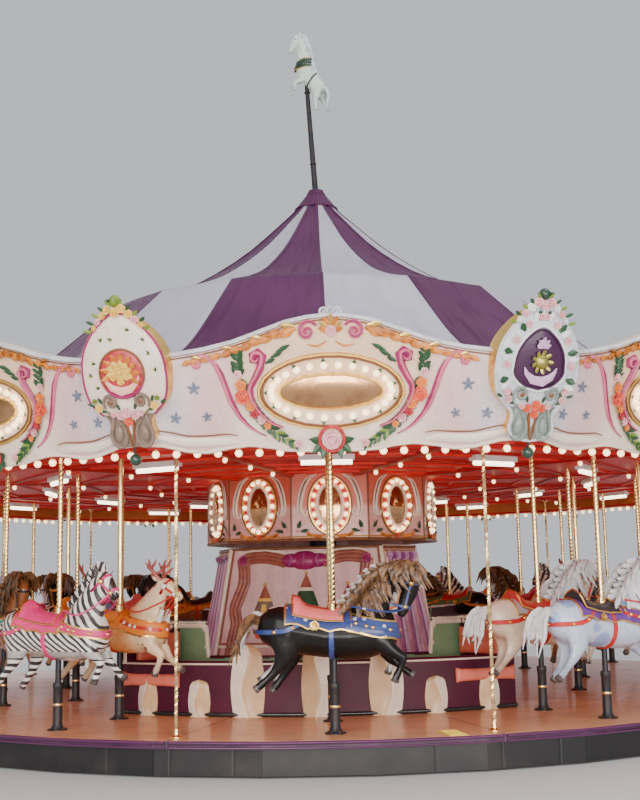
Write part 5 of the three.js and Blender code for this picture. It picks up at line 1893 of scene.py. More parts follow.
# %% Carve the four kinds
def carve_animal(kind, seed):
    skin = melt(kind, body_parts(kind), 3400)
    tree = skin_tree(skin)
    work = Carving().merge(skin)
    if kind == "rabbit":
        paint_near(work, [Vector((-0.448, side * 0.108, 0.635)) for side in (1, -1)], 0.045, T_HOOF)
        saddlery(work, tree)
        face(work, tree, (0.482, 1.3), (0.592, 1.225), 1.15)
        work.add(*dome((-0.575, 0, 1.03), (-1, 0, 0.3), 0.062, 0.055, 3, 10, True), T_JEWEL)
        head_band(work, tree, 0.34, 1.17, 0.045, T_STRAP, 0.55)
        return work
    paint_near(work, hooves(HOOFED_LEGS), 0.052, T_HOOF)
    saddlery(work, tree, kind == "zebra")
    if kind == "horse":
        bridle(work, tree, (0.527, 1.15), (0.573, 1.32), -0.2)
        face(work, tree, (0.588, 1.325), (0.506, 1.095))
        flowing_mane(work, seed)
        flowing_tail(work, seed)
    elif kind == "zebra":
        bridle(work, tree, (0.535, 1.29), (0.452, 1.378), 0.68)
        face(work, tree, (0.458, 1.392), (0.562, 1.268))
        erect_mane(work)
        paint_near(work, [Vector((0.568, 0, 1.25)), Vector((0.54, 0, 1.236))], 0.05, T_DARK)
        tuft_tail(work, (-0.53, 0, 1.07), (-0.665, 0, 0.87))
    else:
        bridle(work, tree, (0.582, 1.264), (0.49, 1.33), 0.82)
        face(work, tree, (0.5, 1.34), (0.624, 1.242))
        for antler in antlers():
            work.add(*loft(antler, 6), T_MANE)
        work.add(
            *tube([(-0.53, 0, 1.07), (-0.585, 0, 1.05), (-0.615, 0, 0.985)], [0.03, 0.04, 0.012], 8),
            T_JEWEL
        )
        rng = random.Random(5)
        for k in range(12):
            x, z = 0.43 - 0.006 * k, 1.13 - 0.018 * k
            for side in (1, -1):
                lock(
                    work, (x + 0.03, side * 0.03, z), (0.1, side * 0.05, -0.9), 0.11, side * 0.5, T_JEWEL,
                    rng, 0.022
                )
    return work


CARVED = {
    kind: carve_animal(kind, seed)
    for kind, seed in (("horse", 3), ("zebra", 5), ("reindeer", 7), ("rabbit", 11))
}
for kind, work in CARVED.items():
    print(kind, sum(len(f) - 2 for f in work.faces), "triangles")

# %% [markdown]
# Coats come next. A horse is dappled enamel, the zebra's stripes are bands that bend round barrel and legs, and the
# reindeer has pale spots. The saddles, blankets and straps are strong fairground colours, with gold trim on all.

# %% Coats and harness colours
def stripe_coat():
    made, w, shader = new_finish("zebra_coat", 0.3, coat=0.4)
    place = place_of(w)
    x, _, z = w.parts(place)[:3]
    wobble = w.math("MULTIPLY", w.noise(place, 5.0, 2), 0.055)
    lean = w.math("ADD", x, w.math("MULTIPLY", w.math("SUBTRACT", z, 1.0), 0.75))
    bend = w.math("MULTIPLY", w.math("POWER", w.math("ABSOLUTE", w.math("SUBTRACT", z, 1.13)), 2.0), -1.4)
    body = w.math("ADD", w.math("ADD", lean, bend), wobble)
    legs = w.math("ADD", w.math("MULTIPLY", z, 1.25), wobble)
    low = w.ramp(z, 0.8, 0.86)
    field = w.node("ShaderNodeMix", {0: low, 2: legs, 3: body}, data_type="FLOAT").outputs[0]
    wave = w.math("SINE", w.math("MULTIPLY", field, 2 * math.pi / 0.068))
    dark = w.ramp(wave, -0.12, 0.12)
    colour = w.mix(dark, (0.84, 0.8, 0.75), (0.018, 0.014, 0.014))
    paint_over(w, shader, place, colour, (0.3, 0.22, 0.18), 0.3, 6.0, 0.16, 0.1, 0.12)
    return made


def dappled_coat(name, colour, spots, share=0.4, scale=9.0, size=0.32, rump=None, coat=0.5, specular=0.5):
    made, w, shader = new_finish(name, 0.27, coat=coat, specular=specular)
    place = place_of(w)
    dapple = w.math("MULTIPLY", w.ramp(w.cells(place, scale, 0.85), size, size - 0.1), share)
    base = w.mix(dapple, colour, spots)
    if rump:
        base = w.mix(w.ramp(w.parts(place)[0], 0.1, 0.34), rump, base)
    # Painted shade: from 0.82 m down to 0.62 m, below the barrel, the coat darkens to 60% over the legs.
    low = w.ramp(w.parts(place)[2], 0.62, 0.82)
    base = w.mix(low, darker(colour, 0.6), base)
    paint_over(w, shader, place, base, darker(colour, 0.5), 0.27, 4.0, 0.25, 0.12, 0.12)
    return made


def starred_cloth(name, colour, stars):
    made, w, shader = new_finish(name, 0.34, coat=0.3)
    place = place_of(w)
    base = w.mix(w.ramp(w.cells(place, 14.0, 0.25), 0.24, 0.19), colour, stars)
    paint_over(w, shader, place, base, darker(colour, 0.5), 0.34, 9.0, 0.4, 0.15, 0.15)
    return made


COATS = {
    "black": dappled_coat(
        "coat_black", (0.006, 0.005, 0.005), (0.014, 0.01, 0.009), 0.3, coat=0.12, specular=0.22
    ),
    "white": dappled_coat("coat_white", (0.8, 0.77, 0.74), (0.62, 0.6, 0.62), 0.35),
    "cream": dappled_coat("coat_cream", (0.78, 0.6, 0.45), (0.86, 0.74, 0.6), 0.5),
    "brown": dappled_coat("coat_brown", (0.3, 0.1, 0.035), (0.42, 0.17, 0.06), 0.4),
    "blue": dappled_coat("coat_blue_white", (0.58, 0.66, 0.8), (0.12, 0.22, 0.55), 0.7, 6.0, 0.5),
    "spotted": dappled_coat(
        "coat_spotted", (0.84, 0.64, 0.4), (0.24, 0.07, 0.02), 0.95, 11.0, 0.3, (0.72, 0.27, 0.05)
    ),
    "zebra": stripe_coat(),
}
HAIR = {
    "gold": enamel("hair_brown_gold", (0.2, 0.095, 0.035), (0.045, 0.018, 0.01), scale=22, shading=0.9),
    "black": enamel("hair_black", (0.03, 0.025, 0.024), (0.01, 0.01, 0.01), scale=30),
    "white": enamel("hair_white", (0.8, 0.77, 0.74), (0.45, 0.5, 0.62), scale=30, shading=0.6),
    "rust": enamel("hair_rose_brown", (0.45, 0.12, 0.1), (0.16, 0.035, 0.03), scale=30, shading=0.6),
    "brown": enamel("hair_chestnut", (0.2, 0.06, 0.02), (0.06, 0.015, 0.008), scale=30, shading=0.7),
}
CLOTHS = {
    "pink": enamel("saddle_pink", (0.9, 0.2, 0.19), (0.75, 0.1, 0.12)),
    "hot_pink": enamel("saddle_hot_pink", (0.78, 0.04, 0.2), (0.45, 0.01, 0.1)),
    "black": enamel("saddle_black", (0.02, 0.02, 0.025), (0.05, 0.03, 0.03)),
    "red": enamel("saddle_red", (0.62, 0.03, 0.025), (0.32, 0.01, 0.012)),
    "orange": enamel("saddle_orange", (0.85, 0.25, 0.03), (0.5, 0.1, 0.01)),
    "grey": enamel("blanket_grey", (0.45, 0.4, 0.45), (0.26, 0.22, 0.3)),
    "blue": starred_cloth("blanket_blue_stars", (0.035, 0.065, 0.24), (0.75, 0.8, 0.9)),
    "purple": enamel("blanket_purple", (0.16, 0.05, 0.3), (0.07, 0.02, 0.14)),
    "green": enamel("blanket_green", (0.1, 0.3, 0.12), (0.04, 0.14, 0.05)),
    "teal": starred_cloth("blanket_teal", (0.05, 0.28, 0.3), (0.85, 0.75, 0.4)),
}
HOOF_DARK = enamel("hoof_grey", (0.1, 0.08, 0.075), (0.04, 0.03, 0.03), scale=24)
NOSE_DARK = enamel("nose_and_lid", (0.02, 0.014, 0.014), (0.05, 0.03, 0.03), scale=24)
EYE = enamel("eye_glass", (0.01, 0.008, 0.008), (0.02, 0.01, 0.01), 0.08, 1.0, wear=0, grime=0)
print(len(COATS), "coats,", len(HAIR), "manes,", len(CLOTHS), "cloths")

# %% Which paint each animal wears
WARDROBE = {
    "outer_1": ("black", "gold", "pink", "blue", "blue"),
    "outer_2": ("blue", "white", "black", "purple", "red"),
    "outer_12": ("zebra", "black", "hot_pink", "hot_pink", "hot_pink"),
    "outer_11": ("brown", "brown", "red", "grey", "black"),
    "outer_3": ("white", "gold", "red", "teal", "hot_pink"),
    "middle_1": ("white", "white", "red", "green", "orange"),
    "middle_2": ("cream", "white", "red", "grey", "red"),
    "middle_12": ("spotted", "rust", "orange", "orange", "red"),
    "middle_11": ("brown", "gold", "hot_pink", "teal", "black"),
}
COAT_TURN = ["black", "white", "cream", "brown", "blue"]
HAIR_FOR = {"black": "gold", "white": "gold", "cream": "white", "brown": "black", "blue": "white",
            "zebra": "black", "spotted": "rust"}
SADDLE_TURN = ["red", "pink", "black", "orange", "hot_pink"]
CLOTH_TURN = ["teal", "purple", "green", "blue", "grey", "orange", "red"]


def pick(names, i):
    return names[i % len(names)]


def outfit(place, kind, i):
    if place in WARDROBE:
        return WARDROBE[place]
    coat = {"zebra": "zebra", "reindeer": "spotted"}.get(kind, pick(COAT_TURN, i * 3))
    saddle, cloth, strap = pick(SADDLE_TURN, i * 2), pick(CLOTH_TURN, i * 3), pick(SADDLE_TURN, i * 2 + 3)
    return coat, HAIR_FOR[coat], saddle, cloth, strap


RIDER_NODES = sorted(n for n in nodes if n.split("_")[0] in ("outer", "middle", "inner"))
ROW_RADIUS = {"outer": 4.24, "middle": 3.5, "inner": 2.8}


def rider_place(row, number):
    return out_at(SECTOR * (number - 1), ROW_RADIUS[row])


def mount_animals():
    riders = []
    for i, node in enumerate(RIDER_NODES):
        row, kind, number = node.split("_")
        coat, hair, saddle, cloth, strap = outfit(f"{row}_{number}", kind, i)
        finishes = [
            COATS[coat], HOOF_DARK, NOSE_DARK, HAIR[hair], CLOTHS[saddle], CLOTHS[cloth], GOLD,
            CLOTHS[strap]
        ]
        finishes += [WHITE if kind in ("rabbit", "reindeer") else GOLD, EYE]
        if coat in ("black", "brown") and kind == "rabbit":
            finishes[0] = COATS["cream"]
        mesh = CARVED[kind].mesh(f"{node}_carving", finishes)
        piece = hang(f"{node}_carving", mesh, f"ride_{row}_{number}", rider_place(row, int(number)))
        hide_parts(node)
        riders.append((row, int(number)))
    return riders


riders = mount_animals()
print(len(riders), "animals mounted")

# %% [markdown]
# Every animal hangs on a pole. On the outer row most are barley twists in brass, a rope of two strands; the others
# are plain tubes. The pole slides in a dark floor tube, which gets a base flange with bolts and a collar.

# %% Poles
def twisted_pole(low, high, radius=0.0232, pitch=0.075, step=0.0188, sides=8):
    """A rope of two strands, round at both ends."""
    count = int((high - low) / step)
    points = []
    for i in range(count + 1):
        z = low + (high - low) * i / count
        turn = 2 * math.pi * z / pitch
        fade_in = min(1.0, (z - low) / 0.05, (high - z) / 0.05)
        for angle in round_angles(sides):
            a = angle + turn * 0.5
            lobe = 1 - 0.17 * fade_in * (0.5 - 0.5 * math.cos(2 * (a - turn)))
            points.append((radius * lobe * math.cos(a), radius * lobe * math.sin(a), z))
    return points, ring_faces(count + 1, sides) + cap_faces(count + 1, sides)


def turned_profile(profile, sides):
    points = [
        (r * math.cos(turn), r * math.sin(turn), z) for r, z in profile for turn in round_angles(sides)
    ]
    return points, ring_faces(len(profile), sides) + cap_faces(len(profile), sides)


def rider_pole(twisted):
    work = Carving()
    work.add(*turned_profile([(0.0225, 0.396), (0.0225, 1.06)], 10))
    if twisted:
        work.add(*twisted_pole(1.05, 2.597), 1)
    else:
        work.add(*turned_profile([(0.0228, 1.05), (0.0228, 2.597)], 12), 1)
    knob = [(0.03, 1.12), (0.034, 1.128), (0.034, 1.15), (0.028, 1.165), (0.03, 1.18), (0.0235, 1.19)]
    return work.add(*turned_profile(knob, 12), 1)


TWISTED = rider_pole(True).mesh("twisted_pole", [STEEL, BRASS])
PLAIN = rider_pole(False).mesh("plain_pole", [STEEL, BRASS])
for row, number in riders:
    plain = (row, number) in (("outer", 11), ("middle", 1)) or (number + len(row)) % 3 == 0 and row != "outer"
    pole_mesh = PLAIN if plain else TWISTED
    hang(f"pole_{row}_{number}", pole_mesh, f"ride_{row}_{number}", rider_place(row, number))
print(len(riders), "poles hung")

# %% [markdown]
# ## Ceiling, lamps and upper housing
# Under the sweeps lies a bright red ceiling. Battens run round it and a rib runs out under every sweep; white lamp
# fittings and strings of small globes light it. The ten-sided housing in the middle is coral above and pink
# below, and each of its faces carries a tall oval glass in a ring of lamps between two arching mouldings.

# %% Strips, ribs and lamps under the ceiling
CEILING_UNDER = 2.42
CEILING_RED = enamel(
    "ceiling_red", (0.9, 0.02, 0.016), (0.66, 0.01, 0.012), 0.45, 0.06, 3.0, grime=0.1, specular=0.2
)
CEILING_DARK = enamel(
    "ceiling_dark_red", (0.5, 0.01, 0.014), (0.28, 0.006, 0.008), 0.45, 0.06, 3.0, specular=0.2
)
WARM_WHITE = (1.0, 0.85, 0.62)
LAMP = enamel(
    "lit_lamp", (1.0, 0.93, 0.82), (1.0, 0.9, 0.75), 0.3, 0.2, wear=0, grime=0, glow=(WARM_WHITE, 5.0)
)
OVERHEAD = [CEILING_RED, CEILING_DARK, WHITE, LAMP, BULB, GOLD, STEEL]


def bar(work, low, high, paint, ease=0.004):
    """A bar along the axes with its lower edges planed off."""
    (x0, y0, z0), (x1, y1, z1) = low, high
    points = [(x, y, z) for z, cut in ((z0, ease), (z0 + ease, 0), (z1, 0)) for x, y in
              ((x0 + cut, y0 + cut), (x1 - cut, y0 + cut), (x1 - cut, y1 - cut), (x0 + cut, y1 - cut))]
    work.add(points, ring_faces(3, 4) + cap_faces(3, 4), paint)


BATTENS = (1.5, 1.9, 2.3, 2.62, 3.08, 3.3, 3.72, 3.94, 4.36, 4.62, 4.86)
DARK_BATTENS = (2.62, 3.3, 3.94, 4.62)


def ceiling_bay():
    work = Carving()
    for radius in BATTENS:
        apothem = radius * math.cos(HALF_SECTOR)
        half = apothem * math.tan(HALF_SECTOR)
        bar(work, (-half, -apothem - 0.022, CEILING_UNDER - 0.018), (half, -apothem + 0.022, CEILING_UNDER + 0.001),
            1 if radius in DARK_BATTENS else 0)
    for radius in (3.1, 4.58):
        y = -radius * math.cos(HALF_SECTOR)
        bar(work, (-0.24, y - 0.045, CEILING_UNDER - 0.05), (0.24, y + 0.045, CEILING_UNDER), 2)
        work.add(*tube([(-0.22, y, CEILING_UNDER - 0.068), (0.22, y, CEILING_UNDER - 0.068)], 0.022, 10), 3)
    return work


def ceiling_rib():
    work = Carving()
    bar(work, (-0.032, -5.04, CEILING_UNDER - 0.034), (0.032, -1.26, CEILING_UNDER + 0.001), 1, 0.008)
    for k in range(5):
        work.add(*dome((0, -1.9 - 0.7 * k, CEILING_UNDER - 0.03), (0, 0, -1), 0.03, 0.014, 2, 10), 5)
        work.add(*dome((0, -1.9 - 0.7 * k, CEILING_UNDER - 0.055), (0, 0, -1), 0.022, 0.026, 3, 8, True), 4)
    return work


bay_mesh = ceiling_bay().mesh("ceiling_bay", OVERHEAD)
rib_mesh = ceiling_rib().mesh("ceiling_rib", OVERHEAD)
for k in range(SECTORS):
    hang(f"ceiling_bay_{k + 1}", bay_mesh, "turntable", turned(SECTOR * k))
    hang(f"ceiling_rib_{k + 1}", rib_mesh, "turntable", turned(SECTOR * (k + 0.5)))
print("ceiling bays and ribs hung")

# %% Strings of globes inside the boards' feet
GLOBES = 18


def globe_string():
    """Globes sit in small sockets along a batten behind the lower edge of a board."""
    work = Carving()
    y = -(board_back(0.03) - 0.022)
    bar(work, (-1.27, y - 0.014, 2.262), (1.27, y + 0.014, 2.29), 1)
    for k in range(GLOBES):
        x = -1.215 + k * 0.143
        work.add(*tube([(x, y, 2.268), (x, y, 2.248)], [0.016, 0.019], 6), 5)
        work.add(*dome((x, y, 2.232), (0, 0, -1), 0.028, 0.028, 2, 8, True), 4)
    return work


string_mesh = globe_string().mesh("globe_string", OVERHEAD)
for k in range(SECTORS):
    hang(f"globe_string_{k + 1}", string_mesh, "turntable", turned(SECTOR * k))
print(GLOBES, "globes on each of", SECTORS, "strings")

# %% [markdown]
# A housing face is carved like a board: x across and y up from the foot of the face. The glass is tall and narrow,
# its frame is cream, and red beads sit between the lamps.

# %% A face of the upper housing
HOUSING_RADIUS, HOUSING_FOOT, HOUSING_SIDES, HOUSING_TURN = 1.256, 1.75, 10, 2.8
FACE_HALF = HOUSING_RADIUS * math.sin(math.pi / HOUSING_SIDES)
FACE_TALL = CEILING_UNDER - HOUSING_FOOT
HOUSING_APOTHEM = HOUSING_RADIUS * math.cos(math.pi / HOUSING_SIDES)
GLASS_MIDDLE = (0, 0.355)
FACE_LAMPS = 32
FACE_GLASS = ((1, 0), (0.6, 0.012), (0.25, 0.016))
FACE_RINGS = ((0.126, 0.208, 0.016, 0.017, 7, P_CREAM), (0.222, 0.3, 0.004, 0.009, 6, P_BROWN),
              (0.207, 0.286, 0.004, 0.012, 6, P_GOLD))
ARCH = ((0.13, 0.6, 0.665), (0.215, 1, 0.6), (0.27, 1, 0.47), (0.292, 0.9, 0.34), (0.272, 1, 0.262),
        (0.235, 1, 0.262), (0.228, 1, 0.3))
ARCH_LINE = [(0.15, 0.66), (0.236, 0.59), (0.29, 0.46), (0.308, 0.34)]


def flat_strand(work, points, radius, paint, lift, flat=0.8):
    line = [Vector((p.x, p.y, lift)) for p in flat_line(points, 4)]
    work.add(*tube(line, radius, 6, flat=flat, normal=OUT, slack=0.18), paint)


def housing_face():
    work = Carving()
    glass = [[(x, y, 0.012 + rise) for x, y in oval(GLASS_MIDDLE, 0.118 * share, 0.2 * share, 28)]
             for share, rise in FACE_GLASS]
    oval_glass(work, glass, (*GLASS_MIDDLE, 0.029), P_MIRROR)
    for wide, tall, lift, radius, sides, paint in FACE_RINGS:
        ring = [(x, y, lift) for x, y in oval(GLASS_MIDDLE, wide, tall, FACE_LAMPS)]
        work.add(*tube(ring, radius, sides, closed=True, normal=OUT), paint)
    for k, (x, y) in enumerate(oval(GLASS_MIDDLE, 0.172, 0.254, FACE_LAMPS)):
        if k % 2:
            work.add(*dome((x, y, 0.004), OUT, 0.018, 0.022, 2, 7), P_RED)
        else:
            work.add(*dome((x, y, 0.022), OUT, 0.024, 0.03, 3, 7, True), P_BULB)
    for side in (1, -1):
        for shift, radius in (
            (0.0, [0.006, 0.014, 0.017, 0.014, 0.008]), (0.038, [0.005, 0.01, 0.013, 0.01, 0.006])
        ):
            arch = [(x + shift * share, y) for x, share, y in ARCH]
            flat_strand(work, sided(side, arch), radius, P_CREAM, 0.012)
        flat_strand(work, sided(side, ARCH_LINE), [0.003, 0.006, 0.006, 0.003], P_BROWN, 0.012)
        for k in range(4):
            base = (side * (0.06 + 0.045 * k), 0.055 - 0.008 * k + (0.02 if k == 3 else 0), 0.004)
            way = (side, 0.35 * k - 0.3, 0)
            work.add(*leaf(base, way, OUT, 0.1 - 0.012 * k, 0.036, 0.3, 2, 0.003, 4), P_ACANTHUS)
        work.add(
            *leaf((side * 0.33, 0.1, 0.004), (side * -0.35, 1, 0), OUT, 0.12, 0.04, 0.3, 3, 0.003, 5),
            P_LEAF
        )
        work.add(
            *leaf((side * 0.3, 0.09, 0.004), (side * -1, 0.2, 0), OUT, 0.1, 0.036, 0.3, 3, 0.003, 5), P_LEAF
        )
        work.add(*rose((side * 0.325, 0.1, 0.008), OUT, 0.03, ROSE), P_BLUSH)
    work.add(*rose((0, 0.052, 0.006), OUT, 0.034, FULL_ROSE), P_CORAL)
    work.add(*tube([(-FACE_HALF, 0.012, 0.004), (FACE_HALF, 0.012, 0.004)], 0.016, 6), P_BROWN)
    work.add(*tube([(-FACE_HALF, 0.04, 0.003), (FACE_HALF, 0.04, 0.003)], 0.008, 6), P_GOLD)
    work.add(*tube([(FACE_HALF, 0.02, -0.002), (FACE_HALF, FACE_TALL - 0.004, -0.002)], 0.011, 6), P_BROWN)
    return work


face_mesh = housing_face().mesh("housing_face", BOARD_PAINTS)
for k in range(HOUSING_SIDES):
    place = upright(HOUSING_TURN + 360 / HOUSING_SIDES * k, HOUSING_APOTHEM, HOUSING_FOOT)
    hang(f"housing_face_{k + 1}", face_mesh, "turntable", place)
print("a housing face has", triangles(face_mesh), "triangles")

# %% [markdown]
# ## The deck
# The deck stays the solid that the frame packed; its material lays the boards. In every sector planks run along the
# chord, dark seams run out between the sectors, the edge is a purple band and below it a near-black painted shade.
# What stands on the deck is carved: round sleeves and flanges over the floor tubes, twisted hanger rods, tread
# plates.

# %% Dressing a solid of the frame
def dress(node, finish):
    data = bpy.data.objects[node].data
    data.materials.clear()
    data.materials.append(finish)


PLANK_WIDTH, TRIM_TOP, SHADE_BAND_TOP = 0.118, 0.2585, 0.2015


def deck_finish():
    made, w, shader = new_finish("deck_paint", 0.38, coat=0.25)
    place = place_of(w)
    angle, radius, z = polar(w, place)
    sector = w.math("ROUND", w.math("DIVIDE", angle, math.radians(SECTOR)))
    off = w.math("SUBTRACT", angle, w.math("MULTIPLY", sector, math.radians(SECTOR)))
    out, along = w.math(
        "MULTIPLY", radius, w.math("COSINE", off)
    ), w.math("MULTIPLY", radius, w.math("SINE", off))
    planks = w.math("DIVIDE", out, PLANK_WIDTH)
    plank = w.math("ADD", w.math("FLOOR", planks), w.math("MULTIPLY", sector, 37.0))
    grain = w.node("ShaderNodeGroup", {"Along": along, "Across": out, "Plank": plank}, node_tree=GRAIN)
    wood = w.mix(grain.outputs["Mask"], (0.86, 0.37, 0.16), (0.7, 0.26, 0.1))
    wood = w.mix(w.math("MULTIPLY", grain.outputs["Tone"], 0.4), wood, (0.92, 0.5, 0.27))
    edge = w.math("ABSOLUTE", w.math("SUBTRACT", w.math("FRACT", planks), 0.5))
    joint = w.ramp(edge, 0.475, 0.495)
    to_seam = w.math("MULTIPLY", w.math("SUBTRACT", HALF_SECTOR, w.math("ABSOLUTE", off)), radius)
    seam = w.ramp(to_seam, 0.012, 0.004)
    gaps = w.math("MAXIMUM", joint, seam)
    wood = w.mix(w.math("MULTIPLY", gaps, 0.85), wood, (0.1, 0.035, 0.02))
    tread = w.ramp(w.noise(place, 1.6, 5, 0.6), 0.42, 0.75, 0.0, 0.5)
    wood = w.mix(tread, wood, (0.56, 0.28, 0.16))
    trim = w.mix(w.ramp(w.noise(place, 6.0), 0.4, 0.7), (0.075, 0.015, 0.065), (0.045, 0.01, 0.04))
    colour = w.mix(w.math("LESS_THAN", z, TRIM_TOP), wood, trim)
    # Painted shade: below the trim the deck's side is near black, standing for the dark recess under the platform.
    colour = w.mix(w.math("LESS_THAN", z, SHADE_BAND_TOP), colour, (0.006, 0.006, 0.008))
    values = {
        "Place": place, "Colour": colour, "Shade Colour": w.shade(colour, (0.62, 0.55, 0.5)), "Scale": 3.0
    }
    values.update({"Shading": 0.3, "Wear": 0.12, "Grime": 0.35})
    lay(w, shader, AGED_PAINT, values, 0.38)
    top = w.math(
        "SUBTRACT", w.math("MULTIPLY", grain.outputs["Height"], 0.25), w.math("MULTIPLY", gaps, 1.2)
    )
    bump(w, shader, top, 0.5, 0.004)
    return made


DECK = deck_finish()
for node in nodes:
    if node.startswith("deck_"):
        dress(node, DECK)
    elif node in ("base_frame", "centre_mast", "sweep_frame", "rim_frame", "canopy_hoop"):
        dress(node, STEEL)
dress("ceiling", CEILING_RED)
print("the deck has one material with planks, seams, trim and skirt")

# %% Sleeves and flanges on the floor tubes
DECK_TOP = 0.26
SLEEVE = [(0.0345, 0.2606), (0.078, 0.2606), (0.078, 0.268), (0.073, 0.272), (0.05, 0.276), (0.043, 0.29),
          (0.037, 0.305), (0.037, 0.57), (0.041, 0.578), (0.041, 0.606), (0.038, 0.6155), (0.0245, 0.6155),
          (0.0245, 0.6105), (0.0345, 0.6105)]
SLEEVE_BAND = [(0.0372, 0.44), (0.0395, 0.444), (0.0395, 0.456), (0.0372, 0.46)]


def lathe(profile, sides=12):
    """A ring turned from a closed outline of (radius, height)."""
    points = [(r * math.cos(t), r * math.sin(t), z) for t in round_angles(sides) for r, z in profile]
    return points, [(a, d, c, b) for a, b, c, d in ring_faces(sides, len(profile), True)]


def sleeve():
    work = Carving()
    work.add(*lathe(SLEEVE))
    for k in range(6):
        bolt = fan_way(math.radians(60 * k)) * 0.062
        work.add(*dome((bolt.x, bolt.y, 0.272), OUT, 0.007, 0.006, 2, 6), 1)
    return work.add(*lathe(SLEEVE_BAND), 1)


sleeve_mesh = sleeve().mesh("sleeve", [STEEL, BRASS])
for row, number in riders:
    hang(f"sleeve_{row}_{number}", sleeve_mesh, "turntable", rider_place(row, number))
print(len(riders), "sleeves on the floor tubes")

# %% Hanger rods, edge moulding and tread plates
HANGER_RING = 4.42


def hanger():
    work = Carving()
    work.add(*twisted_pole(0.3, 2.386, 0.0152, 0.052, 0.0182, 6))
    foot = [(0.0112, 0.2606), (0.045, 0.2606), (0.045, 0.268), (0.02, 0.28), (0.0165, 0.32), (0.0112, 0.32)]
    head = [(0.0112, 2.36), (0.018, 2.362), (0.03, 2.378), (0.034, 2.386), (0.0112, 2.386)]
    return work.add(*lathe(foot, 14)).add(*lathe(head, 14))


def edge_moulding():
    work = Carving()
    turns = np.linspace(-14.8, 14.8, 13)
    work.add(*tube([spot(4.6005, t, 0.246) for t in turns], 0.0115, 8), 1)
    return work.add(*tube([spot(4.6, t, 0.211) for t in turns], 0.007, 6))


def tread_plate():
    work = Carving()
    bar(work, (-0.07, -4.585, DECK_TOP), (0.07, -4.3, DECK_TOP + 0.005), 0, 0.0)
    for k in range(9):
        y = -4.565 + 0.031 * k
        work.add(*tube([(x, y, DECK_TOP + 0.0055) for x in (-0.06, 0.06)], 0.0035, 6))
    return work


hanger_mesh = hanger().mesh("hanger_rod", [BRASS])
TRIM = enamel("purple_trim", (0.1, 0.02, 0.085), (0.055, 0.012, 0.05), scale=5)
moulding_mesh = edge_moulding().mesh("edge_moulding", [TRIM, TRIM])
YELLOW = enamel("tread_yellow", (0.85, 0.6, 0.06), (0.5, 0.3, 0.03), 0.45, 0.1, wear=0.6, grime=0.5)
tread_mesh = tread_plate().mesh("tread_plate", [YELLOW])
for k in range(SECTORS):
    hang(f"hanger_rod_{k + 1}", hanger_mesh, "turntable", out_at(SECTOR * (k + 0.5), HANGER_RING))
    hang(f"edge_moulding_{k + 1}", moulding_mesh, "turntable", turned(SECTOR * k))
for k in range(4):
    hang(f"tread_plate_{k + 1}", tread_mesh, "turntable", turned(10.8 + 90 * k))
print(SECTORS, "hanger rods and mouldings, 4 tread plates")

# %% [markdown]
# ## Scenery round the middle
# Three wide boards and three narrow ones hide the machinery. They lean inwards. On the wide ones a carved drape
# hangs from a magenta swag over a pale pink ground with three clipped cones, a generic picture of our own; the
# narrow ones carry a long gathered drape.

# %% Ground paint and places of the scenery
SCENERY_TURN, SCENERY_WIDE, SCENERY_NARROW = -15, 47, 13
SCENERY_FOOT_RADIUS, SCENERY_TOP_RADIUS = 1.4, 1.12
SCENERY_LOW, SCENERY_HIGH, SCENERY_SLOPE = 0.14, 1.705, 1.58


def scenery_ground():
    made, w, shader = new_finish("scenery_ground_paint", 0.4, coat=0.25)
    place = place_of(w)
    angle, _, z = polar(w, place)
    band = w.ramp(w.math("SINE", w.math("MULTIPLY", angle, 34.0)), -0.4, 0.4)
    pink = w.mix(w.math("MULTIPLY", band, 0.5), (0.78, 0.5, 0.47), (0.66, 0.37, 0.38))
    pink = w.mix(w.ramp(z, 0.95, 0.35), pink, (0.62, 0.25, 0.24))
    paint_over(w, shader, place, pink, (0.5, 0.26, 0.26), 0.4, 4.0, 0.3, 0.25, 0.3)
    return made


def leaning_place(angle, half_angle):
    foot, top = (r * math.cos(math.radians(half_angle)) for r in (SCENERY_FOOT_RADIUS, SCENERY_TOP_RADIUS))
    lean = math.atan((foot - top) / (SCENERY_HIGH - SCENERY_LOW))
    return upright(angle, foot, SCENERY_LOW, -lean)


def board_edge(half_angle, y):
    shrink = (SCENERY_TOP_RADIUS - SCENERY_FOOT_RADIUS) * y / SCENERY_SLOPE
    return math.sin(math.radians(half_angle)) * (SCENERY_FOOT_RADIUS + shrink)


SCENERY_PINK = scenery_ground()
RUST = enamel("rust_drape", (0.36, 0.1, 0.06), (0.2, 0.04, 0.03), 0.4, 0.2, 12, 0.6)
VIOLET = enamel("violet_drape", (0.4, 0.1, 0.3), (0.2, 0.03, 0.16), 0.4, 0.2, 12, 0.6)
OLD_PINK = enamel("old_pink_drape", (0.68, 0.3, 0.4), (0.45, 0.12, 0.22), 0.4, 0.2, 12, 0.6)
SCENERY_PAINTS = [CREAM, RUST, MAGENTA, VIOLET, OLD_PINK, LEAF_DARK, TAUPE, BUTTER, GOLD, LINE_BROWN]
SCENERY_PAINTS += [LEAF_LIGHT, ROSE_CORAL, LILAC]
(C_CREAM, C_RUST, C_MAGENTA, C_VIOLET, C_PINK, C_GREEN, C_TAUPE, C_BUTTER, C_GOLD, C_BROWN,
 C_LIME, C_CORAL, C_LILAC) = range(len(SCENERY_PAINTS))


print(len(SCENERY_PAINTS), "finishes for the scenery")

# %% Drapes, cones and rails
CONE_ROWS, CONE_COLUMNS = 12, 8


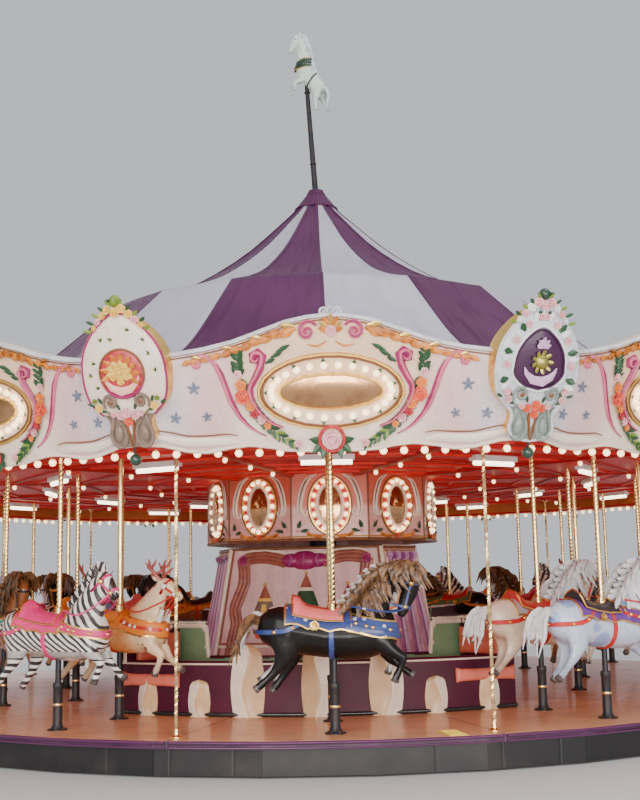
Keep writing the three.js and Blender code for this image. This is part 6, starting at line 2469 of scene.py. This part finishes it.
def clipped_cone(work, x, low, high, half, body, band, door):
    points, paints = [], []
    for j in range(CONE_ROWS + 1):
        v = j / CONE_ROWS
        wide = half * (1 - v) ** 0.92 + 0.004
        for i in range(CONE_COLUMNS + 1):
            u = i / CONE_COLUMNS * 2 - 1
            points.append((x + wide * u, low + (high - low) * v, 0.006 + wide * 0.3 * math.sqrt(1 - u * u)))
    for j in range(CONE_ROWS):
        for i in range(CONE_COLUMNS):
            paints.append(band if j == 7 else C_RUST if j > 7 else door if i in (3, 4) and j < 6 else body)
    work.add(points, grid_faces(CONE_ROWS, CONE_COLUMNS), paints)
    work.add(*dome((x, high + 0.012, 0.012), OUT, 0.018, 0.016, 3, 8, True), C_GOLD)
    work.add(*tube([(x - half, low, 0.012), (x + half, low, 0.012)], 0.009, 6), C_BROWN)


def gathered(work, line, radius, paint):
    """A hanging drape: three rounded folds that run side by side along one line."""
    path = flat_line(line, 5)
    for fold in range(3):
        shift = (fold - 1) * radius
        folded = [(p.x - along.y * shift, p.y + along.x * shift, 0.01 + 0.006 * math.sin(i * 0.9 + fold))
                  for i, (p, along) in enumerate(zip(path, ways_along(path)))]
        work.add(*tube(folded, radius * 0.62, 7, flat=0.7, normal=OUT), paint)


DRAPE_TOP = [(0.2, 1.42), (0.32, 1.455), (0.45, 1.475), (0.58, 1.465), (0.665, 1.43)]
DRAPE_SIDE = [(0.665, 1.45), (0.65, 1.34), (0.645, 1.22), (0.69, 1.08), (0.74, 0.95), (0.72, 0.8), (0.75, 0.62),
              (0.78, 0.45), (0.76, 0.25)]
DRAPE_CORD = [(0.07, 1.505), (0.24, 1.525), (0.43, 1.545), (0.6, 1.54), (0.72, 1.51)]


def cross_rails(work, half_angle, rails):
    for y, radius, paint in rails:
        reach = board_edge(half_angle, y) - 0.004
        work.add(*tube([(-reach, y, 0.004), (reach, y, 0.004)], radius, 8), paint)


def wide_board():
    work = Carving()
    edge = [(board_edge(SCENERY_WIDE, y), y) for y in (0.03, 0.8, 1.56)]
    for side in (1, -1):
        work.add(*tube([(side * (x - 0.02), y, 0.006) for x, y in edge], 0.022, 8, normal=OUT), C_CREAM)
        work.add(*tube([(side * (x - 0.052), y, 0.003) for x, y in edge], 0.011, 6, normal=OUT), C_RUST)
        gathered(work, sided(side, DRAPE_TOP), 0.04, C_RUST)
        gathered(work, sided(side, DRAPE_SIDE), 0.04, C_RUST)
        work.add(*rose((side * 0.66, 1.44, 0.02), OUT, 0.055, FULL_ROSE), C_MAGENTA)
        flat_strand(work, sided(side, DRAPE_CORD), [0.004, 0.012, 0.012, 0.012, 0.004], C_CREAM, 0.01)
        for k in range(5):
            x = side * (0.08 + 0.135 * k)
            work.add(
                *leaf((x, 0.66, 0.004), (side * 0.6, 1, 0), OUT, 0.1, 0.04, 0.25, 2, 0.003, 4), C_GREEN
            )
            work.add(
                *leaf((x, 0.66, 0.004), (side * -0.6, 1, 0), OUT, 0.09, 0.036, 0.25, 2, 0.003, 4), C_LIME
            )
            work.add(*rose((x, 0.665, 0.012), OUT, 0.028, ROSE), C_CORAL if k % 2 else C_PINK)
    for x, wide, tall in ((0, 0.17, 0.1), (0.14, 0.12, 0.075), (-0.14, 0.12, 0.075)):
        points, faces = dome((0, 0, 0), OUT, 1.0, 1.0, 4, 16)
        work.add(
            [(x + p.x * wide, 1.435 + p.y * tall, 0.004 + p.z * 0.045) for p in points], faces, C_MAGENTA
        )
    for x in (-0.1, 0.0, 0.1):
        flat_strand(
            work, [(x * 1.6, 1.5), (x * 1.3, 1.44), (x * 1.6, 1.37)], [0.004, 0.009, 0.004], C_VIOLET, 0.046
        )
    clipped_cone(work, 0.02, 0.88, 1.29, 0.165, C_GREEN, C_CREAM, C_GREEN)
    clipped_cone(work, -0.42, 0.79, 1.18, 0.16, C_TAUPE, C_BUTTER, C_BUTTER)
    clipped_cone(work, 0.46, 0.79, 1.18, 0.16, C_TAUPE, C_BUTTER, C_TAUPE)
    cross_rails(work, SCENERY_WIDE, ((1.562, 0.016, C_BROWN), (0.56, 0.016, C_CREAM), (0.59, 0.008, C_RUST),
                                     (0.03, 0.03, C_MAGENTA), (0.09, 0.012, C_CREAM)))
    for k in range(11):
        x = -0.775 + 0.155 * k
        rib = tube([(x, 0.13, 0.002), (x, 0.5, 0.002)], [0.02, 0.034, 0.034, 0.02], 8, flat=0.5, normal=OUT)
        work.add(*rib, C_PINK if k % 2 else C_CREAM)
    return work


def narrow_board():
    work = Carving()
    for k in range(9):
        share = (k - 4) / 4
        line = [(0.21, 1.47), (0.18, 1.25), (0.225, 0.9), (0.245, 0.5), (0.265, 0.16)]
        widths = [0.021, 0.019, 0.032, 0.034, 0.038]
        paint = (C_PINK, C_VIOLET, C_LILAC)[k % 3]
        flat_strand(work, [(share * x, y) for x, y in line], widths, paint, 0.006, 0.7)
    for k in range(7):
        x = (k - 3) * 0.064
        work.add(
            *rose((x, 1.48 - 0.01 * (k % 2), 0.022), OUT, 0.044, ROSE, k), C_VIOLET if k % 2 else C_LILAC
        )
    cross_rails(
        work, SCENERY_NARROW, ((1.562, 0.016, C_BROWN), (1.53, 0.009, C_GOLD), (0.05, 0.03, C_MAGENTA))
    )
    return work


print("a cone is a grid of", CONE_ROWS, "by", CONE_COLUMNS, "faces")

# %% Hang the scenery
wide_mesh = wide_board().mesh("wide_scenery", SCENERY_PAINTS)
narrow_mesh = narrow_board().mesh("narrow_scenery", SCENERY_PAINTS)
for k, side in enumerate(("front", "right", "left")):
    dress(f"scenery_{side}", SCENERY_PINK)
    wide_place = leaning_place(SCENERY_TURN + 120 * k, SCENERY_WIDE)
    narrow_place = leaning_place(SCENERY_TURN + 60 + 120 * k, SCENERY_NARROW)
    hang(f"wide_relief_{side}", wide_mesh, "base", wide_place)
    hang(f"narrow_relief_{side}", narrow_mesh, "base", narrow_place)
print("a wide board has", triangles(wide_mesh), "triangles")

# %% [markdown]
# The housing above the scenery needs only a ground paint under its carved faces: pink below, coral above.

# %% Ground paint of the housing
def housing_ground():
    made, w, shader = new_finish("housing_ground_paint", 0.36, coat=0.3)
    place = place_of(w)
    z = w.math("ADD", w.parts(place)[2], w.math("MULTIPLY", w.noise(place, 2.0), 0.12))
    body = w.mix(w.ramp(z, 2.12, 2.2), (0.76, 0.4, 0.36), (0.72, 0.13, 0.07))
    body = w.mix(w.ramp(z, 1.88, 1.8), body, (0.82, 0.6, 0.5))
    paint_over(w, shader, place, body, (0.5, 0.09, 0.06), 0.36, 4.0, 0.3, 0.2, 0.2)
    return made


dress("upper_housing", housing_ground())
print("the upper housing is painted")

# %% [markdown]
# ## The chariots
# Two tubs stand at the front and two at the back for riders who would rather sit. Petal-shaped cream panels, each
# folded along an S-curved ridge with painted shade in tan on one side of the fold, stand before a maroon side with
# a coral pad along it, and a green back under a beaded edge rises behind the bench and along its inner side. Seats
# are
# stuffed: each is blown up as cloth before it is laid down.

# %% Walls, petals and beads
TUB_OUTER, TUB_INNER, TUB_WALL, TUB_HIGH, TUB_BACK = 3.17, 2.43, 0.034, 0.69, 1.0
TUB_TURN, TUB_FROM, TUB_TO, BENCH_FROM, RISE_FROM, END_FROM = -2.2, 1.0, 32.0, 21.5, 24.0, 31.2
MAROON = enamel("chariot_maroon", (0.07, 0.003, 0.02), (0.035, 0.002, 0.014), 0.42, 0.06, 6, specular=0.25)
COVE_GREEN = enamel("chariot_green", (0.2, 0.34, 0.18), (0.12, 0.24, 0.12), 0.4, 0.3, 6)
# The tan is painted shade: the far side of each folded petal. The petals' rim walls are painted in it too.
PETAL_SHADE = enamel("petal_tan_shade", (0.66, 0.42, 0.22), (0.5, 0.28, 0.12), 0.34, 0.3, 7)
BLACK = enamel("black_bead", (0.01, 0.01, 0.012), (0.03, 0.02, 0.02), 0.25, 0.6)
TUB_PAINTS = [MAROON, COVE_GREEN, CREAM, PETAL_SHADE, GOLD, BLACK, ROSE_CORAL]
B_MAROON, B_GREEN, B_CREAM, B_PETAL_SHADE, _, B_BLACK, _ = range(len(TUB_PAINTS))
PETAL_ROWS, PETAL_HALF, PETAL_SHOULDER, PETAL_THICK = 16, 5, 0.78, 0.022


def arc_wall(work, near, far, angles, low, tops, paint_near, paint_far):
    points = []
    for angle, top in zip(angles, tops):
        points += [spot(r, angle, z) for r, z in ((near, low), (far, low), (far, top), (near, top))]
    count = len(angles)
    paints = [paint_far, paint_far, paint_far, paint_near] * (count - 1) + [paint_far] * 2
    work.add(points, ring_faces(count, 4) + cap_faces(count, 4), paints)


def petal_half(v):
    """Half the width of a petal at a share of its height: a slight belly, then a round shoulder."""
    if v < PETAL_SHOULDER:
        return 0.84 + 0.16 * math.sin(math.pi * min(1.0, v / 0.8))
    return math.sqrt(max(0.0, 1 - ((v - PETAL_SHOULDER) / 0.22) ** 2)) * 0.86


def petal(work, angle, wide, tall, out=TUB_OUTER):
    place = upright(angle, out, DECK_TOP)
    points = []
    for j in range(PETAL_ROWS + 1):
        v = j / PETAL_ROWS
        half = wide / 2 * petal_half(v)
        split = 0.35 * math.sin(5.2 * v - 0.4) * (1 - v * 0.4)
        left = [-1 + (split + 1) * i / PETAL_HALF for i in range(PETAL_HALF + 1)]
        right = [split + (1 - split) * i / PETAL_HALF for i in range(1, PETAL_HALF + 1)]
        for u in left + right:
            ridge = 0.016 * math.exp(-(((u - split) / 0.35) ** 2))
            points.append(place @ Vector((half * u, tall * v, 0.006 + 0.02 * (1 - u * u) + ridge)))
    rim, under = grid_rim(PETAL_ROWS, 2 * PETAL_HALF), len(points)
    back = place.to_3x3() @ Vector((0, 0, 1))
    points += [points[a] - back * PETAL_THICK for a in rim]
    # Left of the S-curved split each row is painted shade in tan, right of it cream; the rim walls are tan as well.
    paints = ([B_PETAL_SHADE] * PETAL_HALF + [B_CREAM] * PETAL_HALF) * PETAL_ROWS + [B_PETAL_SHADE] * len(rim)
    work.add(points, grid_faces(PETAL_ROWS, 2 * PETAL_HALF) + wall_faces(rim, under), paints)


def inner_top(angle):
    share = min(1.0, max(0.0, (angle - RISE_FROM) / 1.2))
    return TUB_HIGH + (TUB_BACK - TUB_HIGH) * math.sqrt(1 - (1 - share) ** 2)


def beaded_edge(work, edge, inwards):
    """A cream roll along the top of the green back, black beads on it and a row of cream drops below."""
    work.add(*tube(edge, 0.022, 8), B_CREAM)
    for p, q in zip(edge, edge[1:]):
        middle = (p + q) / 2
        work.add(*dome(middle + Vector((0, 0, 0.012)), (0, -0.9, 0.4), 0.021, 0.02, 2, 6, True), B_BLACK)
        work.add(*dome(middle + inwards - Vector((0, 0, 0.032)), inwards, 0.022, 0.012, 2, 7), B_CREAM)


def tub():
    work = Carving()
    angles = [float(a) for a in np.linspace(TUB_FROM, TUB_TO, 63)]
    middle_of_wall = TUB_INNER + TUB_WALL / 2
    level = [TUB_HIGH] * len(angles)
    arc_wall(work, TUB_OUTER - TUB_WALL, TUB_OUTER, angles, DECK_TOP, level, B_GREEN, B_MAROON)
    tops = [inner_top(a) for a in angles]
    arc_wall(work, TUB_INNER, TUB_INNER + TUB_WALL, angles, DECK_TOP, tops, B_MAROON, B_GREEN)
    work.add(*tube([spot(TUB_OUTER - TUB_WALL / 2, a, TUB_HIGH) for a in angles], 0.02, 8), B_MAROON)
    work.add(*tube([spot(TUB_OUTER + 0.002, a, TUB_HIGH - 0.006) for a in angles], 0.008, 6), B_CREAM)
    low_edge = [a for a in angles if a < RISE_FROM]
    work.add(*tube([spot(middle_of_wall, a, TUB_HIGH) for a in low_edge], 0.02, 8), B_MAROON)
    inner_edge = [spot(middle_of_wall, a, inner_top(a)) for a in angles if a > RISE_FROM - 0.3]
    beaded_edge(work, inner_edge, spot(0.021, 28, 0))
    end_angle = (END_FROM + TUB_TO) / 2
    ends = [END_FROM, TUB_TO]
    arc_wall(work, TUB_INNER + TUB_WALL, TUB_OUTER, ends, DECK_TOP, [TUB_BACK] * 2, B_GREEN, B_MAROON)
    end_edge = [spot(r, end_angle, TUB_BACK) for r in np.linspace(TUB_INNER + 0.02, TUB_OUTER - 0.01, 14)]
    beaded_edge(work, end_edge, spot(0.022, end_angle - 90, 0))
    work.add(*tube([spot(TUB_OUTER - 0.008, end_angle, z) for z in (TUB_HIGH, TUB_BACK)], 0.02, 8), B_CREAM)
    work.add(*tube([spot(TUB_OUTER + 0.004, a, 0.279) for a in angles], 0.018, 8), B_BLACK)
    bench = [float(a) for a in np.linspace(BENCH_FROM, END_FROM, 9)]
    arc_wall(
        work, TUB_INNER + TUB_WALL, TUB_OUTER - TUB_WALL, bench, DECK_TOP, [0.585] * 9, B_MAROON, B_MAROON
    )
    petal(work, 10.3, 0.29, 0.585)
    for angle in (18.0, 27.0):
        petal(work, angle, 0.2, 0.3)
    return work


def mirror_image(work):
    other = Carving().merge(work, Matrix.Diagonal((-1, 1, 1, 1)))
    other.faces = [tuple(reversed(face)) for face in other.faces]
    return other


right_tub = tub()
left_tub = mirror_image(right_tub)
petal(right_tub, 0.0, 0.25, 0.585, TUB_OUTER + 0.004)
tub_meshes = {1: right_tub.mesh("right_tub", TUB_PAINTS), -1: left_tub.mesh("left_tub", TUB_PAINTS)}
CHARIOTS = [("chariot_1", -1, 0), ("chariot_2", 1, 0), ("chariot_3", -1, 180), ("chariot_4", 1, 180)]
for name, side, turn in CHARIOTS:
    hang(
        f"{name}_tub", tub_meshes[side], "turntable", turned(turn + TUB_TURN)
    )
    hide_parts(name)
print("a tub has", triangles(tub_meshes[1]), "triangles")

# %% [markdown]
# A pad starts as a closed slab that follows its seat. It is remeshed, blown up as cloth under pressure with gravity
# off, held back so that no point moves further than a cap, and kept.

# %% Coral leather
def leather(name, colour, shade):
    made, w, shader = new_finish(name, 0.42, coat=0.15)
    place = place_of(w)
    pores = w.cells(place, 240.0)
    tone = w.mix(w.math("MULTIPLY", w.ramp(w.noise(place, 9.0, 4), 0.35, 0.7), 0.5), colour, shade)
    worn = w.mix(w.math("MULTIPLY", w.ramp(pores, 0.55, 0.2), 0.25), tone, darker(shade))
    w.feed(shader.inputs["Base Color"], worn)
    w.feed(
        shader.inputs["Roughness"], w.math("ADD", w.ramp(w.noise(place, 20.0), 0.3, 0.7, 0.0, 0.12), 0.38)
    )
    bump(w, shader, w.math("ADD", pores, w.math("MULTIPLY", w.noise(place, 30.0, 4), 0.6)), 0.3, 0.0015)
    return made


CORAL = leather("coral_leather", (0.78, 0.19, 0.12), (0.56, 0.1, 0.07))
print("one leather:", CORAL.name)

# %% Blow up a pad
def slab(near, far, angles, low, high, rows=8):
    """A closed slab between two radii, over a run of angles."""
    work = Carving()
    radii = np.linspace(near, far, rows + 1)
    n, wide = len(angles), rows + 1
    points = [spot(r, a, z) for z in (low, high) for a in angles for r in radii]
    faces, upper = [], n * wide
    for a, b, c, d in grid_faces(n - 1, rows):
        faces += [(a, b, c, d), (upper + d, upper + c, upper + b, upper + a)]
    rim = grid_rim(n - 1, rows)
    faces += [(b, a, upper + a, upper + b) for a, b in zip(rim, rim[1:] + rim[:1])]
    return work.add(points, faces)


PRESSURE = 4.0
STUFFING_FRAMES = 20


def blow_up(name, work, finish, cap, voxel):
    """A slab puffed out as cloth, with no place moved by more than the cap."""
    mesh = work.mesh(name, [finish])
    pad = bpy.data.objects.new(name, mesh)
    bpy.context.scene.collection.objects.link(pad)
    remesh = pad.modifiers.new("even", "REMESH")
    remesh.mode, remesh.voxel_size = "VOXEL", voxel
    bpy.context.view_layer.update()
    even = bpy.data.meshes.new_from_object(pad.evaluated_get(bpy.context.evaluated_depsgraph_get()))
    pad.modifiers.clear()
    pad.data = even
    rest = np.array([v.co[:] for v in even.vertices])
    cloth = pad.modifiers.new("stuffing", "CLOTH")
    cloth.settings.use_pressure = True
    cloth.settings.uniform_pressure_force = PRESSURE
    cloth.settings.effector_weights.gravity = 0
    cloth.settings.quality = 5
    cloth.point_cache.frame_start, cloth.point_cache.frame_end = 1, STUFFING_FRAMES
    for frame_number in range(1, STUFFING_FRAMES + 1):
        bpy.context.scene.frame_set(frame_number)
    shaped = pad.evaluated_get(bpy.context.evaluated_depsgraph_get()).data
    moved = np.array([v.co[:] for v in shaped.vertices]) - rest
    length = np.linalg.norm(moved, axis=1, keepdims=True)
    moved *= np.minimum(1.0, cap / np.maximum(length, 1e-9))
    pad.modifiers.clear()
    for vertex, place in zip(even.vertices, rest + moved):
        vertex.co = place
    bpy.data.objects.remove(pad)
    bpy.context.scene.frame_set(1)
    even.materials.clear()
    even.materials.append(finish)
    even.polygons.foreach_set("use_smooth", [True] * len(even.polygons))
    return even


print("a pad is blown up over", STUFFING_FRAMES, "frames")

# %% Seats, backs and side pads
def run(start, end, count):
    return [float(a) for a in np.linspace(start, end, count)]


SEAT_PADS = {
    "seat": slab(2.478, 3.122, run(BENCH_FROM + 0.25, END_FROM - 0.35, 14), 0.592, 0.652),
    "back_pad": slab(2.5, 3.1, run(END_FROM - 1.25, END_FROM - 0.35, 3), 0.68, 0.93),
    "side_pad": slab(3.166, 3.194, run(21.1, 31.7, 15), 0.487, 0.613, 2),
}
for label, work in SEAT_PADS.items():
    right = blow_up(f"{label}_pad", work, CORAL, 0.014, 0.013 if label == "side_pad" else 0.017)
    flipped = right.copy()
    flipped.transform(Matrix.Diagonal((-1, 1, 1, 1)))
    flipped.flip_normals()
    for name, side, turn in CHARIOTS:
        mesh = right if side > 0 else flipped
        piece = hang(f"{name}_{label}", mesh, "turntable", turned(turn + TUB_TURN))
print("twelve pads laid in four chariots")

# %% [markdown]
# ## The finial
# A small rearing horse in pale green and white looks left from the top of a dark pole, which leans a little. It is
# melted from lofts like the large animals, with a dark collar where the neck meets the chest.

# %% The rearing horse
REARING = {
    "torso": mm([(88, 1300, 36, 46), (66, 1352, 74, 84), (10, 1415, 86, 100), (-55, 1485, 86, 102),
                 (-108, 1555, 80, 98), (-136, 1630, 58, 78)]),
    "neck": mm([(-96, 1570, 64, 96), (-118, 1670, 54, 84), (-130, 1770, 46, 74), (-142, 1865, 39, 62),
                (-158, 1945, 34, 50), (-172, 1990, 30, 34)]),
    "head": mm([(-150, 1998, 32, 34), (-186, 1972, 38, 46), (-222, 1922, 36, 44), (-250, 1868, 27, 34),
                (-266, 1828, 23, 27), (-272, 1810, 15, 17)]),
    "reach": mm([(-95, 1520, 40, 66, 42), (-172, 1476, 30, 38, 58), (-238, 1462, 21, 25, 60),
                 (-262, 1418, 17, 19, 60), (-250, 1352, 16, 18, 60), (-236, 1306, 21, 22, 60)]),
    "tuck": mm([(-85, 1490, 40, 62, -42), (-150, 1436, 29, 36, -58), (-208, 1414, 21, 24, -60),
                (-228, 1368, 17, 19, -60), (-212, 1314, 20, 21, -60)]),
    "drive": mm([
        (55, 1352, 46, 76, 48), (98, 1268, 34, 48, 56), (126, 1196, 21, 27, 58), (146, 1138, 18, 20, 58),
        (166, 1096, 23, 22, 58)
    ]),
    "brace": mm([
        (28, 1340, 44, 70, -48), (34, 1254, 32, 44, -56), (14, 1176, 20, 25, -58), (20, 1112, 18, 20, -58),
        (34, 1070, 22, 21, -58)
    ]),
}
FINIAL_FOOT = Matrix.Translation((0, 0, 5.7005))
VERDIGRIS = enamel("pale_green_white", (0.68, 0.76, 0.66), (0.34, 0.5, 0.4), scale=7, shading=0.7)
MANE_PALE = enamel("mane_pale_blue", (0.72, 0.78, 0.82), (0.42, 0.52, 0.58), scale=20, shading=0.7)
DARK_COLLAR = enamel("dark_green_collar", (0.03, 0.07, 0.045), (0.012, 0.03, 0.02), scale=16)


def rearing_horse():
    ear_pair = [[
        (-0.15, 2.0, 0.016, 0.018, s * 0.02), (-0.152, 2.045, 0.01, 0.012, s * 0.026),
        (-0.158, 2.072, 0.003, 0.004, s * 0.028)
    ] for s in (1, -1)]
    skin = melt("rearing", [*REARING.values(), *ear_pair], 4400, 0.0085, 4)
    work = Carving().merge(skin)
    rng = random.Random(21)
    crest = smooth([
        (-0.135, 0, 2.03), (-0.1, 0, 1.93), (-0.075, 0, 1.82), (-0.055, 0, 1.72), (-0.03, 0, 1.62),
        (0.0, 0, 1.54)
    ], 3)
    for k, p in enumerate(crest):
        for side in (1, -1):
            end = p + Vector((0.055 + rng.uniform(-0.01, 0.02), side * 0.035, -0.12 - rng.uniform(0, 0.04)))
            middle = p + Vector((0.05, side * 0.022, -0.035))
            work.add(*tube(
                smooth([p + Vector((-0.02, side * 0.008, 0)), middle, end], 3),
                [0.012, 0.017, 0.013, 0.003], 6, flat=0.7, normal=(0, 1, 0)
            ), 1)
    for k in range(4):
        work.add(*tube([
            (-0.165, (k - 1.5) * 0.01, 2.02), (-0.2, (k - 1.5) * 0.016, 2.01),
            (-0.228, (k - 1.5) * 0.02, 1.965)
        ], [0.009, 0.01, 0.002], 6), 1)
    for k in range(7):
        y = (k - 3) * 0.012
        line = [
            (0.085, y * 0.5, 1.36), (0.14, y, 1.345), (0.165 + rng.uniform(-0.01, 0.012), y * 1.8, 1.25),
            (0.15 + rng.uniform(-0.02, 0.02), y * 2.2, 1.12),
            (0.125, y * 2, 1.06 + rng.uniform(-0.01, 0.03))
        ]
        work.add(*tube(smooth(line, 3), [0.014, 0.019, 0.018, 0.012, 0.002], 6, normal=(0, 1, 0)), 1)
    turns = round_angles(24)
    for z, grow, paint in (
        (1.655, 1.0, 2), (1.69, 0.96, 2), (1.62, 1.05, 2), (1.715, 0.95, 3), (1.595, 1.1, 3)
    ):
        ring = [Vector((
            -0.112 + (1.655 - z) * -0.25 + 0.092 * grow * math.cos(t), 0.062 * grow * math.sin(t),
            z + 0.02 * math.cos(t)
        )) for t in turns]
        work.add(*tube(ring, 0.02 if paint == 2 else 0.008, 6, closed=True, flat=0.6), paint)
    for side in (1, -1):
        work.add(*dome((-0.205, side * 0.034, 1.955), (0, side, 0), 0.009, 0.008, 2, 8), 2)
    girth = [Vector((
        -0.02 + 0.095 * math.cos(t) * 0.62, 0.091 * math.sin(t), 1.452 + 0.108 * math.cos(t) * 0.75
    )) for t in turns]
    work.add(*tube(girth, 0.01, 6, closed=True), 2)
    return work


def finial_pole():
    work = Carving()
    foot, head = Vector((0, 0, 0.0)), Vector((-0.084, 0, 1.42))
    work.add(*tube([foot.lerp(head, t) for t in (0, 0.33, 0.66, 1)], [0.036, 0.031, 0.028, 0.025], 14), 0)
    for share, radius, tall in (
        (0.02, 0.06, 0.05), (0.07, 0.045, 0.03), (0.3, 0.04, 0.022), (0.92, 0.037, 0.03)
    ):
        centre = foot.lerp(head, share)
        along = (head - foot).normalized()
        ring = [centre + along * (tall * s) for s in (-0.5, -0.2, 0.2, 0.5)]
        work.add(*tube(ring, [radius * 0.75, radius, radius, radius * 0.75], 14), 0)
    return work.add(*turned_profile([(0.074, 0.0), (0.074, 0.014), (0.06, 0.03), (0.05, 0.046)], 18))


horse_mesh = rearing_horse().mesh("rearing_horse", [VERDIGRIS, MANE_PALE, DARK_COLLAR, GOLD])
finial_horse = hang("finial_horse", horse_mesh, "turntable", FINIAL_FOOT)
hang("finial_pole", finial_pole().mesh("finial_pole", [STEEL]), "turntable", FINIAL_FOOT)
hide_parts("finial")
print("the finial horse has", triangles(horse_mesh), "triangles")
